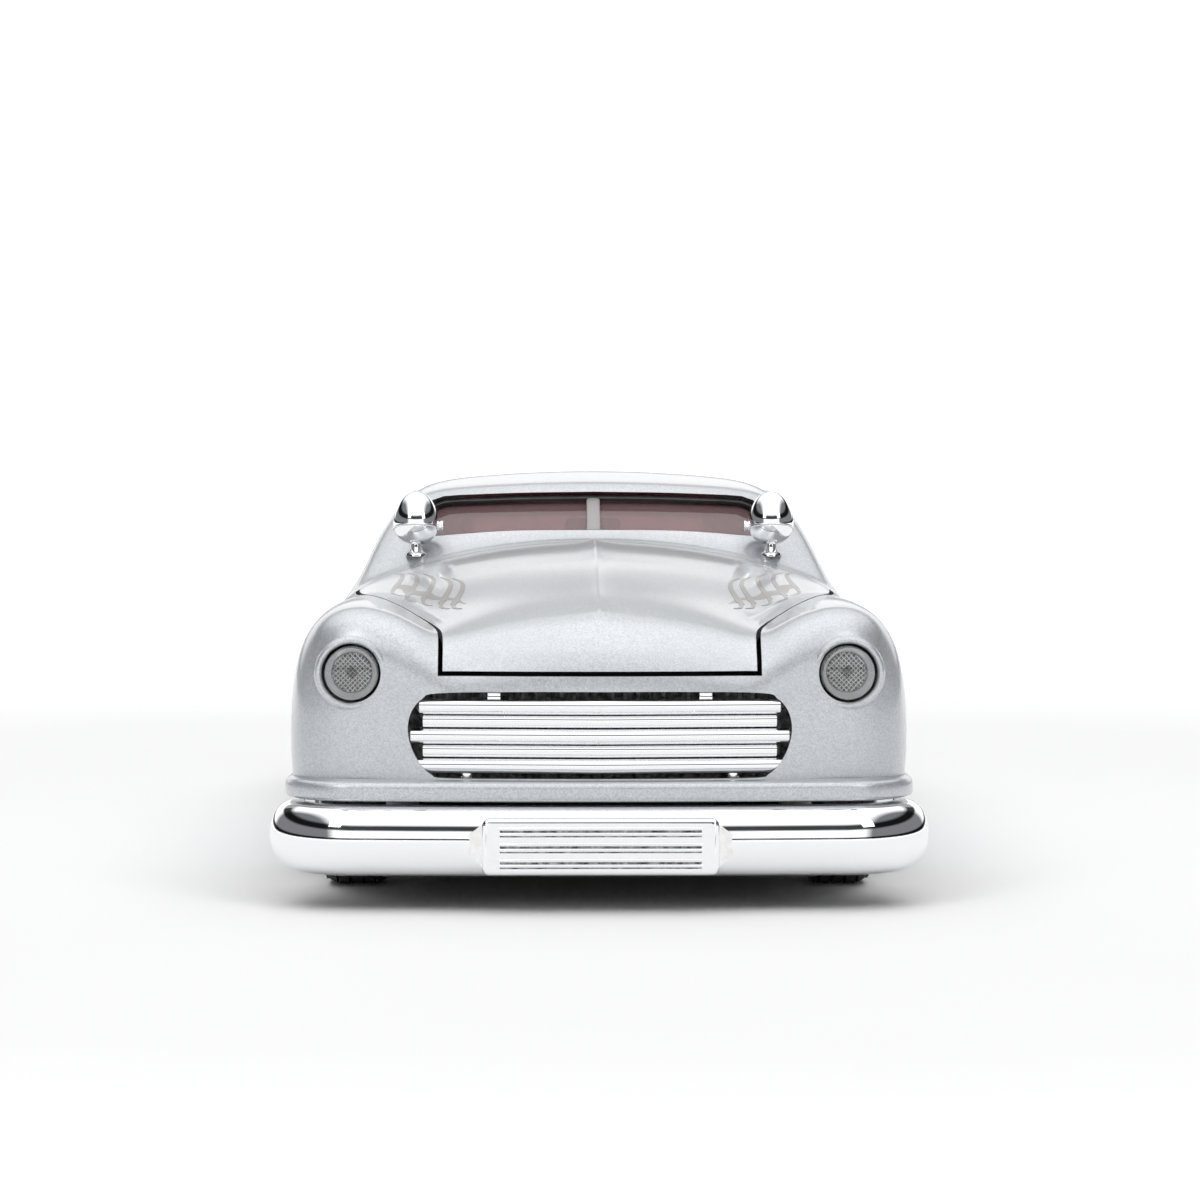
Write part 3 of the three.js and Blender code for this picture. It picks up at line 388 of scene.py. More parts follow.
@dataclass(frozen=True)
class FlakePaint:
    """Satin metallic paint with fine flakes under a thin coat."""

    name: str
    light: Colour
    dark: Colour
    flake_mm: float = 0.16
    rough: float = 0.34
    metallic: float = 0.55
    coat: float = 0.55

    def make(self) -> bpy.types.Material:
        """Builds the material."""
        shader = Shader(self.name)
        shader.set(Metallic=self.metallic, Coat_Weight=self.coat, Coat_Roughness=0.09, Coat_IOR=1.5)
        flake = shader.group(SHELF.flake, Flake_mm=self.flake_mm)
        grain = shader.group(SHELF.grain, Grain_mm=0.5, Blotch_mm=14.0)
        shade = shader.mix(flake.outputs["Shade"], self.dark, self.light)
        cloud = shader.mix(shader.span(grain.outputs["Blotch"], 0.0, 0.35, 0.3, 0.7), shade, self.dark)
        shader.feed(cloud, "Base Color")
        shader.feed(shader.span(flake.outputs["Shade"], self.rough - 0.05, self.rough + 0.07), "Roughness")
        peel = shader.bump(grain.outputs["Height"], 0.004, 0.5)
        shader.bump(flake.outputs["Height"], 0.006, 0.35, peel)
        return shader.material


@dataclass(frozen=True)
class BrightPlate:
    """Plated plastic: bright, faintly rippled, rubbed dull in places."""

    name: str
    colour: Colour = (0.93, 0.935, 0.945)
    rough: float = 0.035
    ripple_mm: float = 0.006
    tint: Colour = (0.82, 0.8, 0.76)

    def make(self) -> bpy.types.Material:
        """Builds the material."""
        shader = Shader(self.name)
        shader.set(Metallic=1.0)
        grain = shader.group(SHELF.grain, Grain_mm=3.2, Blotch_mm=5.0)
        wear = shader.group(SHELF.wear, Start=0.57, Spread=0.1)
        shader.feed(shader.mix(wear.outputs["Mask"], self.colour, self.tint), "Base Color")
        shader.feed(shader.span(grain.outputs["Blotch"], self.rough * 0.6, self.rough * 2.2, 0.35, 0.7), "Roughness")
        shader.bump(grain.outputs["Height"], self.ripple_mm, 0.5)
        return shader.material


@dataclass(frozen=True)
class QuiltedPlate:
    """Bright plate pressed into a fine diamond net, as behind a headlight lens, its lines painted dark as shade in
    the grooves.
    """

    name: str
    net_mm: float = 0.42
    light: Colour = (0.8, 0.79, 0.78)
    dark: Colour = (0.17, 0.16, 0.16)

    def make(self) -> bpy.types.Material:
        """Builds the material."""
        shader = Shader(self.name)
        shader.set(Metallic=0.75)
        turn = shader.tree.nodes.new("ShaderNodeMapping")
        turn.inputs["Rotation"].default_value = (0.0, math.radians(45), 0.0)
        place = shader.tree.nodes.new("ShaderNodeTexCoord")
        shader.tree.links.new(place.outputs["Object"], turn.inputs["Vector"])
        net = shader.tree.nodes.new("ShaderNodeTexVoronoi")
        net.voronoi_dimensions, net.distance = "2D", "CHEBYCHEV"
        net.inputs["Scale"].default_value = 1.0 / (self.net_mm * MM)
        net.inputs["Randomness"].default_value = 0.0
        parts = shader.tree.nodes.new("ShaderNodeSeparateXYZ")
        flat = shader.tree.nodes.new("ShaderNodeCombineXYZ")
        shader.tree.links.new(turn.outputs[0], parts.inputs[0])
        shader.tree.links.new(parts.outputs[0], flat.inputs[0])
        shader.tree.links.new(parts.outputs[2], flat.inputs[1])
        shader.tree.links.new(flat.outputs[0], net.inputs["Vector"])
        # Painted shade: the net's lines are darkened in the colour, standing in for shade in the pressed grooves.
        line = shader.span(net.outputs["Distance"], 0.0, 1.0, 0.3, 0.48)
        shader.feed(shader.mix(line, self.dark, self.light), "Base Color")
        shader.feed(shader.span(line, 0.5, 0.2), "Roughness")
        shader.bump(line, 0.05, 0.8)
        return shader.material


@dataclass(frozen=True)
class ClearPlastic:
    """See-through moulded plastic."""

    name: str
    tint: Colour = (0.93, 0.95, 0.95)
    rough: float = 0.03
    through: float = 1.0

    def make(self) -> bpy.types.Material:
        """Builds the material."""
        shader = Shader(self.name)
        shader.set(Metallic=0.0, Transmission_Weight=self.through, IOR=1.46)
        grain = shader.group(SHELF.grain, Grain_mm=2.0, Blotch_mm=6.0)
        deep = tuple(0.93 * c for c in self.tint)
        shader.feed(shader.mix(grain.outputs["Blotch"], self.tint, deep), "Base Color")
        shader.feed(shader.span(grain.outputs["Blotch"], self.rough * 0.5, self.rough * 1.8), "Roughness")
        return shader.material


class Finishes:
    """Every finish of the car, made once."""

    def __init__(self) -> None:
        """Builds the materials."""
        self.paint = FlakePaint("silver_flake", (0.68, 0.705, 0.73), (0.5, 0.52, 0.54)).make()
        self.inside = Finish("cast_inside", (0.36, 0.365, 0.375), (0.3, 0.305, 0.315), 0.5, 0.3, 0.4, 0.02).make()
        # Painted shade: the walls of every cut (panel gaps, openings, wheel arches, lamp bores) get a dark grey in
        # place of the silver, for the shade inside them.
        self.edge = Finish(
            "painted_shade_cut_wall", (0.2, 0.205, 0.21), (0.15, 0.155, 0.16), 0.5, 0.3, 0.3, 0.01, worn=(0.42, 0.43, 0.44)
        ).make()
        self.flame = FlakePaint("ghost_flame", (0.42, 0.405, 0.385), (0.34, 0.325, 0.305), 0.2, 0.42, 0.4, 0.4).make()
        self.chrome = BrightPlate("bright_plate").make()
        self.reflector = BrightPlate("reflector_plate", (0.7, 0.71, 0.72), 0.12, 0.01).make()
        # Painted light: the roof lining is a much lighter maroon than the vinyl, standing in for light on the shaded
        # underside of the roof.
        self.lining = Finish(
            "roof_lining_lightened", (0.5, 0.2, 0.2), (0.42, 0.16, 0.165), 0.7, 0.0, 0.1, 0.03, 5.0, (0.55, 0.26, 0.26)
        ).make()
        self.frost = Finish("frosted_step", (0.74, 0.74, 0.735), (0.62, 0.62, 0.615), 0.35, 0.3, 0.2, 0.01).make()
        self.black = Finish(
            "black_plastic", (0.018, 0.018, 0.02), (0.026, 0.026, 0.028), 0.48, 0.0, 0.35, 0.02,
            worn=(0.09, 0.09, 0.09)
        ).make()
        self.gloss_black = Finish(
            "gloss_black", (0.012, 0.012, 0.013), (0.018, 0.018, 0.02), 0.2, 0.0, 0.6, 0.006, worn=(0.06, 0.06, 0.06)
        ).make()
        # Painted shade: near-black strips and panels placed where the bumper plate's ridges and the grille opening
        # hold only shade and dark reflections.
        self.shade_black = Finish("painted_shade_black", (0.02, 0.02, 0.022), (0.03, 0.03, 0.032), 0.6, 0.0, 0.3, 0.02).make()
        self.maroon = Finish(
            "maroon_vinyl", (0.17, 0.013, 0.02), (0.125, 0.01, 0.015), 0.42, 0.0, 0.22, 0.035, 6.0, (0.28, 0.06, 0.06)
        ).make()
        self.carpet = Finish(
            "maroon_carpet", (0.1, 0.012, 0.016), (0.07, 0.008, 0.011), 0.85, 0.0, 0.16, 0.09, 4.0,
            (0.15, 0.03, 0.03), 0.6
        ).make()
        self.piping = Finish("pale_piping", (0.55, 0.5, 0.44), (0.48, 0.43, 0.38), 0.45, 0.0, 0.2, 0.01).make()
        self.rubber = Finish(
            "tyre_rubber_finish", (0.017, 0.017, 0.018), (0.026, 0.025, 0.025), 0.72, 0.0, 0.25, 0.03,
            worn=(0.06, 0.06, 0.06), dust=0.3
        ).make()
        self.sidewall = Finish(
            "pale_sidewall", (0.66, 0.65, 0.62), (0.58, 0.57, 0.54), 0.55, 0.0, 0.3, 0.015, worn=(0.4, 0.4, 0.38)
        ).make()
        self.steel = Finish(
            "bare_steel", (0.5, 0.5, 0.51), (0.4, 0.4, 0.41), 0.34, 1.0, 0.2, 0.01, worn=(0.75, 0.75, 0.75)
        ).make()
        self.cast = Finish(
            "cast_engine", (0.34, 0.345, 0.35), (0.27, 0.275, 0.28), 0.5, 0.8, 0.25, 0.05, worn=(0.6, 0.6, 0.6)
        ).make()
        self.engine_red = Finish(
            "engine_red", (0.32, 0.02, 0.018), (0.25, 0.015, 0.014), 0.38, 0.0, 0.3, 0.02, worn=(0.5, 0.2, 0.18)
        ).make()
        self.brass = Finish("brass_cap", (0.6, 0.43, 0.16), (0.5, 0.35, 0.12), 0.3, 1.0, 0.2, 0.01).make()
        self.dial = Finish("dial_face", (0.75, 0.73, 0.68), (0.68, 0.66, 0.61), 0.4, 0.0, 0.2, 0.003).make()
        self.glass = ClearPlastic("smoked_pane", (0.52, 0.34, 0.35), 0.03, 0.72).make()
        self.lens = ClearPlastic("clear_lens_finish").make()
        self.divider = ClearPlastic("divider_strip", (0.8, 0.77, 0.77), 0.4, 0.6).make()
        self.mesh = QuiltedPlate("quilted_plate").make()
        self.core = QuiltedPlate("quilted_core", 0.42, (0.36, 0.34, 0.33), (0.06, 0.055, 0.055)).make()
        self.red_lens = ClearPlastic("red_lens_finish", (0.62, 0.02, 0.025), 0.05, 0.75).make()


# ---------------------------------------------------------------- mesh work
def tube_faces(size: int, count: int, loop: bool) -> list[list[int]]:
    """Joins rings of points into a tube.

    Args:
        size: Points in each ring.
        count: Number of rings.
        loop: True where the last ring joins the first.

    Returns:
        The faces between the rings, seen from outside.
    """
    faces = []
    for i in range(count if loop else count - 1):
        n = (i + 1) % count
        for j in range(size):
            k = (j + 1) % size
            faces.append([i * size + j, i * size + k, n * size + k, n * size + j])
    return faces


def end_faces(size: int, count: int) -> list[list[int]]:
    """Gives the two faces that close the ends of a tube."""
    return [list(range(size))[::-1], [(count - 1) * size + j for j in range(size)]]


class Shape:
    """Gathers closed bits in millimetres into one mesh, each bit with its own finish."""

    def __init__(self) -> None:
        """Starts empty."""
        self.points: list[Point] = []
        self.faces: list[Sequence[int]] = []
        self.slots: list[int] = []
        self.materials: list[bpy.types.Material] = []

    def _slot(self, material: bpy.types.Material) -> int:
        """Gives a material's place in the list, adding it if it is new."""
        if material not in self.materials:
            self.materials.append(material)
        return self.materials.index(material)

    def add(self, points: np.ndarray, faces: Sequence[Sequence[int]], material: bpy.types.Material) -> "Shape":
        """Adds a bit.

        Args:
            points: Corners in millimetres.
            faces: Faces as corner numbers, seen from outside.
            material: Its finish.

        Returns:
            This shape.
        """
        start = len(self.points)
        self.points.extend(np.asarray(points, float).tolist())
        self.faces.extend([start + i for i in f] for f in faces)
        self.slots.extend([self._slot(material)] * len(faces))
        return self

    def box(
        self, low: Point, high: Point, material: bpy.types.Material, round_mm: float = 0.3, steps: int = 2,
        turn: Matrix | None = None
    ) -> "Shape":
        """Adds a box with rounded edges.

        Args:
            low: Lowest corner.
            high: Highest corner.
            material: Its finish.
            round_mm: Radius of its edges.
            steps: Faces across each rounded edge.
            turn: Turns the box about its own middle, or None.

        Returns:
            This shape.
        """
        low, high = np.array(low, float), np.array(high, float)
        size, centre = high - low, (low + high) / 2
        mesh = bmesh.new()
        bmesh.ops.create_cube(mesh, size=1.0)
        bmesh.ops.scale(mesh, vec=Vector(size), verts=mesh.verts)
        reach = min(round_mm, 0.45 * float(size.min()))
        if reach > 0.01:
            bmesh.ops.bevel(mesh, geom=list(mesh.edges), offset=reach, segments=steps, profile=0.5, affect="EDGES")
        if turn is not None:
            bmesh.ops.transform(mesh, matrix=turn, verts=mesh.verts)
        mesh.verts.index_update()
        points = np.array([v.co[:] for v in mesh.verts]) + centre
        faces = [[v.index for v in f.verts] for f in mesh.faces]
        mesh.free()
        return self.add(points, faces, material)

    def turned(
        self, profile: Sequence[Point], axis: Axis, centre: Point, material: bpy.types.Material, steps: int = 48,
        turn: Matrix | None = None, stretch: Callable[[np.ndarray], np.ndarray] | None = None
    ) -> "Shape":
        """Adds a profile turned about an axis.

        Args:
            profile: Radius and height pairs; a radius of 0 closes an end, and otherwise the last joins the first.
            axis: Axis of the turning.
            centre: Where radius 0 and height 0 lie.
            material: Its finish.
            steps: Faces round it.
            turn: Turns the bit about the centre, or None.
            stretch: Moves the points before they are placed, or None.

        Returns:
            This shape.
        """
        rows, points = [], []
        for radius, height in profile:
            if radius <= 1e-6:
                rows.append([len(points)] * steps)
                points.append((0.0, 0.0, height))
                continue
            rows.append(list(range(len(points), len(points) + steps)))
            angles = 2 * np.pi * np.arange(steps) / steps
            points.extend(zip(radius * np.cos(angles), radius * np.sin(angles), [height] * steps))
        closed = profile[0][0] > 1e-6 and profile[-1][0] > 1e-6
        pairs = list(zip(rows, rows[1:])) + ([(rows[-1], rows[0])] if closed else [])
        faces = []
        for lower, upper in pairs:
            for i in range(steps):
                ring = [lower[i], lower[(i + 1) % steps], upper[(i + 1) % steps], upper[i]]
                bare = list(dict.fromkeys(ring))
                if len(bare) > 2:
                    faces.append(bare)
        made = np.array(points, float)
        if stretch is not None:
            made = stretch(made)
        if turn is not None:
            made = made @ np.array(turn.to_3x3()).T
        return self.add(made[:, COLUMNS[axis]] + np.array(centre, float), faces, material)

    def rod(
        self, radius: float, length: float, axis: Axis, centre: Point, material: bpy.types.Material,
        round_mm: float = 0.15, steps: int = 24, turn: Matrix | None = None
    ) -> "Shape":
        """Adds a round bar with rounded ends, centred on a point."""
        r, h = radius, length / 2
        b = min(round_mm, 0.4 * r, 0.4 * h)
        profile = [
            (0, -h), (r - b, -h), (r - 0.3 * b, -h + 0.3 * b), (r, -h + b), (r, h - b), (r - 0.3 * b, h - 0.3 * b),
            (r - b, h), (0, h)
        ]
        return self.turned(profile, axis, centre, material, steps, turn)

    def swept(
        self, path: np.ndarray, section: np.ndarray, material: bpy.types.Material, up: Point = (0, 0, 1),
        loop: bool = False
    ) -> "Shape":
        """Adds a section swept along a path.

        Args:
            path: Points of the path.
            section: Outline as (outwards, up) pairs, the same for each point of the path or one for each.
            material: Its finish.
            up: Direction that stays up in the section.
            loop: True where the path closes on itself.

        Returns:
            This shape.
        """
        path = np.asarray(path, float)
        section = np.asarray(section, float)
        count = len(path)
        sections = section if section.ndim == 3 else np.repeat(section[None], count, 0)
        ahead = np.roll(path, -1, 0) - np.roll(path, 1, 0)
        if not loop:
            ahead[0], ahead[-1] = path[1] - path[0], path[-1] - path[-2]
        ahead /= np.linalg.norm(ahead, axis=1, keepdims=True)
        out = np.cross(np.array(up, float), ahead)
        out /= np.linalg.norm(out, axis=1, keepdims=True)
        lift = np.cross(ahead, out)
        size = sections.shape[1]
        points = path[:, None] + out[:, None] * sections[..., :1] + lift[:, None] * sections[..., 1:]
        faces = tube_faces(size, count, loop)
        if not loop:
            faces += end_faces(size, count)
        return self.add(points.reshape(-1, 3), faces, material)

    def prism(
        self, outline: Sequence[Point], axis: Axis, low: float, high: float, material: bpy.types.Material,
        round_mm: float = 0.0
    ) -> "Shape":
        """Adds an outline pushed along an axis.

        Args:
            outline: Points in the other two axes, in their cyclic order (yz, zx, xy).
            axis: Axis of the push.
            low: Where it starts.
            high: Where it ends.
            material: Its finish.
            round_mm: Chamfer of the two end edges.

        Returns:
            This shape.
        """
        flat = np.asarray(outline, float)
        area = 0.5 * np.sum(flat[:, 0] * np.roll(flat[:, 1], -1) - np.roll(flat[:, 0], -1) * flat[:, 1])
        flat = flat if area > 0 else flat[::-1]
        edge = np.roll(flat, -1, 0) - np.roll(flat, 1, 0)
        inward = np.stack([-edge[:, 1], edge[:, 0]], 1) / np.maximum(
            np.linalg.norm(edge, axis=1, keepdims=True), 1e-9
        )
        levels = [(low, 0.0), (high, 0.0)]
        if round_mm > 0:
            levels = [(low, round_mm), (low + 0.35 * round_mm, 0.35 * round_mm), (low + round_mm, 0.0)]
            levels += [(high - round_mm, 0.0), (high - 0.35 * round_mm, 0.35 * round_mm), (high, round_mm)]
        size, rings = len(flat), []
        for level, inset in levels:
            ring = flat + inward * inset
            rings.append(np.column_stack([ring, np.full(size, level)]))
        points = np.vstack(rings)
        faces = end_faces(size, len(levels)) + tube_faces(size, len(levels), False)
        return self.add(points[:, COLUMNS[axis]], faces, material)

    def sheet(self, top: np.ndarray, low: np.ndarray, across: int, material: bpy.types.Material) -> "Shape":
        """Adds two grids of points, joined at their rims, as one closed bit.

        Args:
            top: Rows of points on the outer side.
            low: The same rows on the inner side.
            across: Points in each row.
            material: Its finish.

        Returns:
            This shape.
        """
        rows, size = len(top) // across, len(top)
        faces = []
        for i in range(rows - 1):
            for j in range(across - 1):
                a, b, c, d = i * across + j, i * across + j + 1, (i + 1) * across + j + 1, (i + 1) * across + j
                faces += [[a, b, c, d], [size + d, size + c, size + b, size + a]]
        rim = list(range(across)) + [i * across + across - 1 for i in range(1, rows)]
        rim += [
            (rows - 1) * across + j for j in range(across - 2, -1, -1)
        ] + [i * across for i in range(rows - 2, 0, -1)]
        for a, b in zip(rim, rim[1:] + rim[:1]):
            faces.append([b, a, size + a, size + b])
        return self.add(np.vstack([top, low]), faces, material)

    def mirrored(self) -> "Shape":
        """Gives this shape's mirror image across the car's middle."""
        other = Shape()
        other.points = [[-p[0], p[1], p[2]] for p in self.points]
        other.faces = [list(f)[::-1] for f in self.faces]
        other.slots = list(self.slots)
        other.materials = list(self.materials)
        return other

    def place(self, name: str, body: Body, slot: Slot, *nodes: str, crease: float = 32.0) -> bpy.types.Object:
        """Makes the object and fixes it to the frame.

        Args:
            name: Name of the piece.
            body: Body that it rides on.
            slot: Material slot of the record.
            *nodes: CAD nodes that it stands for.
            crease: Edges sharper than this many degrees stay sharp.

        Returns:
            The Blender object.
        """
        mesh = bpy.data.meshes.new(name)
        mesh.from_pydata((np.array(self.points) * MM).tolist(), [], self.faces)
        for material in self.materials:
            mesh.materials.append(material)
        mesh.polygons.foreach_set("material_index", self.slots)
        mesh.polygons.foreach_set("use_smooth", [True] * len(mesh.polygons))
        loose = bmesh.new()
        loose.from_mesh(mesh)
        bmesh.ops.recalc_face_normals(loose, faces=loose.faces)
        loose.to_mesh(mesh)
        loose.free()
        mesh.set_sharp_from_angle(angle=math.radians(crease))
        return settle(bpy.data.objects.new(name, mesh), body, slot, *nodes)


def settle(piece: bpy.types.Object, body: Body, slot: Slot, *nodes: str) -> bpy.types.Object:
    """Links a finished object, fixes it to its body and hides the CAD nodes that it stands for.

    Args:
        piece: The object, in place.
        body: Body that it rides on.
        slot: Material slot of the record; not used.
        *nodes: CAD nodes that it stands for.

    Returns:
        The same object.
    """
    if piece.name not in bpy.context.scene.collection.objects:
        bpy.context.scene.collection.objects.link(piece)
    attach(piece, body.value)
    if nodes:
        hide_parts(*nodes)
    LOG.info("%s rides on %s, %d faces", piece.name, body.value, len(piece.data.polygons))
    return piece


def smooth_line(points: Sequence[Point], steps: int = 6, closed: bool = False) -> np.ndarray:
    """Runs a Catmull-Rom curve through points.

    Args:
        points: Points of any dimension.
        steps: Pieces between two points.
        closed: True where the line closes on itself.

    Returns:
        The denser line.
    """
    p = np.asarray(points, float)
    if closed:
        p = np.vstack([p[-1], p, p[:2]])
    else:
        p = np.vstack([2 * p[0] - p[1], p, 2 * p[-1] - p[-2]])
    rows = []
    for i in range(1, len(p) - 2):
        for t in np.arange(steps) / steps:
            rows.append(
                0.5 * (
                    2 * p[i] + (p[i + 1] - p[i - 1]) * t + (
                        2 * p[i - 1] - 5 * p[i] + 4 * p[i + 1] - p[i + 2]
                    ) * t**2 + (3 * p[i] - p[i - 1] - 3 * p[i + 1] + p[i + 2]) * t**3
                )
            )
    if not closed:
        rows.append(p[-2])
    return np.array(rows)


def cut_corners(points: Sequence[Point], rounds: int = 2, share: float = 0.22) -> np.ndarray:
    """Rounds the corners of a closed outline by cutting them again and again.

    Args:
        points: The outline.
        rounds: How many times the corners are cut.
        share: Share of each side cut off at a corner.

    Returns:
        The rounder outline.
    """
    p = np.asarray(points, float)
    for _ in range(rounds):
        ahead = np.roll(p, -1, 0)
        p = np.stack([(1 - share) * p + share * ahead, share * p + (1 - share) * ahead], 1).reshape(-1, p.shape[1])
    return p


def rounded_outline(u0: float, u1: float, v0: float, v1: float, radius: float, steps: int = 8) -> np.ndarray:
    """Gives the outline of a rectangle with round corners.

    Args:
        u0: Low side.
        u1: High side.
        v0: Bottom.
        v1: Top.
        radius: Radius of the corners.
        steps: Pieces in each corner.

    Returns:
        The outline's points.
    """
    corners = [
        (u1 - radius, v0 + radius, -90), (u1 - radius, v1 - radius, 0), (u0 + radius, v1 - radius, 90),
        (u0 + radius, v0 + radius, 180)
    ]
    rows = []
    for u, v, start in corners:
        for i in range(steps + 1):
            turn = math.radians(start + 90 * i / steps)
            rows.append((u + radius * math.cos(turn), v + radius * math.sin(turn)))
    return np.array(rows)


# ---------------------------------------------------------------- the body's form
class Curve:
    """A smooth curve through (place, value) points that never overshoots them."""

    def __init__(self, *points: tuple[float, float]) -> None:
        """Works out the slope at each point."""
        self.at, self.value = np.array(points, float).T
        rise = np.diff(self.value) / np.diff(self.at)
        product = rise[:-1] * rise[1:]
        total = np.where(product > 0, rise[:-1] + rise[1:], 1.0)
        inner = np.where(product > 0, 2 * product / total, 0.0)
        self.slope = np.concatenate([rise[:1], inner, rise[-1:]])

    def __call__(self, at: np.ndarray) -> np.ndarray:
        """Gives the curve's value at each place."""
        at = np.clip(at, self.at[0], self.at[-1])
        i = np.clip(np.searchsorted(self.at, at, side="right") - 1, 0, len(self.at) - 2)
        span = self.at[i + 1] - self.at[i]
        t = (at - self.at[i]) / span
        ends = self.value[i] * (1 + 2 * t) * (1 - t) ** 2 + self.value[i + 1] * (3 - 2 * t) * t**2
        return ends + span * (self.slope[i] * t * (1 - t) ** 2 + self.slope[i + 1] * (t - 1) * t**2)


def melt(a: np.ndarray, b: np.ndarray, round_mm: float) -> np.ndarray:
    """Gives the larger of two distances, rounded off where they meet; a negative radius gives the smaller.

    Args:
        a: First distance.
        b: Second distance.
        round_mm: Radius of the rounding.

    Returns:
        The joined distance.
    """
    reach, side = abs(round_mm), math.copysign(1.0, round_mm)
    overlap = np.maximum(reach - np.abs(a - b), 0) / reach
    return side * (np.maximum(side * a, side * b) + overlap**3 * reach / 6)


@dataclass
class BodyForm:
    """The casting's outer form, by the same formulas as the CAD source, in millimetres."""

    length: float = 208.0
    width: float = 78.6
    wall: float = 1.3
    gap: float = 0.6
    end_z: float = 13.5
    sill_z: float = 5.5
    quarter_z: float = 9.5
    cowl_top: float = 43.8
    roof_top: float = 53.2
    belt_z: float = 38.2
    rake: float = 34.0
    crease_mm: float = 0.62
    crowding: float = 1.25
    nose: float = field(init=False)
    tail: float = field(init=False)
    half: float = field(init=False)

    def __post_init__(self) -> None:
        """Sets up the lines that the form follows, round the wheels that the frame gives."""
        self.nose, self.tail, self.half = -self.length / 2, self.length / 2, self.width / 2
        nose, tail, half = self.nose, self.tail, self.half
        self.front_axle, self.rear_axle = (float(middle(f"axle_{end}")[1]) for end in ("front", "rear"))
        self.axle_z = float(middle("axle_front")[2])
        self.cowl, self.glass_base, self.roof_peak, self.deck = nose + 66, nose + 72, nose + 110, nose + 166
        self.ridge = half - 7.6
        cowl, deck, peak, rear = self.cowl, self.deck, self.roof_peak, self.rear_axle
        self.centre_top = Curve(
            (nose, 31.5), (nose + 8, 35.7), (nose + 24, 38.9), (nose + 44, 41.9), (cowl, 43.8), (peak, 43.8),
            (deck, 41), (deck + 17, 37.8), (tail - 10, 32), (tail, 27)
        )
        self.crown_drop = Curve((nose, 2.6), (nose + 24, 4), (cowl, 6.4), (deck, 5), (tail, 3))
        self.crown_half = Curve((nose, 21), (nose + 24, 21.6), (cowl, half - 5.8), (deck, 27), (tail, 24))
        self.fender_top = Curve(
            (nose, 35.8), (nose + 10, 37.5), (nose + 22, 37.8), (cowl, 36.8), (0, 35.4), (rear - 26, 35),
            (rear - 6, 36), (rear + 20, 33.6), (tail, 28.3)
        )
        self.side_half = Curve(
            (nose, half - 1.2), (nose + 18, half), (nose + 46, half - 0.1), (cowl + 16, half - 1.1),
            (rear - 34, half - 1.3), (rear + 4, half - 0.3), (tail - 16, half - 1), (tail, half - 3.2)
        )
        roof, base = self.roof_top, self.glass_base
        self.roof_line = Curve(
            (base - 6, roof - 3.4), (base + 12, roof - 1.2), (peak, roof), (peak + 20, roof - 1),
            (peak + 34, roof - 4), (deck - 10, roof - 8.4), (deck, 40.8), (deck + 12, 32), (deck + 24, 0)
        )
        arch = 15.2
        self.lower_edge = Curve(
            (self.front_axle - arch, self.end_z), (self.front_axle + arch - 4, self.sill_z),
            (rear - arch + 4, self.sill_z), (rear + arch - 2, self.quarter_z), (tail - 18, self.quarter_z),
            (tail - 13, self.end_z)
        )
        self.core_half = Curve((nose + 50, half - 9), (cowl + 10, 15), (deck - 18, 15), (deck + 8, half - 10))

    def _lower(self, x: np.ndarray, y: np.ndarray, z: np.ndarray) -> np.ndarray:
        """Gives the distance to the fenders, hood, deck and sides."""
        across = np.abs(x)
        fade = np.clip((self.cowl + 3 - y) / 6, 0, 1) * np.clip((y - self.nose) / 10, 0, 1)
        crease = self.crease_mm * fade * np.exp(-np.sqrt(x * x + 0.008) / 1.6)
        centre = self.centre_top(y) + crease - self.crown_drop(y) * (across / self.crown_half(y)) ** 2.1
        fender = self.fender_top(y) - 2.9 * ((across - self.ridge) / 9.6) ** 2
        side = across - self.side_half(y) + 2.2 * ((z - 21) / 16) ** 2
        front = self.nose + 0.5 + 0.0028 * across**2 + 0.0016 * (z - 18) ** 2 - y
        rear = y - self.tail + 0.002 * across**2 + 0.006 * (z - 18) ** 2
        return melt(melt(melt(z - melt(centre, fender, 3.2), side, 10.5), front, 9.5), rear, 11)

    def _cabin(self, x: np.ndarray, y: np.ndarray, z: np.ndarray) -> np.ndarray:
        """Gives the distance to the roof, pillars and windshield plane."""
        rake = math.radians(self.rake)
        screen = (z - self.cowl_top - 1) * math.cos(rake) - (y - self.glass_base - 0.011 * x * x) * math.sin(rake)
        taper = 0.0032 * np.maximum(y - self.roof_peak - 4, 0) ** 2
        roof = z - self.roof_line(y) + 0.0026 * x * x
        lean = 0.43 * (np.maximum(z, self.belt_z - 4) - self.belt_z)
        side = 0.92 * (np.abs(x) - self.half + 5.9 + lean + taper)
        return melt(melt(roof, side, 9), screen, 2.5)

    def depth(self, p: np.ndarray, floor: bool = False) -> np.ndarray:
        """Gives the distance of points to the outer skin.

        Args:
            p: Points, one in each row.
            floor: True to close the form along the car's lower edge.

        Returns:
            Distances, negative inside.
        """
        x, y, z = p[:, 0], p[:, 1], p[:, 2]
        skin = melt(self._lower(x, y, z), self._cabin(x, y, z), -3)
        return melt(skin, (self.lower_edge(y) - z) if floor else (-z - 10), 1.5)

    def normal(self, p: np.ndarray, floor: bool = False) -> np.ndarray:
        """Gives the direction straight out of the skin at each point.

        Args:
            p: Points, one in each row.
            floor: As for depth.

        Returns:
            Directions of length 1.
        """
        step = 0.04
        grad = np.stack([self.depth(p + step * e, floor) - self.depth(p - step * e, floor) for e in np.eye(3)], 1)
        return grad / np.maximum(np.linalg.norm(grad, axis=1, keepdims=True), 1e-9)

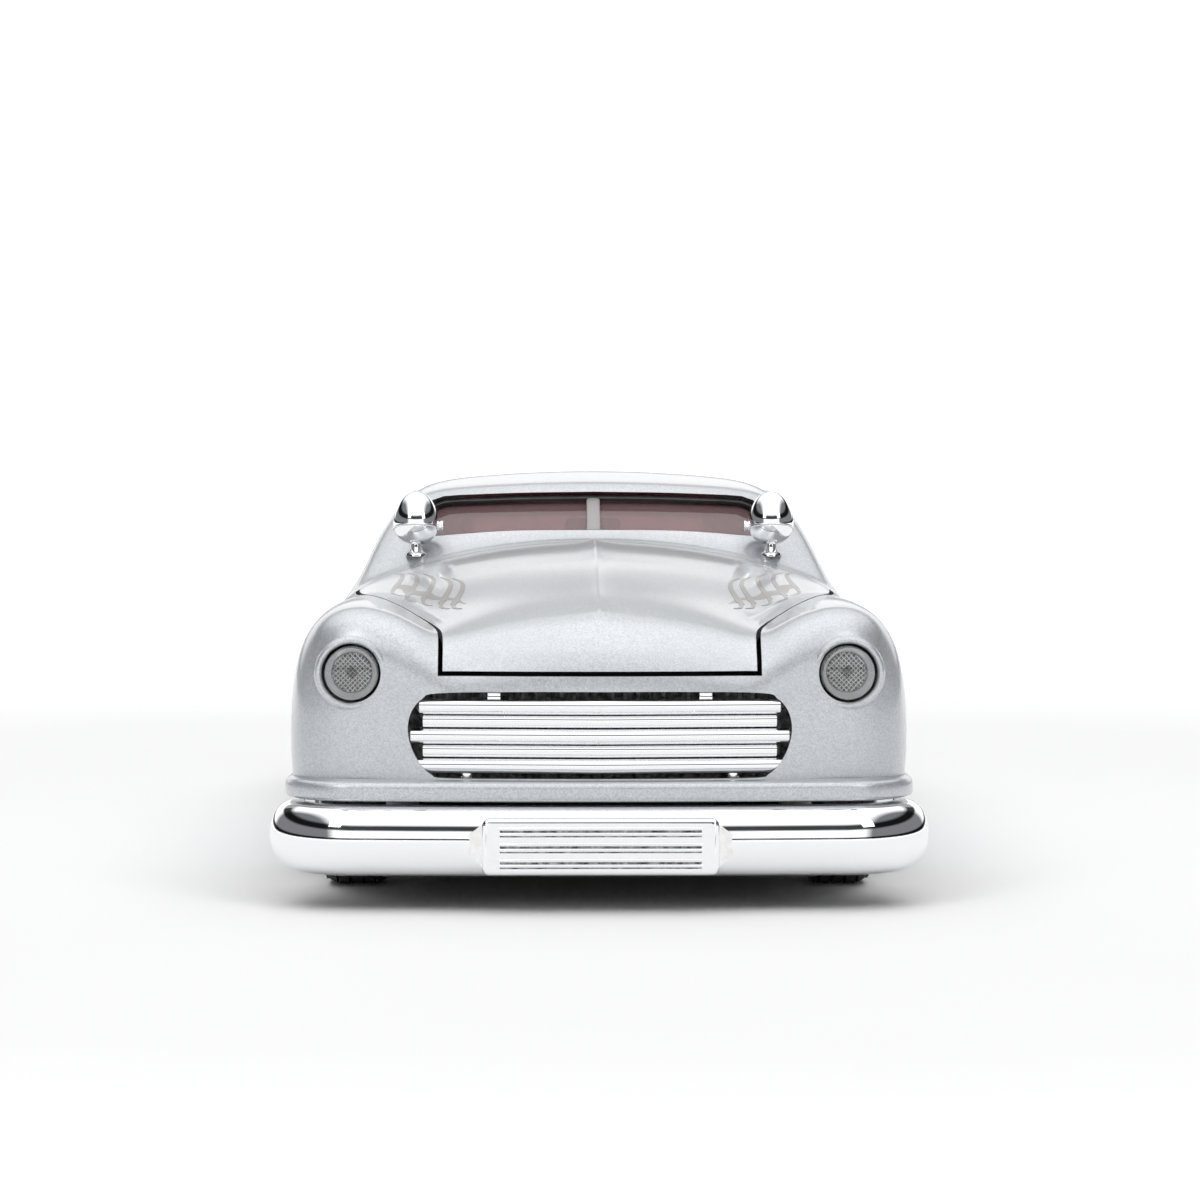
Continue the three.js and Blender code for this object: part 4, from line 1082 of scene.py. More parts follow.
    def height(self, x: np.ndarray, y: np.ndarray) -> np.ndarray:
        """Gives the height of the skin above places in the plan.

        Args:
            x: Places across the car.
            y: Places along it.

        Returns:
            Heights in millimetres.
        """
        x, y = np.atleast_1d(np.asarray(x, float)), np.atleast_1d(np.asarray(y, float))
        x, y = np.broadcast_arrays(x, y)
        low, high = np.full(x.shape, 20.0), np.full(x.shape, self.roof_top + 3)
        for _ in range(34):
            mid = (low + high) / 2
            inside = self.depth(np.stack([x, y, mid], 1)) < 0
            low, high = np.where(inside, mid, low), np.where(inside, high, mid)
        return low

    def side(self, y: np.ndarray, z: np.ndarray) -> np.ndarray:
        """Gives how far out the skin lies at places on the car's side.

        Args:
            y: Places along the car.
            z: Heights.

        Returns:
            Distances from the middle.
        """
        y, z = np.broadcast_arrays(np.atleast_1d(np.asarray(y, float)), np.atleast_1d(np.asarray(z, float)))
        low, high = np.full(y.shape, 8.0), np.full(y.shape, self.half + 3)
        for _ in range(34):
            mid = (low + high) / 2
            inside = self.depth(np.stack([mid, y, z], 1)) < 0
            low, high = np.where(inside, mid, low), np.where(inside, high, mid)
        return low

    def front(self, x: np.ndarray, z: np.ndarray, start: float, end: float) -> np.ndarray:
        """Gives how far forward the skin lies at places seen from the front.

        Args:
            x: Places across the car.
            z: Heights.
            start: A place along the car in front of the skin.
            end: A place along the car behind it.

        Returns:
            Places along the car.
        """
        x, z = np.broadcast_arrays(np.atleast_1d(np.asarray(x, float)), np.atleast_1d(np.asarray(z, float)))
        low, high = np.full(x.shape, start), np.full(x.shape, end)
        for _ in range(34):
            mid = (low + high) / 2
            inside = self.depth(np.stack([x, mid, z], 1)) < 0
            low, high = np.where(inside, low, mid), np.where(inside, mid, high)
        return high

    def skin(self, depth: float, floor: bool, cells: tuple[int, int, int]) -> tuple[np.ndarray, list[list[int]]]:
        """Casts a closed skin from a rounded core.

        Args:
            depth: How far under the outer form it lies.
            floor: As for depth().
            cells: Lattice cells across, along and up.

        Returns:
            Points and faces, seen from outside.
        """
        na, nb, nc = cells
        shell = np.zeros((na + 1, nb + 1, nc + 1), bool)
        for cut in (np.s_[0], np.s_[-1], np.s_[:, 0], np.s_[:, -1], np.s_[:, :, 0], np.s_[:, :, -1]):
            shell[cut] = True
        where = np.argwhere(shell)
        number = np.full(shell.shape, -1)
        number[shell] = np.arange(len(where))
        s = 2 * where / np.array(cells) - 1
        s[:, 0] = np.sign(s[:, 0]) * np.abs(s[:, 0]) ** self.crowding
        share = 0.3
        core = np.clip(s / (1 - share), -1, 1)
        fan = np.sign(s) * np.maximum(np.abs(s) - 1 + share, 0) / share
        y = core[:, 1] * (self.tail - 14)
        rise = (core[:, 2] + 1) / 2
        half = (self.half - 9) * (1 - rise) + self.core_half(y) * rise
        z = (self.lower_edge(y) + 5) * (1 - rise) + 24 * rise
        origin = np.stack([core[:, 0] * half, y, z], 1)
        ray = fan / np.linalg.norm(fan, axis=1, keepdims=True)
        near = np.zeros(len(where))
        open_rays = np.ones(len(where), bool)
        for t in np.arange(60, 0, -1.5):
            live = np.flatnonzero(open_rays)
            inside = self.depth(origin[live] + ray[live] * t, floor) < -depth
            near[live[inside]] = t
            open_rays[live[inside]] = False
        far = near + 1.5
        for _ in range(18):
            mid = (near + far) / 2
            inside = self.depth(origin + ray * mid[:, None], floor) < -depth
            near, far = np.where(inside, mid, near), np.where(inside, far, mid)
        points = origin + ray * near[:, None]
        faces: list[np.ndarray] = []

        def quads(grid: np.ndarray, flip: bool) -> None:
            """Adds a sheet of the lattice."""
            a, b, c, d = grid[:-1, :-1], grid[1:, :-1], grid[1:, 1:], grid[:-1, 1:]
            ring = (a, d, c, b) if flip else (a, b, c, d)
            faces.append(np.stack([r.ravel() for r in ring], 1))

        quads(number[:, :, -1], False)
        quads(number[:, :, 0], True)
        quads(number[-1, :, :], False)
        quads(number[0, :, :], True)
        quads(number[:, 0, :], False)
        quads(number[:, -1, :], True)
        return points, np.vstack(faces).tolist()


# ---------------------------------------------------------------- the castings
class Skin(Enum):
    """Kinds of face on a casting, in the order of its material slots."""

    OUTER = 0
    INNER = 1
    CUT = 2


RIM_SLOT = len(Skin)


@dataclass
class Castings:
    """The body shell, hood, trunk lid and doors, all cut from one fine skin."""

    form: BodyForm
    finishes: Finishes
    cells: tuple[int, int, int] = (128, 280, 56)
    inner_cells: tuple[int, int, int] = (56, 110, 26)
    ring_mm: float = 0.95
    arch_drop: float = 4.6

    def solid(self, points: np.ndarray, faces: Sequence[Sequence[int]], kind: Skin) -> bpy.types.Object:
        """Makes a loose object for cutting.

        Args:
            points: Corners in millimetres.
            faces: Its faces.
            kind: Kind that its faces get.

        Returns:
            The object, not yet linked to the frame.
        """
        mesh = bpy.data.meshes.new("cutting")
        mesh.from_pydata((np.asarray(points) * MM).tolist(), [], [list(f) for f in faces])
        # Cut walls take the dark grey edge finish, a painted shade for the gaps.
        for material in (self.finishes.paint, self.finishes.inside, self.finishes.edge):
            mesh.materials.append(material)
        mesh.polygons.foreach_set("material_index", [kind.value] * len(mesh.polygons))
        made = bpy.data.objects.new("cutting", mesh)
        bpy.context.scene.collection.objects.link(made)
        return made

    def from_shape(self, shape: Shape, kind: Skin = Skin.CUT) -> bpy.types.Object:
        """Makes a loose object for cutting from a shape."""
        return self.solid(np.array(shape.points), shape.faces, kind)

    def cut(self, target: bpy.types.Object, tool: bpy.types.Object, how: str, keep: bool = False) -> bpy.types.Object:
        """Cuts, joins or intersects.

        Args:
            target: Object that changes.
            tool: Object to do it with.
            how: DIFFERENCE, UNION or INTERSECT.
            keep: True to leave the target as it is and give a new object.

        Returns:
            The changed or new object.
        """
        modifier = target.modifiers.new("cut", "BOOLEAN")
        modifier.solver, modifier.operation, modifier.object = "MANIFOLD", how, tool
        graph = bpy.context.evaluated_depsgraph_get()
        graph.update()
        mesh = bpy.data.meshes.new_from_object(target.evaluated_get(graph))
        target.modifiers.remove(modifier)
        if keep:
            made = bpy.data.objects.new("cutting", mesh)
            bpy.context.scene.collection.objects.link(made)
            return made
        target.data = mesh
        return target

    def drop(self, *tools: bpy.types.Object) -> None:
        """Removes loose objects."""
        for tool in tools:
            bpy.data.objects.remove(tool)

    def hood_region(self, margin: float) -> Shape:
        """Gives the hood's plan, pushed up through the skin."""
        f, m, n = self.form, margin, self.form.nose
        edge = [
            (20 + m, n - 12), (20 + m, n + 8), (21.4 + m, n + 16), (24 + m, n + 22), (27.4 + m, n + 30),
            (f.ridge - 1.4 + m, n + 42), (f.ridge + 0.6 + m, n + 54), (f.ridge + 1.4 + m, f.cowl + m)
        ]
        line = smooth_line(edge, 6)
        corner = [(f.ridge + 1.4 + m - 0.5, f.cowl + m)]
        half = np.vstack([line[:-1], [(f.ridge + 1.4 + m, f.cowl + m - 0.6)], corner])
        outline = np.vstack([half, half[::-1] * (-1, 1)])
        return Shape().prism(outline, Axis.Z, 29.2 - m, f.roof_top, self.finishes.edge)

    def trunk_region(self, margin: float) -> Shape:
        """Gives the trunk lid's plan, pushed up through the skin."""
        f, m = self.form, margin
        front, half = f.deck + 4, 22.0
        edge = [
            (half - 4 + m, front - m), (half - 1.6 + m, front + 0.5 - m), (half - 0.4 + m, front + 2.4 - m),
            (half + m, front + 6), (half + m, f.tail + 12)
        ]
        outline = np.vstack([edge, np.array(edge)[::-1] * (-1, 1)])
        return Shape().prism(outline, Axis.Z, 18.5 - m, f.roof_top, self.finishes.edge)

    def door_region(self, margin: float) -> Shape:
        """Gives the driver's door as seen from the side, pushed through the wall."""
        f, m = self.form, margin
        outline = rounded_outline(f.cowl + 11 - m, f.cowl + 57 + m, 8.2 - m, f.belt_z + m, 2)
        return Shape().prism(outline, Axis.X, 30.5, f.half + 4, self.finishes.edge)

    def window_region(self, start: float, end: float, lean: float) -> Shape:
        """Gives a side window, pushed right through the cabin."""
        outline = [(start, 40.0), (end, 40.0), (end - lean, 48.8), (start + (1 if lean else 9.5), 48.8)]
        return Shape().prism(
            cut_corners(outline, 3, 0.12), Axis.X, -self.form.half, self.form.half, self.finishes.edge
        )

    def screen_region(self, margin: float) -> Shape:
        """Gives the windshield opening as seen from the front."""
        f, m = self.form, margin
        top = f.roof_top
        half = smooth_line([(0, 45.3 - m), (12, 45.15 - m), (23 + m, 44.3 - m)], 6).tolist()
        half += [
            (24.6 + m, 44.9 - m / 2), (25 + m, 46), (24.4 + m, 48), (23.2 + m, 49.3 + m / 2),
            (21.5 + m, top - 3.3 + m / 2)
        ]
        half += smooth_line(
            [(19 + m, top - 3.1 + m / 2), (10, top - 2.75 + m / 2), (0, top - 2.6 + m / 2)], 6
        ).tolist()
        right = np.array(half)
        outline = np.vstack([right, right[-2:0:-1] * (-1, 1)])
        return Shape().prism(outline[:, ::-1], Axis.Y, f.glass_base - 8, f.glass_base + 22, self.finishes.edge)

    def back_region(self, margin: float) -> Shape:
        """Gives the rear window opening as seen from above."""
        f, m = self.form, margin
        outline = rounded_outline(-19 - m, 19 + m, f.deck - 21 - m, f.deck - 5 + m, 5)
        return Shape().prism(outline, Axis.Z, 37, f.roof_top, self.finishes.edge)

    def grille_region(self) -> Shape:
        """Gives the grille opening as seen from the front."""
        half = [
            (0, 16.2), (10, 16.2), (19.4, 16.25), (21.0, 16.7), (22.3, 17.9), (23.3, 19.6), (23.85, 21.5),
            (23.85, 23.2), (23.3, 24.8), (22.1, 26.1), (20.2, 26.8), (10, 27), (0, 27)
        ]
        right = smooth_line(half, 5)
        outline = np.vstack([right, right[-2:0:-1] * (-1, 1)])
        return Shape().prism(outline[:, ::-1], Axis.Y, self.form.nose - 10, self.form.nose + 8, self.finishes.edge)

    def shade(self, piece: bpy.types.Object) -> None:
        """Gives the painted faces the form's own smooth normals, and leaves cut walls flat.

        Args:
            piece: A finished casting.
        """
        mesh = piece.data
        count = len(mesh.loops)
        corners = np.empty(count, np.int32)
        mesh.loops.foreach_get("vertex_index", corners)
        places = np.empty(len(mesh.vertices) * 3, np.float32)
        mesh.vertices.foreach_get("co", places)
        points = places.reshape(-1, 3).astype(float) / MM
        totals = np.empty(len(mesh.polygons), np.int32)
        mesh.polygons.foreach_get("loop_total", totals)
        kinds = np.empty(len(mesh.polygons), np.int32)
        mesh.polygons.foreach_get("material_index", kinds)
        flat = np.empty(len(mesh.polygons) * 3, np.float32)
        mesh.polygons.foreach_get("normal", flat)
        kind = np.repeat(kinds, totals)
        normals = np.repeat(flat.reshape(-1, 3), totals, 0).astype(float)
        outer = self.form.normal(points, True)[corners]
        inner = -self.form.normal(points, False)[corners]
        agree_out = (outer * normals).sum(1) > 0.6
        agree_in = (inner * normals).sum(1) > 0.6
        normals = np.where(((kind == Skin.OUTER.value) & agree_out)[:, None], outer, normals)
        normals = np.where(((kind == Skin.INNER.value) & agree_in)[:, None], inner, normals)
        mesh.polygons.foreach_set("use_smooth", [True] * len(mesh.polygons))
        mesh.normals_split_custom_set(normals.tolist())
        mesh.update()

    def biggest(self, piece: bpy.types.Object) -> bpy.types.Object:
        """Keeps the largest connected part of a casting and drops the crumbs of the cuts."""
        mesh = bmesh.new()
        mesh.from_mesh(piece.data)
        seen: set[int] = set()
        groups: list[list[bmesh.types.BMVert]] = []
        mesh.verts.ensure_lookup_table()
        for start in mesh.verts:
            if start.index in seen:
                continue
            seen.add(start.index)
            group, queue = [start], [start]
            while queue:
                vert = queue.pop()
                for edge in vert.link_edges:
                    other = edge.other_vert(vert)
                    if other.index not in seen:
                        seen.add(other.index)
                        group.append(other)
                        queue.append(other)
            groups.append(group)
        groups.sort(key=len)
        crumbs = [v for g in groups[:-1] for v in g]
        bmesh.ops.delete(mesh, geom=crumbs, context="VERTS")
        mesh.to_mesh(piece.data)
        mesh.free()
        return piece

    def build(self) -> None:
        """Casts the skin and cuts every opening and panel."""
        f, fin = self.form, self.finishes
        outer = self.solid(*f.skin(0.0, True, self.cells), Skin.OUTER)
        inner = self.solid(*f.skin(f.wall, False, self.inner_cells), Skin.INNER)
        shell = self.cut(outer, inner, "DIFFERENCE")
        panels = {}
        for name, region in (
            ("hood", self.hood_region), ("trunk_lid", self.trunk_region), ("door_left", self.door_region)
        ):
            tool = self.from_shape(region(-f.gap / 2))
            panels[name] = self.cut(shell, tool, "INTERSECT", keep=True)
            self.drop(tool)
        other = self.from_shape(self.door_region(-f.gap / 2).mirrored())
        panels["door_right"] = self.cut(shell, other, "INTERSECT", keep=True)
        door = self.door_region(f.gap / 2)
        pillar = f.cowl + 56
        cuts = [
            self.hood_region(f.gap / 2), self.trunk_region(f.gap / 2), door, door.mirrored(), self.screen_region(0),
            self.back_region(0)
        ]
        cuts += [
            self.window_region(f.cowl + 15, pillar, 0), self.window_region(pillar + 3.4, pillar + 18.4, 6),
            self.grille_region()
        ]
        lamp, tail = middle("headlight_lens_left"), middle("taillight_lens_left")
        bore = 3.7
        for side in (-1, 1):
            for axle in (f.front_axle, f.rear_axle):
                cuts.append(
                    Shape().rod(
                        15.6, 16, Axis.X, (side * (f.half - 2), axle, f.axle_z - self.arch_drop), fin.edge, 0.05, 72
                    )
                )
            cuts.append(Shape().rod(bore, 16, Axis.Y, (side * lamp[0], f.nose + 4, lamp[2]), fin.edge, 0.05, 64))
            cuts.append(Shape().rod(2.6, 12, Axis.Y, (side * tail[0], f.tail - 4, tail[2]), fin.edge, 0.05, 48))
        for region in cuts:
            tool = self.from_shape(region)
            self.cut(shell, tool, "DIFFERENCE")
            self.drop(tool)
        for side in (-1, 1):
            profile = [
                (bore, 7), (bore, 0.35), (bore + 0.08, 0.14), (bore + 0.25, 0.0), (bore + 0.55, 0.0),
                (bore + self.ring_mm - 0.15, 0.2), (bore + self.ring_mm, 0.6), (bore + self.ring_mm, 7)
            ]
            ring = Shape().turned(profile, Axis.Y, (side * lamp[0], f.nose + 3, lamp[2]), fin.paint, 72)
            tool = self.from_shape(ring, Skin.CUT)
            tool.data.polygons.foreach_set("material_index", [RIM_SLOT] * len(tool.data.polygons))
            tool.data.materials.append(fin.paint)
            if len(shell.data.materials) <= RIM_SLOT:
                shell.data.materials.append(fin.paint)
            self.cut(shell, tool, "UNION")
            self.drop(tool)
        self.drop(inner, other)
        shell.name = "body_shell_skin"
        panels["body_shell"] = shell
        bodies = {
            "hood": Body.HOOD, "trunk_lid": Body.TRUNK, "door_left": Body.DOOR_LEFT, "door_right": Body.DOOR_RIGHT,
            "body_shell": Body.SHELL
        }
        for name, piece in panels.items():
            self.biggest(piece)
            self.shade(piece)
            piece.name = name + "_skin"
            settle(piece, bodies[name], Slot.PAINT, name)
        self.build_lip()
        self.build_posts()

    def build_lip(self) -> None:
        """Adds the painted ledge above the front bumper."""
        f = self.form
        half, corner, at = f.half + 0.3, 10.0, f.nose - 2.0
        back = f.front_axle - 15.7
        path = [(half, back), (half, (back + at + 11.2) / 2)]
        for i in range(13):
            turn = math.pi / 2 * (1 - i / 12)
            path.append((half - corner * (1 - math.sin(turn)), at + 1.2 + corner * (1 - math.cos(turn))))
        path += [(half * k, at + 1.2 - 1.2 * (1 - ((k - 0.02) / 0.72) ** 2)) for k in (0.6, 0.45, 0.3, 0.15)]
        path += [(0, at)]
        right = np.array(path)
        whole = np.vstack([right, right[-2::-1] * (-1, 1)])
        line = np.column_stack([whole, np.zeros(len(whole))])
        section = [
            (-3.4, 13.5), (-0.6, 13.5), (-0.25, 13.62), (-0.06, 13.9), (0, 14.3), (0, 15), (-0.08, 15.4),
            (-0.3, 15.75), (-0.7, 15.93), (-1.2, 16), (-3.4, 16.1)
        ]
        shape = Shape().swept(line, np.array(section), self.finishes.paint)
        shape.place("front_ledge", Body.SHELL, Slot.PAINT, crease=50)

    def build_posts(self) -> None:
        """Adds the screw posts that hold the chassis."""
        f, fin = self.form, self.finishes
        shape = Shape()
        for y, top in ((f.front_axle - 17.3, 32.8), (f.rear_axle + 19.3, 30.4)):
            for side in (-1, 1):
                profile = [(1.15, 6.85), (2.1, 6.85), (2.1, 20), (2.5, top), (1.15, top)]
                shape.turned(profile, Axis.Z, (side * 25, y, 0), fin.inside, 28)
        shape.place("screw_posts", Body.SHELL, Slot.PAINT)


@dataclass
class Flames:
    """Pale ghost flames on the hood's shoulders, laid just over the paint."""

    form: BodyForm
    finishes: Finishes
    lift_mm: float = 0.02
    roots: tuple[float, ...] = (26.9, 24.7, 22.5, 20.4, 18.4)
    root_half: float = 0.58
    rear_limit: float = -40.0
    upper: tuple[tuple[float, float], ...] = (
        (0.3, -1.6), (0.0, 1.0), (-0.45, 4.0), (-0.6, 7.5), (-0.15, 11.0), (1.0, 14.5)
    )
    lower: tuple[tuple[float, float], ...] = (
        (0.1, 1.2), (0.2, -1.0), (0.6, -3.5), (0.5, -6.0), (-0.3, -8.5), (-1.2, -10.0)
    )

    def ribbon(self, line: np.ndarray, widths: np.ndarray, layer: int, shape: Shape, side: int) -> None:
        """Lays one tapered tongue on the skin.

        Args:
            line: Its middle in the plan.
            widths: Half width at each point.
            layer: Its place in the pile.
            shape: Shape that it joins.
            side: 1 for the driver's side, -1 for the other.
        """
        ahead = np.gradient(line, axis=0)
        ahead /= np.linalg.norm(ahead, axis=1, keepdims=True)
        out = np.stack([-ahead[:, 1], ahead[:, 0]], 1)
        rows = np.linspace(-1, 1, 5)
        plan = (line[:, None] + out[:, None] * widths[:, None, None] * rows[None, :, None]).reshape(-1, 2)
        z = self.form.height(plan[:, 0], plan[:, 1])
        skin = np.column_stack([plan, z])
        normal = self.form.normal(skin)
        top = skin + normal * (self.lift_mm + 0.004 * layer)
        low = skin - normal * 0.03
        points = np.vstack([top, low]) * (side, 1, 1)
        count, width, size = len(line), len(rows), len(plan)
        faces = []
        for i in range(count - 1):
            for j in range(width - 1):
                a, b, c, d = i * width + j, i * width + j + 1, (i + 1) * width + j + 1, (i + 1) * width + j
                faces += [[a, d, c, b], [size + a, size + b, size + c, size + d]]
        rim = [i * width for i in range(count)] + [(count - 1) * width + j for j in range(1, width)]
        rim += [i * width + width - 1 for i in range(count - 2, -1, -1)] + list(range(width - 2, 0, -1))
        for a, b in zip(rim, rim[1:] + rim[:1]):
            faces.append([a, b, size + b, size + a])
        if side < 0:
            faces = [f[::-1] for f in faces]
        shape.add(points, faces, self.finishes.flame)

    def build(self) -> None:
        """Builds the flames of both shoulders."""
        for name, side in (("left", 1), ("right", -1)):
            shape = Shape()
            spine = smooth_line(
                [(27.2, -50.5), (26.2, -54.5), (24.6, -59.5), (22.4, -65.0), (19.6, -71.0), (16.8, -77.5)], 6
            )
            places = np.linspace(0, 1, len(spine))
            wave = 0.3 * np.sin(places * 6.5 * np.pi)
            spine = spine + np.column_stack([wave, wave * 0.3])
            self.ribbon(spine, 0.8 * np.sin(np.pi * places**0.8) ** 0.7 * (1 - 0.45 * places) + 0.02, 0, shape, side)
            for index, across in enumerate(self.roots):
                at = spine[int(np.argmin(np.abs(spine[:, 0] - across)))]
                reach = min(1.0, (self.rear_limit - at[1]) / self.upper[-1][1])
                for way, (steps, size) in enumerate(((self.upper, reach), (self.lower, 0.85 - 0.05 * index))):
                    line = smooth_line([at + np.array(step) * size for step in steps], 8)
                    u = np.linspace(0, 1, len(line))
                    widths = self.root_half * (1.0 if way == 0 else 0.7) * (1 - u) ** 0.75 + 0.012
                    self.ribbon(line, widths, 1 + index * 2 + way, shape, side)
            shape.place("ghost_flame_" + name, Body.HOOD, Slot.PAINT, crease=60)


# ---------------------------------------------------------------- bright work
@dataclass
class Bumper:
    """A plump bumper bar with a ribbed plate in its middle."""

    finishes: Finishes
    depth_mm: float = 4.2
    corner_mm: float = 12.0
    plate_half: float = 15.2

    def bar(self, shape: Shape, half: float, face: float, low: float, high: float, back: float) -> None:
        """Sweeps the bar round the nose with closed, rounded ends.

        Args:
            shape: Shape that it joins.
            half: Widest place.
            face: Foremost place.
            low: Its underside.
            high: Its top.
            back: Where its ends stop.
        """
        r = self.corner_mm
        right = [(half, back), (half, back - 0.5), (half, back - 1.2), (half, back - 2.2), (half, back - 3.6)]
        for i in range(21):
            turn = math.pi / 2 * (1 - i / 20)
            right.append((half - r * (1 - math.sin(turn)), face + 1.2 + r * (1 - math.cos(turn))))
        for k in np.linspace(0.94, 0.0, 16):
            x = k * (half - r)
            right.append((x, face + 1.2 * (x / (half - r)) ** 2))
        line = np.array(right)
        whole = np.vstack([line, line[-2::-1] * (-1, 1)])
        path = np.column_stack([whole, np.full(len(whole), (low + high) / 2)])
        tall = (high - low) / 2
        turns = np.linspace(-np.pi / 2, np.pi / 2, 23)
        front = [(-self.depth_mm + self.depth_mm * np.cos(a) ** 0.62, tall * np.sin(a)) for a in turns]
        base = np.array(front + [(-self.depth_mm, tall - 0.4), (-self.depth_mm, -tall + 0.4)])
        ends = {0: 0.35, 1: 0.72, 2: 0.9, 3: 0.98}
        sections = []
        for i in range(len(path)):
            k = ends.get(min(i, len(path) - 1 - i), 1.0)
            sections.append(base * (1, k) - (0.9 * (1 - k), 0))
        shape.swept(path, np.array(sections), self.finishes.chrome)

    def plate(self, shape: Shape, face: float, low: float, high: float) -> None:
        """Adds the ribbed plate with its bevelled flanks, and near-black strips along its ridges as painted shade.

        Args:
            shape: Shape that it joins.
            face: Foremost place of the bar.
            low: Bar's underside.
            high: Bar's top.
        """
        fin, half = self.finishes, self.plate_half
        mid, tall = (low + high) / 2 - 0.35, (high - low) / 2 - 0.9
        outline = rounded_outline(-half + 0.6, half - 0.6, mid - tall, mid + tall, 0.9)
        shape.prism(outline[:, ::-1], Axis.Y, face - 0.85, face + 3, fin.chrome, 0.45)
        flat = rounded_outline(-half + 1.15, half - 1.15, mid - tall + 0.55, mid + tall - 0.55, 0.6)
        shape.prism(flat[:, ::-1], Axis.Y, face - 0.88, face, fin.chrome)
        for side in (-1, 1):
            inner, outer = side * (half - 1.1), side * (half + 1.5)
            points = [
                (inner, face - 0.45, mid - tall + 0.5), (outer, face + 0.6, mid - 0.6),
                (outer, face + 0.6, mid + 1.2), (inner, face - 0.45, mid + tall - 0.5),
                (inner, face + 2.6, mid - tall + 0.5), (outer, face + 2.6, mid - 0.6), (outer, face + 2.6, mid + 1.2),
                (inner, face + 2.6, mid + tall - 0.5),
            ]
            faces = [[0, 3, 2, 1], [4, 5, 6, 7], [0, 1, 5, 4], [1, 2, 6, 5], [2, 3, 7, 6], [3, 0, 4, 7]]
            shape.add(np.array(points), faces if side < 0 else [f[::-1] for f in faces], fin.chrome)
        for row in (-1, 0, 1):
            for pair in (-1, 1):
                z = mid + row * 1.95 + pair * 0.34
                shape.rod(0.22, 2 * half - 5.4, Axis.X, (0, face - 0.9, z), fin.chrome, 0.11, 14)
            # Painted shade: thin near-black strips between and under each ridge pair stand in for the dark
            # reflections along the ridges.
            for drop, tall_half in ((0.0, 0.11), (-0.63, 0.07)):
                z = mid + row * 1.95 + drop
                shape.box(
                    (-half + 2.8, face - 0.92, z - tall_half), (half - 2.8, face - 0.6, z + tall_half), fin.shade_black,
                    0.02, 1
                )

    def build(self) -> None:
        """Builds both bumpers; the rear one is the front one turned round."""
        for node, sign in (("front_bumper", 1), ("rear_bumper", -1)):
            low, high = millimetres(node)
            face = low[1] + 0.9 if sign > 0 else -high[1] + 0.9
            shape = Shape()
            self.bar(shape, high[0], face, low[2], high[2], face + 17)
            self.plate(shape, face, low[2], high[2])
            for x in (-16, 16):
                shape.box((x - 2, face + 2.8, 7.4), (x + 2, face + 9.4, 10.6), self.finishes.black, 0.4)
                shape.rod(0.9, 1.2, Axis.Y, (x, face + 9.2, 9), self.finishes.steel)
            if sign < 0:
                shape.points = [[-x, -y, z] for x, y, z in shape.points]
            shape.place(node + "_bar", Body.SHELL, Slot.CHROME, node, crease=38)


@dataclass
class Grille:
    """Round bars over flat ones, bent to a prow, with small posts above and below."""

    finishes: Finishes
    form: BodyForm
    halves: tuple[float, float, float] = (22.9, 23.5, 22.4)
    pitch_mm: float = 3.7
    bar_r: float = 0.95
    end_share: float = 0.25

    def path(self, half: float, front: float) -> np.ndarray:
        """Gives a bar's line, straight on each side of the prow."""
        xs = np.concatenate([np.linspace(-half, -0.5, 14), [0.0], np.linspace(0.5, half, 14)])
        y = front - 1.25 + 1.9 * np.sqrt((xs / 23) ** 2 + 0.0004) ** 1.15
        return np.column_stack([xs, y])

    def rounded_ends(self, base: np.ndarray, count: int) -> np.ndarray:
        """Gives a section for each point of a bar, closing to a round end."""
        out = np.repeat(base[None], count, 0)
        out[0] *= self.end_share
        out[-1] *= self.end_share
        return out

    def build(self) -> None:
        """Builds the bars, the posts and the near-black panel behind them, a painted shade for the grille recess."""
        fin = self.finishes
        low, high = millimetres("grille")
        mid, front = (low[2] + high[2]) / 2 - 0.2, low[1] + 1.9
        shape = Shape()
        turns = np.linspace(0, 2 * np.pi, 20, endpoint=False)
        ring = np.stack([np.cos(turns), np.sin(turns)], 1)
        for row, half in zip((-1, 0, 1), self.halves):
            flat = self.path(half, front)
            ends = self.path(half + 0.55, front)
            line = np.vstack([ends[:1], flat, ends[-1:]])
            path = np.column_stack([line, np.full(len(line), mid + row * self.pitch_mm)])
            shape.swept(path, self.rounded_ends(ring * self.bar_r, len(path)), fin.chrome)
        slab = np.array(
            [
                (0.9, -0.98), (0.9, 0.98), (0.1, 1.0), (-0.5, 0.72), (-0.72, 0.3), (-0.72, -0.3), (-0.5, -0.72),
                (0.1, -1.0)
            ]
        )
        for row in (-0.5, 0.5):
            line = self.path(22.0, front + 0.55)
            path = np.column_stack([line, np.full(len(line), mid + row * self.pitch_mm)])
            shape.swept(path, slab * (1.0, 0.95), fin.chrome)
        for side in (-1, 1):
            z0, z1 = mid + self.pitch_mm, high[2] + 0.35
            shape.box((side * 13.2 - 0.85, front + 0.2, z0), (side * 13.2 + 0.85, front + 1.6, z1), fin.chrome, 0.2)
            shape.rod(0.75, 2.2, Axis.Z, (side * 16.6, front + 0.6, low[2] + 0.2), fin.chrome, 0.2)
        shape.place("grille_bars", Body.SHELL, Slot.CHROME, "grille", crease=40)
        # Painted shade: a near-black slatted panel behind the bars stands in for the shaded recess of the grille
        # opening.
        back = Shape().box((-25.5, self.form.nose + 6.2, 15.6), (25.5, self.form.nose + 6.9, 28.2), fin.shade_black, 0.2)
        for x in np.arange(-24, 24.1, 1.6):
            back.box(
                (x - 0.25, self.form.nose + 5.9, 16.2), (x + 0.25, self.form.nose + 6.3, 27.6), fin.shade_black, 0.05, 1
            )
        back.place("grille_backing", Body.SHELL, Slot.BLACK)


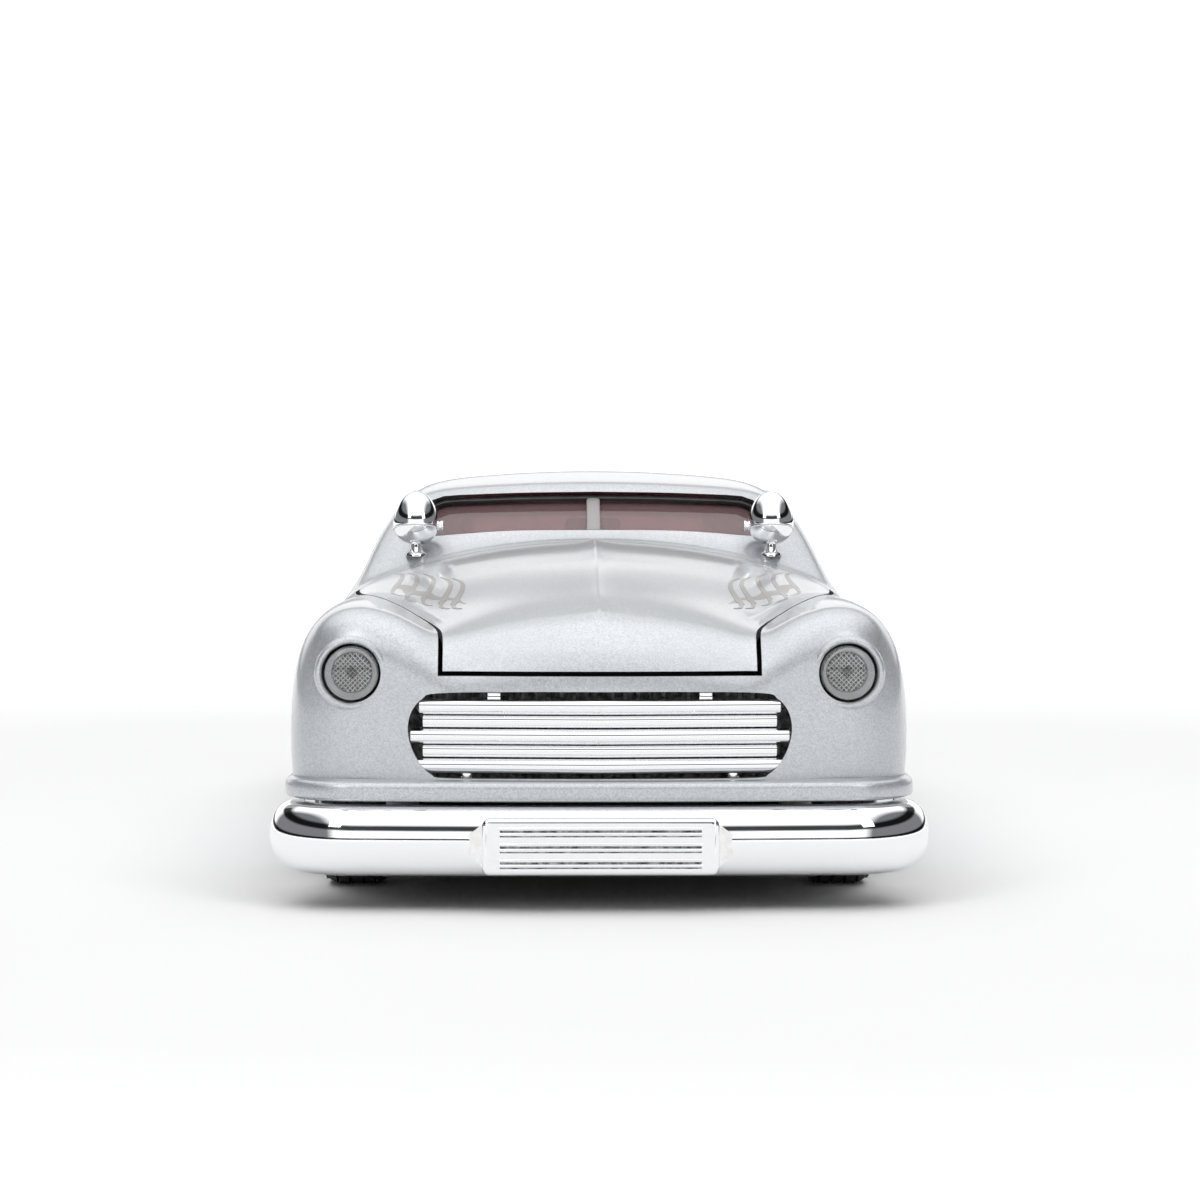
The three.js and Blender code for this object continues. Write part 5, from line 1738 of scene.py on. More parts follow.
@dataclass
class Lamps:
    """Headlights with a netted reflector under a clear lens, and round taillights."""

    finishes: Finishes
    net_r: float = 2.3

    def head(self) -> None:
        """Builds the headlights: a netted bowl, a pale step round it and a domed lens."""
        low, high = millimetres("headlight_lens_left")
        plate_low, plate_high = millimetres("headlight_reflector_left")
        centre, r, fin = middle("headlight_lens_left"), (high[0] - low[0]) / 2, self.finishes
        mouth, net = plate_low[1], self.net_r
        bowl = Shape()
        dish = [
            (0, mouth + 0.55), (0.3 * net, mouth + 0.5), (0.6 * net, mouth + 0.35), (0.85 * net, mouth + 0.12),
            (net, mouth), (net, plate_high[1]), (0, plate_high[1])
        ]
        bowl.turned(dish, Axis.Y, (0, 0, 0), fin.mesh, 64)
        bowl.turned(
            [(0, mouth + 0.3), (0.82, mouth + 0.32), (0.86, mouth + 0.6), (0, mouth + 0.62)], Axis.Y, (0, 0, 0),
            fin.core, 4
        )
        step = [
            (net + 0.02, mouth - 0.02), (net + 0.12, mouth - 0.35), (net + 0.3, mouth - 0.42),
            (r - 0.02, mouth - 0.42), (r, mouth - 0.3), (r, plate_high[1]), (net + 0.02, plate_high[1])
        ]
        bowl.turned(step, Axis.Y, (0, 0, 0), fin.frost, 64)
        lens = Shape()
        front = [
            (0, low[1] + 0.35), (0.3 * r, low[1] + 0.37), (0.55 * r, low[1] + 0.44), (0.75 * r, low[1] + 0.56),
            (0.88 * r, low[1] + 0.72), (0.96 * r, low[1] + 0.95), (r, low[1] + 1.3)
        ]
        back = [(r, high[1] - 0.75), (0.9 * r, high[1] - 0.8), (0.6 * r, high[1] - 1.05), (0, high[1] - 1.25)]
        lens.turned(front + back, Axis.Y, (0, 0, 0), fin.lens, 64)
        for name, shape, slot, node in (
            ("headlight_bowl", bowl, Slot.CHROME, "headlight_reflector"),
            ("headlight_glass", lens, Slot.CLEAR, "headlight_lens")
        ):
            shape.points = [[x + centre[0], y, z + centre[2]] for x, y, z in shape.points]
            for side, made in (("left", shape), ("right", shape.mirrored())):
                made.place(f"{name}_{side}", Body.SHELL, slot, f"{node}_{side}", crease=50)

    def tail(self) -> None:
        """Builds the taillights."""
        low, high = millimetres("taillight_lens_left")
        plate_low, plate_high = millimetres("taillight_bezel_left")
        centre, r = middle("taillight_lens_left"), (high[0] - low[0]) / 2
        lens = Shape()
        dome = [(0, high[1])]
        for k in range(1, 8):
            u = k / 8
            ripple = 0.07 if k % 2 else 0.0
            dome.append((r * u, low[1] + 1.5 + (high[1] - low[1] - 1.5) * math.sqrt(1 - u * u) - ripple))
        dome += [(r, low[1] + 1.4), (r, low[1]), (0, low[1])]
        lens.turned(dome[::-1], Axis.Y, (centre[0], 0, centre[2]), self.finishes.red_lens, 56)
        bezel = Shape()
        bezel.turned(
            [
                (0, plate_low[1]), (r, plate_low[1]), (r, plate_high[1] - 0.1), (0.8 * r, plate_high[1]),
                (0.3 * r, plate_high[1] - 0.5), (0, plate_high[1] - 0.6)
            ],
            Axis.Y, (centre[0], 0, centre[2]), self.finishes.reflector, 48
        )
        ring = [
            (r + 0.05, low[1] + 0.6), (r + 0.55, low[1] + 0.6), (r + 0.6, low[1] + 1.5), (r + 0.35, low[1] + 1.95),
            (r + 0.1, low[1] + 1.8)
        ]
        bezel.turned(ring, Axis.Y, (centre[0], 0, centre[2]), self.finishes.chrome, 56)
        for side, glass, plate in (("left", lens, bezel), ("right", lens.mirrored(), bezel.mirrored())):
            glass.place(f"taillight_dome_{side}", Body.SHELL, Slot.RED, f"taillight_lens_{side}", crease=60)
            plate.place(f"taillight_ring_{side}", Body.SHELL, Slot.CHROME, f"taillight_bezel_{side}")

    def build(self) -> None:
        """Builds every lamp set into the body."""
        self.head()
        self.tail()


@dataclass
class Spotlights:
    """Dummy spotlights: bright eggs, tipped back, with a cone and a knob inboard."""

    finishes: Finishes
    form: BodyForm
    egg_r: float = 3.22

    def build(self) -> None:
        """Builds both spotlights."""
        r = self.egg_r
        low, high = millimetres("spotlight_left")
        centre = np.array([high[0] - r, (low[1] + high[1]) / 2 + 0.2, high[2] - 1.28 * r])
        chrome = self.finishes.chrome
        profile = [(0.0, -1.02 * r)]
        for k in range(1, 24):
            a = math.pi * k / 24
            z = -math.cos(a)
            wide = math.sin(a) ** 0.86 * (1 - 0.17 * z)
            profile.append((r * wide * 0.985, r * (z * 1.17 + 0.15)))
        profile.append((0.0, 1.33 * r))
        tip = Matrix.Rotation(math.radians(-14), 4, "X")
        egg = Shape()
        egg.turned(profile, Axis.Z, (0, 0, 0), chrome, 48)
        seam = [
            (r * 1.0, -0.16), (r * 1.028, -0.1), (r * 1.028, 0.1), (r * 1.0, 0.16), (r * 0.94, 0.16),
            (r * 0.94, -0.16)
        ]
        egg.turned(seam, Axis.Z, (0, 0, -0.34 * r), chrome, 48)
        cone = [
            (0.0, -0.2), (r * 0.8, -0.2), (r * 0.74, 0.25), (r * 0.5, 0.75), (r * 0.3, 1.25), (r * 0.2, 1.75),
            (r * 0.19, 2.0), (r * 0.24, 2.15), (r * 0.24, 2.45), (r * 0.14, 2.62), (0.0, 2.66)
        ]
        inboard = Shape().turned(cone, Axis.X, (0, 0, 0), chrome, 32)
        egg.add(
            np.array([[-p[0] - r * 0.42, p[1] + 0.4, p[2] - 0.2 * r] for p in inboard.points]),
            [f[::-1] for f in inboard.faces], chrome
        )
        egg.rod(r * 0.22, 2.2, Axis.Z, (0, 0.6, -r - 0.3), chrome, 0.1)
        turned = (np.array(egg.points) @ np.array(tip.to_3x3()).T) + centre
        egg.points = turned.tolist()
        foot_x, foot_y = centre[0], centre[1] + 0.2
        ground = float(self.form.height(foot_x, foot_y)[0])
        egg.turned(
            [
                (0, ground - 0.25), (1.55, ground - 0.25), (1.5, ground + 0.15), (1.0, ground + 0.45),
                (0.75, ground + 1.1), (0, ground + 1.2)
            ],
            Axis.Z, (foot_x, foot_y, 0), chrome, 32
        )
        egg.place("spotlight_egg_left", Body.SHELL, Slot.CHROME, "spotlight_left", crease=60)
        egg.mirrored().place("spotlight_egg_right", Body.SHELL, Slot.CHROME, "spotlight_right", crease=60)


@dataclass
class Glazing:
    """Smoked panes that follow the body, with black seals and a divider in the middle of the windshield."""

    finishes: Finishes
    form: BodyForm
    thick_mm: float = 0.9
    under_mm: float = 1.75

    def pane(self, spots: np.ndarray, shape: Shape, across: int) -> None:
        """Adds a pane from a grid of places on the outer skin.

        Args:
            spots: Rows of points on the skin.
            shape: Shape that it joins.
            across: Points in each row.
        """
        normal = self.form.normal(spots)
        top = spots - normal * self.under_mm
        low = spots - normal * (self.under_mm + self.thick_mm)
        shape.sheet(top, low, across, self.finishes.glass)

    def seal(
        self, outline: np.ndarray, shape: Shape, loop: bool, half: float, material: bpy.types.Material,
        sink: float = 1.1, tall: float = 0.55
    ) -> None:
        """Runs a flat bead along places on the skin.

        Args:
            outline: Points on the skin.
            shape: Shape that it joins.
            loop: True where the line closes on itself.
            half: Half its width.
            material: Its finish.
            sink: How far under the skin it lies.
            tall: Half its thickness.
        """
        normal = self.form.normal(outline)
        line = outline - normal * sink
        ahead = np.roll(line, -1, 0) - np.roll(line, 1, 0)
        if not loop:
            ahead[0], ahead[-1] = line[1] - line[0], line[-1] - line[-2]
        ahead /= np.linalg.norm(ahead, axis=1, keepdims=True)
        out = np.cross(ahead, normal)
        out /= np.linalg.norm(out, axis=1, keepdims=True)
        turns = np.linspace(0, 2 * np.pi, 12, endpoint=False)
        ring = np.stack(
            [
                half * np.sign(np.cos(turns)) * np.abs(np.cos(turns)) ** 0.6,
                tall * np.sign(np.sin(turns)) * np.abs(np.sin(turns)) ** 0.6
            ],
            1
        )
        size, count = len(ring), len(line)
        points = line[:, None] + out[:, None] * ring[None, :, :1] + normal[:, None] * ring[None, :, 1:]
        faces = [f[1:] + f[:1] for f in tube_faces(size, count, loop)]
        if not loop:
            faces += end_faces(size, count)
        shape.add(points.reshape(-1, 3), faces, material)

    def on_screen(self, x: np.ndarray, z: np.ndarray) -> np.ndarray:
        """Gives places on the windshield plane as seen from the front."""
        return np.stack([x, self.form.front(x, z, self.form.glass_base - 6, self.form.glass_base + 24), z], 1)

    def build(self) -> None:
        """Builds the windshield, the rear window, their seals and the divider."""
        f, fin = self.form, self.finishes
        cast = Castings(f, fin)
        xs, rows = np.linspace(-26.0, 26.0, 65), []
        for k in np.linspace(0, 1, 13):
            low = 44.4 - 0.7 * (np.abs(xs) / 26) ** 2.0
            high = np.where(np.abs(xs) < 23.0, 50.95, 50.95 - 2.6 * (np.abs(xs) - 23.0) / 3)
            rows.append(self.on_screen(xs, low * (1 - k) + high * k))
        shape = Shape()
        self.pane(np.vstack(rows), shape, len(xs))
        shape.place("windshield_pane", Body.SHELL, Slot.CLEAR, "windshield_glass", crease=70)
        seal = Shape()
        edge = np.array(cast.screen_region(0).points)
        ring = edge[: len(edge) // 2]
        self.seal(self.on_screen(ring[:, 0], ring[:, 2]), seal, True, 0.5, fin.gloss_black, 1.05, 0.35)
        z = np.linspace(44.9, 50.8, 14)
        self.seal(self.on_screen(np.zeros(14), z), seal, False, 0.95, fin.divider, 1.15, 0.35)
        seal.place("windshield_seal", Body.SHELL, Slot.BLACK)
        back_xs, rows = np.linspace(-20.2, 20.2, 41), []
        for y in np.linspace(f.deck - 22.2, f.deck - 3.8, 17):
            rows.append(np.stack([back_xs, np.full(41, y), f.height(back_xs, np.full(41, y))], 1))
        rear = Shape()
        self.pane(np.vstack(rows)[::-1], rear, 41)
        rear.place("rear_pane", Body.SHELL, Slot.CLEAR, "rear_window_glass", crease=70)
        line = rounded_outline(-19, 19, f.deck - 21, f.deck - 5, 5)
        spots = np.column_stack([line, f.height(line[:, 0], line[:, 1])])
        gasket = Shape()
        self.seal(spots, gasket, True, 0.5, fin.gloss_black, 1.05, 0.35)
        gasket.place("rear_seal", Body.SHELL, Slot.BLACK)
        for name, side in (("left", 1), ("right", -1)):
            trim = Shape()
            for start, end, lean in ((f.cowl + 15, f.cowl + 56, 0), (f.cowl + 59.4, f.cowl + 74.4, 6)):
                outline = cut_corners(
                    [(start, 40.0), (end, 40.0), (end - lean, 48.8), (start + (1 if lean else 9.5), 48.8)], 3, 0.12
                )
                x = f.side(outline[:, 0], outline[:, 1])
                self.seal(np.column_stack([x, outline]), trim, True, 0.32, fin.gloss_black, 0.5, 0.3)
            rail_y = np.linspace(f.cowl + 20, f.cowl + 76, 40)
            rail_z = 50.0 - 0.0018 * (rail_y - f.cowl - 40) ** 2
            rail = np.column_stack([f.side(rail_y, rail_z), rail_y, rail_z])
            self.seal(rail, trim, False, 0.35, fin.paint, -0.02, 0.28)
            trim = trim if side > 0 else trim.mirrored()
            trim.place(f"window_trim_{name}", Body.SHELL, Slot.BLACK)


# ---------------------------------------------------------------- running gear
@dataclass
class Wheels:
    """Treaded tyres with a pale band, dished wheels with a bullet hubcap, and their axles."""

    finishes: Finishes
    ribs: int = 72
    rim_r: float = 9.0

    def tyre(self, radius: float, half: float) -> Shape:
        """Builds a tyre about X, its outer face on +X.

        Args:
            radius: Outer radius.
            half: Half its width.

        Returns:
            The tyre.
        """
        fin, shape, r0 = self.finishes, Shape(), self.rim_r + 0.12
        tall = radius - r0
        steps = 4 * self.ribs
        outline = [
            (r0, -half + 0.9), (r0 + 0.12 * tall, -half + 0.3), (r0 + 0.4 * tall, -half + 0.02),
            (r0 + 0.7 * tall, -half + 0.3), (r0 + 0.9 * tall, -half + 1.0)
        ]
        grooves = [-2.6, -2.3, -1.0, -0.7, 0.7, 1.0, 2.3, 2.6]
        tread = []
        for k, place in enumerate(grooves):
            tread += [
                (radius - (0.02 if k % 2 == 0 else 0.42), place - 0.05),
                (radius - (0.42 if k % 2 == 0 else 0.02), place + 0.05)
            ]
        other = [(r, -h) for r, h in outline][::-1]
        profile = outline + [(radius - 0.12, -half + 1.55)] + tread + [(radius - 0.12, half - 1.55)] + other
        profile += [(r0, half - 1.3), (r0 - 0.02, 0.0)]
        angles = 2 * np.pi * np.arange(steps) / steps
        rows = np.array(profile)
        points, faces, count = [], [], len(rows)
        for i, a in enumerate(angles):
            notch = 0.28 if i % 4 in (0, 1) else 0.0
            for r, h in rows:
                edge = notch if r > radius - 0.35 and abs(h) > 2.65 else 0.0
                cut = (r - edge)
                points.append((h, cut * math.cos(a), cut * math.sin(a)))
        for i in range(steps):
            n = (i + 1) % steps
            for j in range(count):
                k = (j + 1) % count
                faces.append([i * count + j, n * count + j, n * count + k, i * count + k])
        shape.add(np.array(points), [f[::-1] for f in faces], fin.rubber)
        band = [
            (r0 + 0.16 * tall, half - 0.36), (r0 + 0.2 * tall, half - 0.02), (r0 + 0.42 * tall, half + 0.1),
            (r0 + 0.64 * tall, half - 0.1), (r0 + 0.7 * tall, half - 0.42)
        ]
        shape.turned(band, Axis.X, (0, 0, 0), fin.sidewall, 96)
        for radius_at in (0.78, 0.84):
            r = r0 + radius_at * tall
            shape.turned(
                [(r - 0.1, half - 0.75), (r - 0.06, half - 0.42), (r + 0.06, half - 0.46), (r + 0.1, half - 0.85)],
                Axis.X, (0, 0, 0), fin.rubber, 96
            )
        return shape

    def disc(self, half: float) -> Shape:
        """Builds a wheel about X with its hubcap on +X."""
        fin, shape, b = self.finishes, Shape(), self.rim_r - 0.25
        rim = [
            (1.4, -half + 1.2), (3.2, -half + 1.0), (3.2, 0.0), (b - 1, 0.0), (b - 1, -half + 1), (b, -half + 1),
            (b, half - 1.3), (b + 0.12, half - 0.9), (b - 0.05, half - 0.45), (b - 0.35, half - 0.3),
            (b - 0.65, half - 0.5), (b - 0.85, half - 1.0), (b - 1.3, 1.5), (b - 2.2, 0.9), (5.2, 1.5), (1.4, 1.5)
        ]
        shape.turned(rim, Axis.X, (0, 0, 0), fin.chrome, 80)
        cap = [
            (0, 1.2), (5.0, 1.2), (5.1, 1.75), (4.85, 2.15), (4.3, 2.3), (3.9, 2.05), (3.5, 2.05), (3.1, 2.45),
            (2.5, 2.95), (1.9, 3.15), (1.55, 3.2), (1.45, 3.55), (1.1, 3.85), (0.55, 4.05), (0, 4.1)
        ]
        shape.turned(cap, Axis.X, (0, 0, 0), fin.chrome, 64)
        for k in range(16):
            a = 2 * math.pi * k / 16
            shape.rod(0.42, 0.5, Axis.X, (1.1, 6.4 * math.cos(a), 6.4 * math.sin(a)), fin.black, 0.08, 16)
        for k in range(5):
            a = 2 * math.pi * k / 5
            shape.rod(0.34, 0.7, Axis.X, (2.25, 3.5 * math.cos(a), 3.5 * math.sin(a)), fin.chrome, 0.12, 6)
        a = math.radians(200)
        shape.rod(0.16, 1.2, Axis.X, (1.7, 7.3 * math.cos(a), 7.3 * math.sin(a)), fin.black, 0.05, 10)
        return shape

    def build(self) -> None:
        """Builds four wheels and two axles."""
        for end, body in (("front", Body.FRONT_WHEELS), ("rear", Body.REAR_WHEELS)):
            for side, sign in (("left", 1), ("right", -1)):
                node = f"tyre_{end}_{side}"
                low, high = millimetres(node)
                centre = (low + high) / 2
                radius, half = (high[2] - low[2]) / 2, (high[0] - low[0]) / 2
                for kind, made, slot in (
                    ("tyre", self.tyre(radius, half), Slot.RUBBER), ("wheel", self.disc(half), Slot.CHROME)
                ):
                    made = made if sign > 0 else made.mirrored()
                    made.points = (np.array(made.points) + centre).tolist()
                    label = "tread" if kind == "tyre" else "disc"
                    made.place(f"{kind}_{label}_{end}_{side}", body, slot, f"{kind}_{end}_{side}")
            low, high = millimetres(f"axle_{end}")
            centre, reach = (low + high) / 2, high[0] - 0.2
            r = (high[2] - low[2]) / 2
            axle = Shape().turned(
                [(0, -reach), (r - 0.2, -reach), (r, -reach + 0.3), (r, reach - 0.3), (r - 0.2, reach), (0, reach)],
                Axis.X, centre, self.finishes.steel, 32
            )
            for x in (-16, 16):
                axle.turned(
                    [(r - 0.02, x - 0.5), (r + 0.12, x - 0.4), (r + 0.12, x + 0.4), (r - 0.02, x + 0.5)], Axis.X,
                    centre, self.finishes.steel, 24
                )
            axle.place(f"axle_rod_{end}", body, Slot.STEEL, f"axle_{end}")


@dataclass
class Chassis:
    """The black pan with its rails, cradles and ribs, the screws and the exhaust pipes."""

    finishes: Finishes
    form: BodyForm

    def pan(self) -> None:
        """Builds the pan."""
        fin, f = self.finishes, self.form
        low, high = millimetres("chassis_pan")
        z0, z1, bay, arch = 4.95, 6.45, 22.9, 15.2
        front, rear = low[1], high[1]
        a, b = f.front_axle, f.rear_axle
        right = [
            (0, front), (24, front), (29, front + 5), (29, a - arch), (bay, a - arch + 0.4), (bay, a + arch - 0.4),
            (33.6, a + arch), (34, a + arch + 1.5), (34, b - arch - 1.5), (33.6, b - arch), (bay, b - arch + 0.4),
            (bay, b + arch - 0.4), (29, b + arch), (29, rear - 5), (24, rear), (0, rear)
        ]
        outline = np.vstack([right, np.array(right)[-2:0:-1] * (-1, 1)])
        shape = Shape().prism(outline, Axis.Z, z0, z1, fin.black, 0.3)
        shape.box((-9, -9, 3.7), (9, 9, z0 + 0.2), fin.black, 0.35)
        for side in (-1, 1):
            shape.box((side * 20 - 1.6, a + arch + 2, 4.1), (side * 20 + 1.6, b - arch - 2, z0 + 0.3), fin.black, 0.5)
            shape.box(
                (side * 31 - 1.2, a + arch + 2.5, 4.3), (side * 31 + 1.2, b - arch - 2.5, z0 + 0.2), fin.black, 0.5
            )
            shape.box((side * 8 - 0.8, -55, 4.35), (side * 8 + 0.8, -14, z0 + 0.2), fin.black, 0.35)
            for y in (a, b):
                x = side * (bay - 3)
                for way in (-1, 1):
                    shape.box(
                        (x - 2.5, y + way * 2.35 - 1.0, z1 - 0.2), (x + 2.5, y + way * 2.35 + 1.0, 15.8), fin.black,
                        0.3
                    )
                shape.box((x - 2.5, y - 3.35, z1 - 0.2), (x + 2.5, y + 3.35, 11.7), fin.black, 0.3)
            for k in range(5):
                y = 58 + k * 8
                if y < rear - 4:
                    shape.box((side * 6, y - 0.45, 4.5), (side * 21, y + 0.45, z0 + 0.2), fin.black, 0.2)
        for y in (-50, -26, 14, 30):
            shape.box((-18.4, y - 1.1, 4.3), (18.4, y + 1.1, z0 + 0.25), fin.black, 0.4)
        for y in (front + 2.4, rear - 2.4):
            shape.box((-27.5, y - 1.6, 3.5), (27.5, y + 1.6, z0 + 0.3), fin.black, 0.6, 3)
        shape.rod(3.4, 3.2, Axis.Z, (0, -40, 5.0), fin.black, 0.8, 32)
        shape.rod(1.6, 42, Axis.Y, (0, 10, 5.2), fin.black, 0.5, 20)
        shape.rod(3.2, 2.8, Axis.Z, (0, b - 12.5, 5.1), fin.black, 0.9, 32)
        shape.box((-13, 84, 4.2), (3, 96, z0 + 0.2), fin.black, 1.0, 3)
        shape.place("chassis_floor", Body.SHELL, Slot.BLACK, "chassis_pan")

    def screws(self) -> None:
        """Builds the four cross-head screws."""
        fin = self.finishes
        for end in ("front", "rear"):
            for side in ("left", "right"):
                node = f"chassis_screw_{end}_{side}"
                low, high = millimetres(node)
                x, y, _ = (low + high) / 2
                shape = Shape()
                head = low[2]
                profile = [
                    (0, head + 0.34), (0.5, head + 0.34), (0.5, head + 0.04), (1.2, head + 0.02), (1.6, head + 0.25),
                    (1.7, head + 0.8), (0.8, head + 0.95)
                ]
                for k in range(9):
                    z = head + 1.3 + k * 0.62
                    profile += [(0.62, z), (0.8, z + 0.3)]
                profile += [(0.3, high[2]), (0, high[2])]
                shape.turned(profile, Axis.Z, (x, y, 0), fin.steel, 28)
                # Painted shade: each cross recess is a thin near-black cross on the head instead of a cut.
                for turn in (0.4, 0.4 + math.pi / 2):
                    blade = Matrix.Rotation(turn, 4, "Z")
                    shape.box(
                        (x - 0.85, y - 0.13, head + 0.0), (x + 0.85, y + 0.13, head + 0.06), fin.black, 0.02, 1, blade
                    )
                shape.place(f"screw_{end}_{side}", Body.SHELL, Slot.STEEL, node)

    def exhausts(self) -> None:
        """Builds the pipes with their silencers, straps and hollow tips."""
        fin = self.finishes
        low, high = millimetres("exhaust_pipe_left")
        x, _, z = (low + high) / 2
        r = (high[0] - low[0]) / 2
        shape = Shape()
        start, end = low[1], high[1]
        pipe = [
            (0, start), (r * 0.7, start), (r * 0.85, start + 0.4), (r * 0.85, end - 6), (r, end - 5.5),
            (r, end - 0.2), (r - 0.1, end), (r - 0.32, end), (r - 0.36, end - 2.5), (0, end - 2.5)
        ]
        shape.turned(pipe, Axis.Y, (x, 0, z), fin.chrome, 28)
        for y0, y1 in ((-22, 2), (66, 78)):
            can = [
                (r * 0.8, y0), (r * 1.0, y0 + 0.8), (r * 1.04, y0 + 1.6), (r * 1.04, y1 - 1.6), (r, y1 - 0.8),
                (r * 0.8, y1)
            ]
            shape.turned(can, Axis.Y, (x, 0, z), fin.steel, 28)
        for y in (-40, 12, 40, 88):
            shape.turned(
                [(r * 0.84, y - 0.6), (r * 1.03, y - 0.5), (r * 1.03, y + 0.5), (r * 0.84, y + 0.6)], Axis.Y,
                (x, 0, z), fin.steel, 24
            )
        for side, made in (("left", shape), ("right", shape.mirrored())):
            made.place(f"exhaust_run_{side}", Body.SHELL, Slot.CHROME, f"exhaust_pipe_{side}")

    def build(self) -> None:
        """Builds everything under the floor."""
        self.pan()
        self.screws()
        self.exhausts()


# ---------------------------------------------------------------- cabin
@dataclass
class Cabin:
    """Maroon tub, pleated benches, dashboard with dials, steering wheel, mirror and door cards."""

    finishes: Finishes
    form: BodyForm
    pleats: int = 14

    def tub(self) -> None:
        """Builds the tub, its floor and the parcel shelf."""
        fin = self.finishes
        low, high = millimetres("interior_tub")
        front, rear, half, wall, top = low[1], 35.8, high[0], 1.2, 34.0
        z0 = low[2]
        shape = Shape()
        shape.box((-half, front, z0), (half, rear, z0 + wall), fin.carpet, 0.1)
        for side in (-1, 1):
            shape.box(
                (side * (half - wall / 2) - wall / 2, front, z0), (side * (half - wall / 2) + wall / 2, rear, top),
                fin.maroon, 0.3
            )
            for k in range(12):
                y = 20.5 + k * 1.15
                if y < rear - 1.6:
                    x = side * (half - wall)
                    shape.rod(0.3, 14, Axis.Z, (x, y, 24), fin.maroon, 0.2, 12)
        shape.box((-half, front, z0), (half, front + wall, 23.4), fin.maroon, 0.3)
        shape.box((-half, rear - wall, z0), (half, rear, top), fin.maroon, 0.3)
        tunnel = [(-4, z0 + 0.5), (-2.9, z0 + 3.6), (-2.3, z0 + 4), (2.3, z0 + 4), (2.9, z0 + 3.6), (4, z0 + 0.5)]
        shape.prism([(z, x) for x, z in tunnel], Axis.Y, front + 0.6, rear - 0.6, fin.carpet, 0.2)
        shelf_half, shelf_back = 22.9, high[1]
        shape.box((-shelf_half, rear - 1, 35.0), (shelf_half, shelf_back, 36.3), fin.maroon, 0.3)
        shape.box((-shelf_half, rear - wall, 33.0), (shelf_half, rear, 36.2), fin.maroon, 0.3)
        for side in (-1, 1):
            for r in (3.0, 2.2, 1.3, 0.5):
                shape.turned(
                    [(r, 36.25), (r + 0.16, 36.42), (r + 0.32, 36.25)], Axis.Z, (side * 12, 47, 0), fin.black, 32
                )
        for k in range(5):
            shape.rod(0.2, 10, Axis.X, (0, 44 + k * 1.6, 36.3), fin.maroon, 0.1, 8)
        for x, y in ((17.5, -24.5), (14.0, -24.5), (10.4, -24.9)):
            shape.box(
                (x - 1.1, y - 1.6, 9.0), (x + 1.1, y + 0.4, 9.5), fin.black, 0.2, 2,
                Matrix.Rotation(math.radians(52), 4, "X")
            )
        shape.rod(
            0.35, 14, Axis.Z, (2.2, -17.5, 17.5), fin.chrome, 0.1, 12, Matrix.Rotation(math.radians(-12), 4, "X")
        )
        shape.turned(
            [(0, -0.75), (0.5, -0.6), (0.75, 0.0), (0.55, 0.6), (0, 0.75)], Axis.Z, (2.2, -16.0, 24.8), fin.piping, 20
        )
        shape.place("cabin_tub", Body.SHELL, Slot.MAROON, "interior_tub")

    def bench(self, node: str) -> None:
        """Builds a moulded bench with crowned pleats and pale piping.

        Args:
            node: CAD node of the bench.
        """
        fin = self.finishes
        low, high = millimetres(node)
        y, z, half = low[1], low[2], high[0]
        side = [
            (0.3, 0), (10.6, 0), (12.5, 0.6), (13.1, 7.0), (13.9, 19.4), (13.9, 21.0), (13.2, 21.9), (12.0, 21.8),
            (11.2, 20.8), (9.9, 13.0), (9.1, 8.2), (8.2, 7.3), (5.0, 7.7), (1.4, 7.35), (0.35, 6.5), (0.0, 5.0),
            (0.0, 1.2)
        ]
        outline = smooth_line(side, 4, closed=True)
        count = len(outline)
        face = ((outline[:, 1] > 6.4) & (outline[:, 0] < 10.9)).astype(float)
        columns = 8 * self.pleats
        xs = np.linspace(-half, half, columns + 1)
        grads = np.roll(outline, -1, 0) - np.roll(outline, 1, 0)
        normal = np.stack([grads[:, 1], -grads[:, 0]], 1) / np.linalg.norm(grads, axis=1, keepdims=True)
        points = []
        for x in xs:
            share = abs(x) / half
            wave = abs(math.sin(math.pi * self.pleats * (x + half) / (2 * half)))
            puff = (0.5 * wave**0.55 - 0.42) * (1 if share < 0.9 else 0.3)
            close = 0.0 if share < 0.955 else 1.0 * ((share - 0.955) / 0.045) ** 2
            ring = outline + normal * (puff * face)[:, None] - normal * close
            points.append(np.column_stack([np.full(count, x), ring[:, 0] + y, ring[:, 1] + z]))
        faces = []
        for i in range(columns):
            for j in range(count):
                k = (j + 1) % count
                faces.append([i * count + j, i * count + k, (i + 1) * count + k, (i + 1) * count + j])
        faces.append([j for j in range(count)][::-1])
        faces.append([columns * count + j for j in range(count)])
        shape = Shape().add(np.vstack(points), [f[::-1] for f in faces], fin.maroon)
        line_x = np.linspace(-half + 1.2, half - 1.2, 40)
        ring = np.stack(
            [
                np.cos(np.linspace(0, 2 * np.pi, 8, endpoint=False)),
                np.sin(np.linspace(0, 2 * np.pi, 8, endpoint=False))
            ],
            1
        ) * 0.24
        for u, v in ((11.35, 21.15), (0.55, 6.95)):
            shape.swept(np.column_stack([line_x, np.full(40, y + u), np.full(40, z + v)]), ring, fin.piping)
        for side_sign in (-1, 1):
            loop = np.array([(side_sign * (half - 0.75), y + u, z + v) for u, v in outline if v > 6.6])
            shape.swept(loop, ring, fin.piping, up=(1, 0, 0))
        shape.place(node + "_pleated", Body.SHELL, Slot.MAROON, node, crease=70)

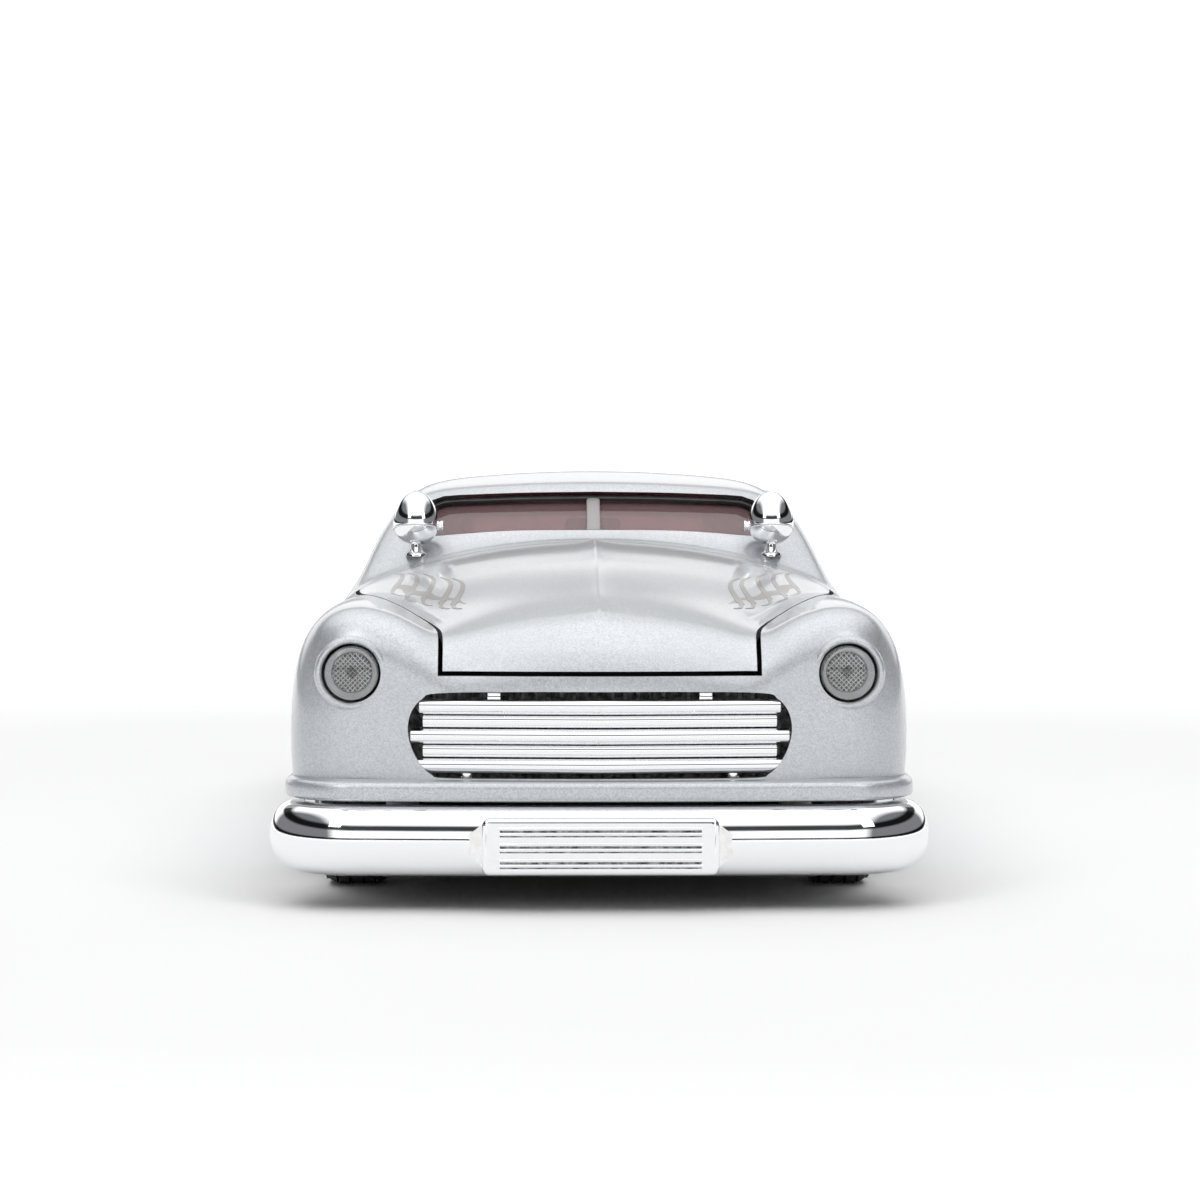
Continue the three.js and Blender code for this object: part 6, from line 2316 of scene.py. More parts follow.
    def dash(self) -> None:
        """Builds the dashboard with its dials, radio face, glove box and trim."""
        fin = self.finishes
        low, high = millimetres("dashboard")
        y, half = low[1], high[0]
        side = [
            (0, 24.05), (3.5, 24.1), (5.4, 24.6), (6.9, 25.6), (7.55, 27.2), (7.3, 30.2), (6.9, 31.6), (5.9, 32.9),
            (4.3, 33.6), (0, 34.35)
        ]
        outline = [(y + u, v) for u, v in side]
        shape = Shape().prism(outline, Axis.X, -half, half, fin.maroon, 0.3)
        face = y + 7.35
        for x, r in ((12.5, 2.1), (17.6, 1.5), (7.6, 1.5)):
            shape.turned(
                [(0, 0), (r, 0), (r, 0.25), (r - 0.2, 0.42), (r - 0.35, 0.3), (0, 0.3)], Axis.Y, (x, face - 0.15, 29),
                fin.chrome, 40
            )
            shape.turned(
                [(0, 0.28), (r - 0.36, 0.28), (r - 0.36, 0.34), (0, 0.34)], Axis.Y, (x, face - 0.15, 29), fin.dial, 40
            )
            for k in range(11):
                a = math.radians(-35 + 25 * k)
                place = (x - (r - 0.6) * math.cos(a), face + 0.21, 29 + (r - 0.6) * math.sin(a))
                shape.box(
                    np.array(place) - (0.14, 0.02, 0.04), np.array(place) + (0.14, 0.03, 0.04), fin.black, 0.0, 1,
                    Matrix.Rotation(a, 4, "Y")
                )
            shape.box((x - 0.05, face + 0.2, 29), (x + 0.05, face + 0.26, 29 + r - 0.55), fin.engine_red, 0.0, 1)
        shape.box((-4.6, face - 0.3, 26.6), (4.6, face + 0.25, 31.2), fin.chrome, 0.25)
        for k in range(8):
            shape.box((-4.1, face + 0.1, 27.0 + 0.5 * k), (4.1, face + 0.4, 27.22 + 0.5 * k), fin.chrome, 0.08, 1)
        shape.box((-20.5, face - 0.35, 27.2), (-8.5, face + 0.12, 30.8), fin.maroon, 0.3)
        shape.rod(0.5, 0.5, Axis.Y, (-10, face + 0.3, 29), fin.chrome, 0.12, 20)
        shape.box((-half + 1, face - 0.5, 31.5), (half - 1, face - 0.1, 31.85), fin.chrome, 0.1)
        for x in (-6.2, 6.0):
            for z in (27.6, 29.6):
                if abs(x) > 6.1 or x > 0:
                    shape.rod(0.4, 0.9, Axis.Y, (x if x < 0 else 5.6, face + 0.3, z), fin.piping, 0.15, 16)
        shape.place("dash_panel", Body.SHELL, Slot.MAROON, "dashboard")

    def wheel(self) -> None:
        """Builds the steering wheel, its horn ring and column."""
        fin = self.finishes
        centre = np.array([12.5, -15.45, 30.5])
        low, high = millimetres("steering_wheel")
        centre[0] = (low[0] + high[0]) / 2
        shape = Shape()
        path = [(5.4 * math.cos(a), 5.4 * math.sin(a), 0.0) for a in np.linspace(0, 2 * np.pi, 72, endpoint=False)]
        turns = np.linspace(0, 2 * np.pi, 12, endpoint=False)
        ring = np.stack([0.5 * np.cos(turns), 0.5 * np.sin(turns)], 1)
        sections = np.array([ring * (1.0 + 0.09 * math.cos(k * math.pi * 2 / 3)) for k in range(72)])
        shape.swept(np.array(path), sections, fin.maroon, loop=True)
        horn = [(3.1 * math.cos(a), 3.1 * math.sin(a), 0.12) for a in np.linspace(math.pi, 2 * math.pi, 30)]
        shape.swept(np.array(horn), np.stack([0.16 * np.cos(turns), 0.16 * np.sin(turns)], 1), fin.chrome)
        for side in (-1, 1):
            spoke = [(side * 1.0, 0, 0.05), (side * 3, -0.12, 0.1), (side * 5.1, -0.2, 0.02)]
            shape.swept(smooth_line(spoke, 5), np.stack([0.42 * np.cos(turns), 0.2 * np.sin(turns)], 1), fin.chrome)
        shape.turned(
            [(0, -0.7), (1.1, -0.7), (1.25, -0.1), (1.1, 0.35), (0.6, 0.6), (0, 0.68)], Axis.Z, (0, 0, 0), fin.chrome,
            32
        )
        shape.turned(
            [(0, -4.15), (0.62, -4.15), (0.62, -0.8), (0.95, -0.5), (0, -0.4)], Axis.Z, (0, 0, 0), fin.maroon, 24
        )
        tilt = np.array(Matrix.Rotation(math.radians(62), 3, "X"))
        shape.points = (np.array(shape.points) @ tilt.T + centre).tolist()
        shape.place("wheel_and_column", Body.SHELL, Slot.MAROON, "steering_wheel", crease=45)

    def mirror(self) -> None:
        """Builds the rear-view mirror."""
        fin = self.finishes
        low, high = millimetres("rear_view_mirror")
        x, y, z = (low + high) / 2
        z = low[2] + 1.1
        shape = Shape()
        outline = rounded_outline(-4, 4, -1.1, 1.1, 0.9)
        shape.prism([(v + z, u) for u, v in outline], Axis.Y, low[1], high[1] - 0.1, fin.black, 0.25)
        inner = rounded_outline(-3.7, 3.7, -0.85, 0.85, 0.7)
        shape.prism([(v + z, u) for u, v in inner], Axis.Y, high[1] - 0.12, high[1], fin.chrome, 0.04)
        shape.rod(0.36, high[2] - z, Axis.Z, (0, y, (z + high[2]) / 2), fin.chrome, 0.1, 16)
        shape.place("mirror_head", Body.SHELL, Slot.CHROME, "rear_view_mirror")

    def cards(self) -> None:
        """Builds the pleated door cards with their handles."""
        fin = self.finishes
        low, high = millimetres("door_card_left")
        x0, x1 = low[0], low[0] + 1.2
        for name, body in (("left", Body.DOOR_LEFT), ("right", Body.DOOR_RIGHT)):
            shape = Shape()
            shape.prism(
                rounded_outline(low[1], high[1], low[2], high[2], 0.8), Axis.X, x0 + 0.25, x1, fin.maroon, 0.2
            )
            for k in range(13):
                y = low[1] + 3 + k * 2.4
                shape.rod(0.62, 8.6, Axis.Z, (x0 + 0.62, y, 22.6), fin.maroon, 0.5, 16)
            shape.box((x0 + 0.05, low[1] + 1.2, 27.5), (x0 + 0.5, high[1] - 1.2, 27.95), fin.chrome, 0.12)
            shape.box((x0 + 0.05, low[1] + 1.2, 17.2), (x0 + 0.5, high[1] - 1.2, 17.65), fin.chrome, 0.12)
            shape.box((x0 + 0.0, low[1] + 2, 13.2), (x0 + 0.5, high[1] - 2, 16.4), fin.carpet, 0.2)
            shape.box((x0 - 0.05, -6, 29.2), (x0 + 0.6, 8, 30.4), fin.maroon, 0.4)
            shape.rod(0.42, 0.5, Axis.X, (x0 + 0.1, -10, 29.4), fin.chrome, 0.1, 20)
            shape.box((x0 - 0.1, -11.8, 29.15), (x0 + 0.15, -9.9, 29.55), fin.chrome, 0.1, 2)
            for y in (-9.0, 8.0):
                shape.box((x1 - 0.1, y - 1, 20), (high[0], y + 1, 22), fin.black, 0.2)
            shape = shape if name == "left" else shape.mirrored()
            shape.place(f"door_trim_{name}", body, Slot.MAROON, f"door_card_{name}")

    def roof(self) -> None:
        """Lines the inside of the roof with maroon cloth, coloured lighter than the vinyl as painted light on its
        shaded underside.
        """
        f, fin = self.form, self.finishes
        xs, ys = np.linspace(-20, 20, 27), np.linspace(f.roof_peak - 15, f.deck - 25, 27)
        grid_x, grid_y = np.meshgrid(xs, ys)
        z = f.height(grid_x.ravel(), grid_y.ravel())
        skin = np.column_stack([grid_x.ravel(), grid_y.ravel(), z])
        normal = f.normal(skin)
        seam = 0.12 * np.abs(np.sin(grid_y.ravel() * math.pi / 7.5)) ** 0.4
        top, low = skin - normal * 1.45, skin - normal * (1.72 + seam)[:, None]
        lining = Shape().sheet(top, low, len(xs), fin.lining)
        lining.place("roof_lining_lightened", Body.SHELL, Slot.MAROON, crease=60)

    def build(self) -> None:
        """Builds everything inside."""
        self.tub()
        self.bench("front_bench")
        self.bench("rear_bench")
        self.dash()
        self.wheel()
        self.mirror()
        self.cards()
        self.roof()


# ---------------------------------------------------------------- engine bay and trunk
@dataclass
class EngineBay:
    """A vee engine with its air cleaner, fan, radiator, battery, hoses and firewall."""

    finishes: Finishes
    form: BodyForm

    def engine(self) -> None:
        """Builds the block, heads, manifold, pulleys and leads."""
        fin, y = self.finishes, self.form.front_axle
        shape = Shape()
        shape.box((-5.4, y + 5, 10.9), (5.4, y + 27, 17.6), fin.engine_red, 0.5)
        shape.box((-6.2, y + 6.5, 16.6), (6.2, y + 25.5, 17.6), fin.engine_red, 0.3)
        outline = [(-9.2, 22), (-6.3, 17.2), (6.3, 17.2), (9.2, 22), (6, 25.1), (2.2, 23.9), (-2.2, 23.9), (-6, 25.1)]
        shape.prism([(v, u) for u, v in outline], Axis.Y, y + 6, y + 26, fin.engine_red, 0.3)
        shape.rod(2.9, 6, Axis.Y, (0, y + 29.3, 14.85), fin.cast, 0.4, 32)
        for k in range(4):
            yy = y + 8.4 + 5 * k
            for side in (-1, 1):
                shape.rod(
                    0.95, 3.4, Axis.X, (side * 8.6, yy, 20.6), fin.cast, 0.2, 20,
                    Matrix.Rotation(math.radians(0), 4, "X")
                )
                shape.rod(0.42, 1.4, Axis.Z, (side * 9.4, yy + 1.2, 22.2), fin.piping, 0.1, 12)
                shape.box((side * 4.2 - 1.6, yy - 0.8, 24.0), (side * 4.2 + 1.6, yy + 0.8, 25.4), fin.cast, 0.3)
        for side in (-1, 1):
            shape.rod(0.9, 18.5, Axis.Y, (side * 9.55, y + 16, 19.3), fin.cast, 0.4, 20)
        shape.box((-2, y + 8, 23.9), (2, y + 24, 25.6), fin.cast, 0.4)
        shape.rod(1.7, 3.2, Axis.Z, (0, y + 16, 27.2), fin.cast, 0.3, 28)
        shape.rod(0.9, 3.0, Axis.Z, (0, y + 23.6, 26.2), fin.black, 0.3, 20)
        for k in range(8):
            a = 2 * math.pi * k / 8
            start = np.array([0.6 * math.cos(a), y + 23.6 + 0.6 * math.sin(a), 27.6])
            side = 1 if math.cos(a) >= 0 else -1
            end = np.array([side * 9.4, y + 9.6 + 5 * (k % 4), 22.9])
            mid = (start + end) / 2 + (0, 0, 1.4)
            line = smooth_line([start, start * 0.7 + mid * 0.3 + (0, 0, 0.5), mid, end * 0.75 + mid * 0.25, end], 6)
            turns = np.linspace(0, 2 * np.pi, 8, endpoint=False)
            shape.swept(line, np.stack([0.17 * np.cos(turns), 0.17 * np.sin(turns)], 1), fin.black, up=(0, 1, 0.2))
        for z, r in ((20.0, 2.2), (14.6, 2.6)):
            pulley = [(0, -1), (r - 0.5, -1), (r, -0.7), (r - 0.45, 0), (r, 0.7), (r - 0.5, 1), (0, 1)]
            shape.turned(pulley, Axis.Y, (0, y + 4.1, z), fin.steel, 32)
        shape.rod(1.5, 5, Axis.Y, (5.8, y + 6.5, 24.0), fin.steel, 0.4, 28)
        belt = [(2.1 * math.cos(a), y + 4.1, 20 + 2.1 * math.sin(a)) for a in np.linspace(0, math.pi, 14)]
        belt += [(-2.5, y + 4.1, 14.6)] + [
            (2.5 * math.cos(a), y + 4.1, 14.6 + 2.5 * math.sin(a))
            for a in np.linspace(math.pi + 0.2, 2 * math.pi, 14)
        ]
        turns = np.linspace(0, 2 * np.pi, 8, endpoint=False)
        shape.swept(
            np.array(belt), np.stack([0.3 * np.cos(turns), 0.22 * np.sin(turns)], 1), fin.black, up=(0, 1, 0),
            loop=True
        )
        shape.place("engine", Body.SHELL, Slot.ENGINE, "engine_block", crease=38)

    def covers(self) -> None:
        """Builds the finned valve covers."""
        fin = self.finishes
        low, high = millimetres("valve_cover_left")
        outline = [(6.7, 25.75), (10.5, 22.75), (11.4, 23.3), (12.1, 24.6), (11.3, 25.7), (9.2, 27.4), (8.2, 27.7)]
        shape = Shape().prism([(v, u) for u, v in outline], Axis.Y, low[1], high[1], fin.chrome, 0.3)
        for k in range(11):
            y = low[1] + 1.6 + k * 1.38
            shape.box(
                (8.6, y - 0.22, 24.7), (11.6, y + 0.22, 27.0), fin.chrome, 0.1, 1,
                Matrix.Rotation(math.radians(38), 4, "Y")
            )
        for y in (low[1] + 0.8, high[1] - 0.8):
            shape.rod(0.35, 0.5, Axis.Z, (8.9, y, 27.7), fin.steel, 0.08, 6)
        for side, made in (("left", shape), ("right", shape.mirrored())):
            made.place(f"finned_cover_{side}", Body.SHELL, Slot.CHROME, f"valve_cover_{side}")

    def cleaner(self) -> None:
        """Builds the round air cleaner with its pleated filter."""
        fin = self.finishes
        low, high = millimetres("air_cleaner")
        x, y, _ = (low + high) / 2
        z, r = low[2], (high[0] - low[0]) / 2
        shape = Shape()
        shape.turned(
            [(0, z), (r - 0.5, z), (r - 0.1, z + 0.2), (r - 0.1, z + 0.5), (r - 0.6, z + 0.7), (0, z + 0.7)], Axis.Z,
            (x, y, 0), fin.chrome, 64
        )
        shape.turned(
            [
                (r - 0.75, z + 0.7), (r - 0.7, z + 0.9), (r - 0.7, z + 1.9), (r - 0.75, z + 2.1), (1, z + 2.1),
                (1, z + 0.7)
            ],
            Axis.Z, (x, y, 0), fin.piping, 64
        )
        for k in range(48):
            a = 2 * math.pi * k / 48
            shape.rod(
                0.14, 1.3, Axis.Z, (x + (r - 0.68) * math.cos(a), y + (r - 0.68) * math.sin(a), z + 1.4), fin.piping,
                0.05, 8
            )
        lid = [
            (0, z + 2.05), (r - 0.35, z + 2.05), (r, z + 2.2), (r - 0.05, z + 2.4), (r - 0.6, z + 2.52),
            (r - 1.4, z + 2.48), (r - 2.0, z + 2.62), (1.2, z + 2.74), (0.5, z + 2.74), (0.42, z + 3.0), (0, z + 3.0)
        ]
        shape.turned(lid, Axis.Z, (x, y, 0), fin.chrome, 64)
        shape.place("air_filter", Body.SHELL, Slot.CHROME, "air_cleaner")

    def fan(self) -> None:
        """Builds the four-bladed fan."""
        fin = self.finishes
        low, high = millimetres("cooling_fan")
        x, y, z = (low + high) / 2
        r, shape = (high[0] - low[0]) / 2, Shape()
        for k in range(4):
            a = k * math.pi / 2
            root, tip = 1.3, r - 0.05
            pitch = math.radians(26)
            corners = []
            for reach, wide in ((root, 0.6), (root + 1.6, 1.0), (tip - 0.5, 1.15), (tip, 0.75)):
                for way in (-1, 1):
                    for lift in (-0.12, 0.12):
                        across, deep = way * wide * math.cos(pitch), way * wide * math.sin(pitch) + lift
                        corners.append(
                            (
                                x + reach * math.cos(a) - across * math.sin(a), y + deep * 0.62,
                                z + reach * math.sin(a) + across * math.cos(a)
                            )
                        )
            faces = []
            for i in range(3):
                b = 4 * i
                faces += [
                    [b, b + 4, b + 6, b + 2], [b + 1, b + 3, b + 7, b + 5], [b, b + 1, b + 5, b + 4],
                    [b + 2, b + 6, b + 7, b + 3]
                ]
            faces += [[0, 2, 3, 1], [12, 13, 15, 14]]
            shape.add(np.array(corners), faces, fin.gloss_black)
        shape.turned(
            [(0, -0.75), (1.1, -0.72), (1.6, -0.35), (1.6, 0.35), (1.1, 0.72), (0, 0.75)], Axis.Y, (x, y, z),
            fin.steel, 28
        )
        shape.place("fan_blades", Body.SHELL, Slot.BLACK, "cooling_fan", crease=30)

    def radiator(self) -> None:
        """Builds the finned radiator with its tanks, cap and hose."""
        fin = self.finishes
        low, high = millimetres("radiator")
        shape = Shape()
        shape.box(
            (low[0] + 0.4, low[1] + 0.5, low[2] + 1.5), (high[0] - 0.4, high[1] - 0.5, high[2] - 2.6), fin.black, 0.1
        )
        shape.box((low[0], low[1], low[2]), (high[0], high[1], low[2] + 2), fin.black, 0.4)
        shape.box(
            (low[0] + 0.3, low[1] + 0.1, high[2] - 4.4), (high[0] - 0.3, high[1] - 0.1, high[2] - 0.9),
            fin.gloss_black, 0.9, 3
        )
        for side in (-1, 1):
            shape.box((side * 14.5 - 0.5, low[1], low[2]), (side * 14.5 + 0.5, high[1], high[2] - 2), fin.black, 0.2)
        for k in range(34):
            x = -13.6 + k * 0.824
            shape.box(
                (x - 0.1, high[1] - 0.55, low[2] + 1.8), (x + 0.1, high[1] - 0.1, high[2] - 3), fin.steel, 0.0, 1
            )
        for k in range(16):
            z = low[2] + 2.4 + k * 1.05
            shape.box((-13.8, low[1] + 0.1, z - 0.08), (13.8, low[1] + 0.55, z + 0.08), fin.steel, 0.0, 1)
        top = high[2]
        shape.turned(
            [(0, top - 1.2), (1.3, top - 1.2), (1.3, top - 0.3), (1.0, top - 0.1), (0, top)], Axis.Z,
            (7, (low[1] + high[1]) / 2, 0), fin.brass, 28
        )
        turns = np.linspace(0, 2 * np.pi, 14, endpoint=False)
        hose = smooth_line(
            [
                (-5, high[1] - 0.4, top - 2.6), (-5, high[1] + 3, top - 2.4), (-4.6, high[1] + 7, top - 3.6),
                (-3.4, high[1] + 10.6, top - 5.2)
            ],
            8
        )
        shape.swept(hose, np.stack([0.95 * np.cos(turns), 0.95 * np.sin(turns)], 1), fin.rubber)
        shape.rod(1.12, 0.8, Axis.Y, (-5, high[1] + 0.9, top - 2.6), fin.steel, 0.1, 20)
        shape.place("radiator_core", Body.SHELL, Slot.BLACK, "radiator")

    def battery(self) -> None:
        """Builds the battery with its caps, posts and strap."""
        fin = self.finishes
        low, high = millimetres("battery")
        shape = Shape()
        shape.box(low, (high[0], high[1], high[2] - 1.1), fin.black, 0.3)
        shape.box((low[0] - 0.0, low[1], high[2] - 1.9), (high[0], high[1], high[2] - 0.7), fin.black, 0.25)
        x = (low[0] + high[0]) / 2
        for k in range(3):
            shape.rod(0.6, 0.5, Axis.Z, (x, low[1] + 1.6 + 1.9 * k, high[2] - 0.55), fin.piping, 0.15, 20)
        for y, finish in ((low[1] + 0.8, fin.engine_red), (high[1] - 0.8, fin.steel)):
            shape.rod(0.42, 0.7, Axis.Z, (high[0] - 0.8, y, high[2] - 0.4), finish, 0.1, 16)
        shape.box(
            (low[0] - 0.05, (low[1] + high[1]) / 2 - 0.3, high[2] - 0.9),
            (high[0] + 0.05, (low[1] + high[1]) / 2 + 0.3, high[2] - 0.62), fin.steel, 0.08
        )
        shape.place("battery_case", Body.SHELL, Slot.BLACK, "battery")

    def firewall(self) -> None:
        """Builds the ribbed firewall with its tray, wiper motor and wiring."""
        fin, f = self.finishes, self.form
        low, high = millimetres("firewall")
        wall, shape = high[1] - 1.2, Shape()
        shape.box((low[0], wall, low[2]), (high[0], high[1], high[2]), fin.black, 0.3)
        for k in range(9):
            x = -22 + 5.5 * k
            shape.box((x - 0.7, wall - 0.3, 12), (x + 0.7, wall + 0.1, 32), fin.black, 0.25)
        shape.box((13, f.front_axle + 23, 22), (21, high[1] - 0.6, 23.6), fin.black, 0.3)
        for x in (13.3, 20.7):
            shape.box((x - 0.3, f.front_axle + 23, 23.2), (x + 0.3, wall - 0.2, 23.9), fin.black, 0.12)
        shape.box((-13, wall - 2.0, 26.2), (-5.5, wall + 0.1, 30.6), fin.black, 0.5)
        shape.rod(1.3, 5.4, Axis.X, (-9.2, wall - 1.7, 31.2), fin.steel, 0.3, 28)
        turns = np.linspace(0, 2 * np.pi, 8, endpoint=False)
        for side, z in ((1, 27.6), (1, 28.4), (-1, 25.2)):
            line = smooth_line(
                [
                    (side * 24, wall - 0.45, z - 4), (side * 20, wall - 0.6, z - 0.4),
                    (side * 10, wall - 0.55, z + 0.5), (side * 2.5, wall - 0.7, z - 0.2),
                    (side * 1.5, wall - 0.5, z - 3.2)
                ],
                8
            )
            shape.swept(line, np.stack([0.28 * np.cos(turns), 0.28 * np.sin(turns)], 1), fin.black, up=(0, 1, 0.1))
        shape.place("firewall_panel", Body.SHELL, Slot.BLACK, "firewall")

    def build(self) -> None:
        """Builds everything under the hood."""
        self.engine()
        self.covers()
        self.cleaner()
        self.fan()
        self.radiator()
        self.battery()
        self.firewall()


@dataclass
class TrunkBay:
    """The luggage tray with a ribbed mat and a spare wheel pressing."""

    finishes: Finishes

    def build(self) -> None:
        """Builds the tray."""
        fin = self.finishes
        low, high = millimetres("trunk_tray")
        shape, floor, top = Shape(), 15.0, high[2]
        wall = 1.2
        shape.box((low[0], low[1], floor), (high[0], high[1], floor + wall), fin.black, 0.2)
        for side in (-1, 1):
            x = side * (high[0] - wall / 2)
            shape.box((x - wall / 2, low[1], floor), (x + wall / 2, high[1], top), fin.black, 0.25)
        for y0 in (low[1], high[1] - wall):
            shape.box((low[0], y0, floor), (high[0], y0 + wall, top), fin.black, 0.25)
        for k in range(19):
            x = -18 + 2 * k
            shape.box(
                (x - 0.45, low[1] + 2.6, floor + 1.0), (x + 0.45, high[1] - 2.6, floor + 1.32), fin.carpet, 0.12
            )
        for r in (6.6, 5.0, 2.0):
            shape.turned(
                [(r - 0.35, floor + 1.3), (r - 0.2, floor + 1.46), (r + 0.2, floor + 1.46), (r + 0.35, floor + 1.3)],
                Axis.Z, (0, (low[1] + high[1]) / 2, 0), fin.black, 56
            )
        for side in (-1, 1):
            shape.box((side * 10 - 2, low[1] + 6, 6.85), (side * 10 + 2, low[1] + 12, floor + 0.4), fin.black, 0.3)
        shape.place("luggage_tray", Body.SHELL, Slot.BLACK, "trunk_tray")


@dataclass
class Hinges:
    """Hinge arms kept from the frame, finished as pressed steel."""

    finishes: Finishes

    def build(self) -> None:
        """Dresses the CAD arms."""
        for kind in ("hood_hinge", "trunk_hinge", "door_hinge"):
            for side in ("left", "right"):
                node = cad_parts[f"{kind}_{side}"]
                for slot in node.material_slots:
                    slot.material = self.finishes.steel
                LOG.info("%s keeps its CAD mesh", node.name)


# ---------------------------------------------------------------- studio
@dataclass
class Studio:
    """White floor, soft boxes, white surround and the camera."""

    lens_mm: float = 123.0
    place_mm: tuple[float, float, float] = (-6.4, -611.0, 60.0)
    yaw_degrees: float = 0.72
    pitch_degrees: float = -2.43

    def camera(self) -> None:
        """Stands the camera low in front of the nose."""
        data = bpy.data.cameras.new("camera")
        data.lens = self.lens_mm
        data.sensor_width = 36.0
        data.clip_start, data.clip_end = 0.01, 60.0
        eye = bpy.data.objects.new("camera", data)
        eye.location = Vector(self.place_mm) * MM
        eye.rotation_euler = (math.radians(90 + self.pitch_degrees), 0.0, math.radians(-self.yaw_degrees))
        bpy.context.scene.collection.objects.link(eye)
        bpy.context.scene.camera = eye

    def floor(self) -> None:
        """Lays a pale floor that glows more the farther it lies from the car: painted light that lifts the far floor
        to white and leaves the floor near the car unlifted.
        """
        mesh = bpy.data.meshes.new("floor")
        reach = 6.0
        mesh.from_pydata(
            [(-reach, -reach, 0), (reach, -reach, 0), (reach, reach, 0), (-reach, reach, 0)], [], [[0, 1, 2, 3]]
        )
        sheet = bpy.data.objects.new("studio_floor", mesh)
        bpy.context.scene.collection.objects.link(sheet)
        shader = Shader("floor_paper")
        shader.set(Specular_IOR_Level=0.0, Emission_Strength=0.5)
        away = shader.tree.nodes.new("ShaderNodeVectorMath")
        away.operation = "LENGTH"
        place = shader.tree.nodes.new("ShaderNodeTexCoord")
        shader.tree.links.new(place.outputs["Object"], away.inputs[0])
        # Painted light: emission rises from none within 0.22 m of the middle to full beyond 0.8 m.
        glow = shader.span(away.outputs["Value"], 0.0, 1.0, 0.22, 0.8)
        shader.feed(shader.mix(glow, (0.0, 0.0, 0.0), (1.0, 1.0, 1.0)), "Emission Color")
        grain = shader.group(SHELF.grain, Grain_mm=1.0, Blotch_mm=120.0)
        shader.feed(shader.mix(grain.outputs["Blotch"], (0.93, 0.93, 0.93), (0.9, 0.9, 0.9)), "Base Color")
        shader.feed(shader.span(grain.outputs["Height"], 0.85, 0.95), "Roughness")
        mesh.materials.append(shader.material)

    def softbox(self, name: str, place: Point, aim: Point, size: tuple[float, float], power: float) -> None:
        """Hangs a soft box.

        Args:
            name: Name of the light.
            place: Where it hangs, in metres.
            aim: Point it faces.
            size: Width and height in metres.
            power: Its power in watts.
        """
        data = bpy.data.lights.new(name, "AREA")
        data.shape, data.size, data.size_y, data.energy = "RECTANGLE", size[0], size[1], power
        lamp = bpy.data.objects.new(name, data)
        lamp.location = place
        lamp.rotation_euler = (Vector(aim) - Vector(place)).to_track_quat("-Z", "Y").to_euler()
        bpy.context.scene.collection.objects.link(lamp)

    def surround(self) -> None:
        """Makes a pale room that is darker high up and to the sides, and plain white where it is looked at."""
        world = bpy.data.worlds.new("studio")
        bpy.context.scene.world = world
        world.use_nodes = True
        tree = world.node_tree
        out = tree.nodes["World Output"]
        plain = tree.nodes["Background"]
        plain.inputs["Color"].default_value = (1, 1, 1, 1)
        plain.inputs["Strength"].default_value = 1.05
        room = tree.nodes.new("ShaderNodeBackground")
        spread = tree.nodes.new("ShaderNodeTexCoord")
        parts = tree.nodes.new("ShaderNodeSeparateXYZ")
        tree.links.new(spread.outputs["Generated"], parts.inputs[0])
        ramp = tree.nodes.new("ShaderNodeValToRGB")
        tree.links.new(parts.outputs[2], ramp.inputs[0])
        stops = ramp.color_ramp.elements
        stops[0].position, stops[0].color = 0.0, (0.9, 0.9, 0.9, 1)
        stops[1].position, stops[1].color = 1.0, (1, 1, 1, 1)
        for at, level in (
            (0.015, 0.03), (0.05, 0.03), (0.075, 1.0), (0.3, 1.0), (0.36, 0.04), (0.5, 0.04), (0.58, 0.9)
        ):
            stop = stops.new(at)
            stop.color = (level, level, level * 1.01, 1)
        wide = tree.nodes.new("ShaderNodeMath")
        wide.operation = "ABSOLUTE"
        tree.links.new(parts.outputs[0], wide.inputs[0])
        sides = tree.nodes.new("ShaderNodeValToRGB")
        tree.links.new(wide.outputs[0], sides.inputs[0])
        edge = sides.color_ramp.elements
        edge[0].position, edge[0].color = 0.55, (1, 1, 1, 1)
        edge[1].position, edge[1].color = 0.7, (0.16, 0.16, 0.17, 1)
        shade = tree.nodes.new("ShaderNodeMix")
        shade.data_type, shade.blend_type = "RGBA", "MULTIPLY"
        shade.inputs[0].default_value = 1.0
        tree.links.new(ramp.outputs[0], shade.inputs[6])
        tree.links.new(sides.outputs[0], shade.inputs[7])
        tree.links.new(shade.outputs[2], room.inputs["Color"])
        room.inputs["Strength"].default_value = 1.3
        path = tree.nodes.new("ShaderNodeLightPath")
        mix = tree.nodes.new("ShaderNodeMixShader")
        tree.links.new(path.outputs["Is Camera Ray"], mix.inputs[0])
        tree.links.new(room.outputs[0], mix.inputs[1])
        tree.links.new(plain.outputs[0], mix.inputs[2])
        tree.links.new(mix.outputs[0], out.inputs["Surface"])

    def build(self) -> None:
        """Sets up the whole studio."""
        self.camera()
        self.floor()
        self.surround()
        self.softbox("key", (-0.55, -0.75, 0.75), (0, 0, 0.02), (0.28, 0.6), 1.2)
        self.softbox("fill", (0.6, -0.7, 0.7), (0, 0, 0.02), (0.28, 0.6), 1.0)
        self.softbox("top", (0, 0.05, 0.9), (0, 0, 0), (0.9, 0.9), 1.0)
        self.softbox("back", (0, 0.9, 0.5), (0, 0, 0.03), (1.2, 0.4), 0.5)
        bpy.context.scene.view_settings.view_transform = "Standard"


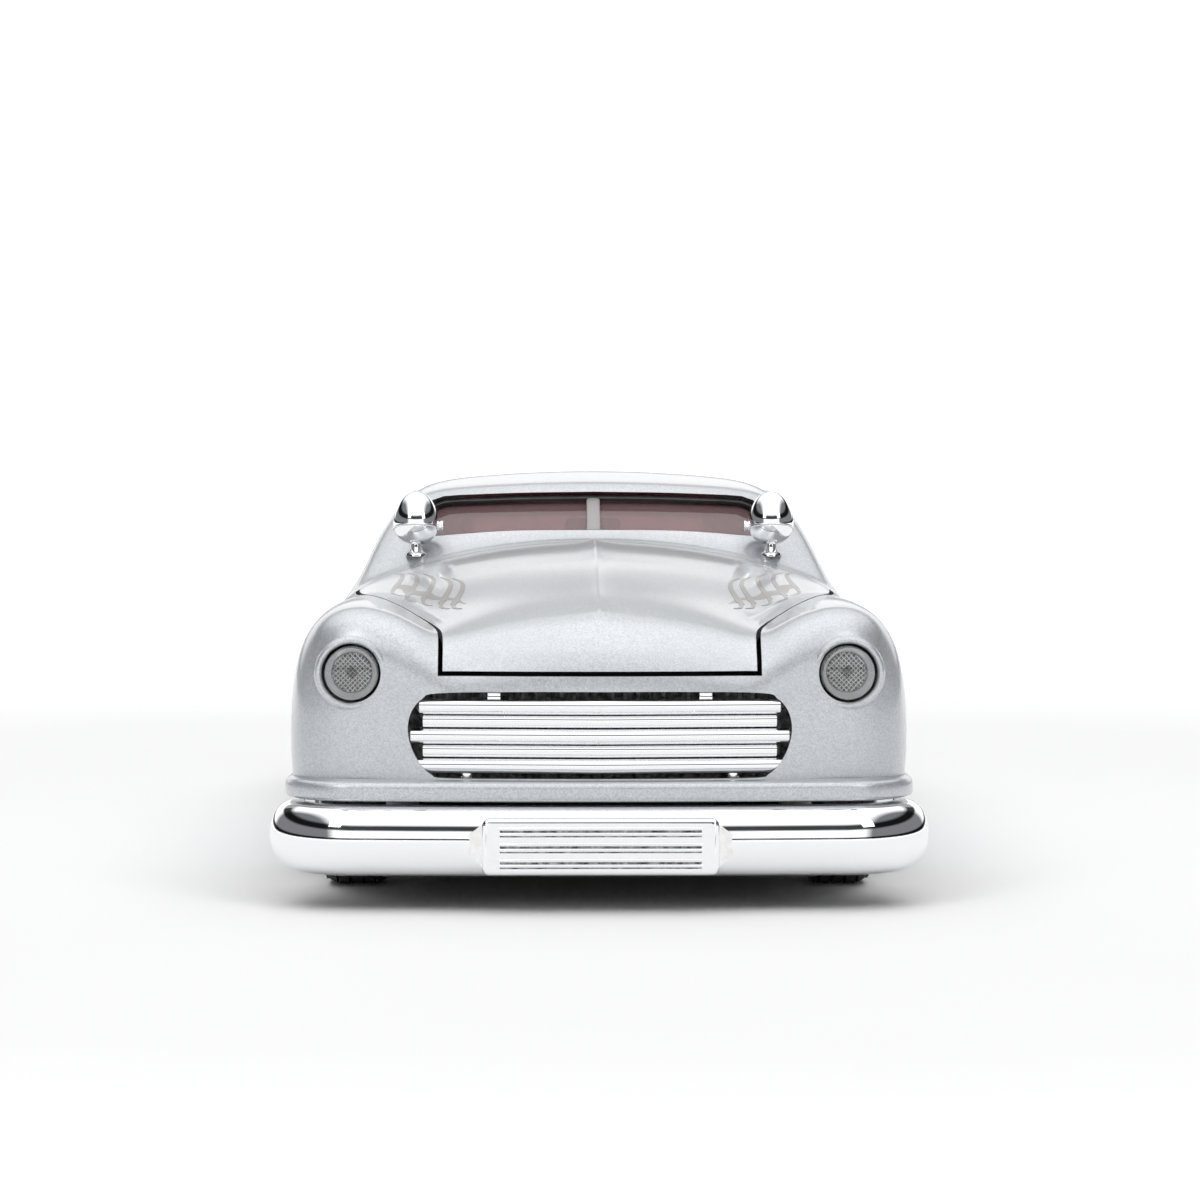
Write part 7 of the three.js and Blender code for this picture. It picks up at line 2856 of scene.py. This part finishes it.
def main() -> None:
    """Builds the car and its studio in order."""
    logging.basicConfig(level=logging.INFO, format="%(name)s: %(message)s")
    finishes = Finishes()
    form = BodyForm()
    Studio().build()
    Castings(form, finishes).build()
    Flames(form, finishes).build()
    Bumper(finishes).build()
    Grille(finishes, form).build()
    Lamps(finishes).build()
    Spotlights(finishes, form).build()
    Glazing(finishes, form).build()
    Wheels(finishes).build()
    Chassis(finishes, form).build()
    Cabin(finishes, form).build()
    EngineBay(finishes, form).build()
    TrunkBay(finishes).build()
    Hinges(finishes).build()


if __name__ == "__main__":
    main()
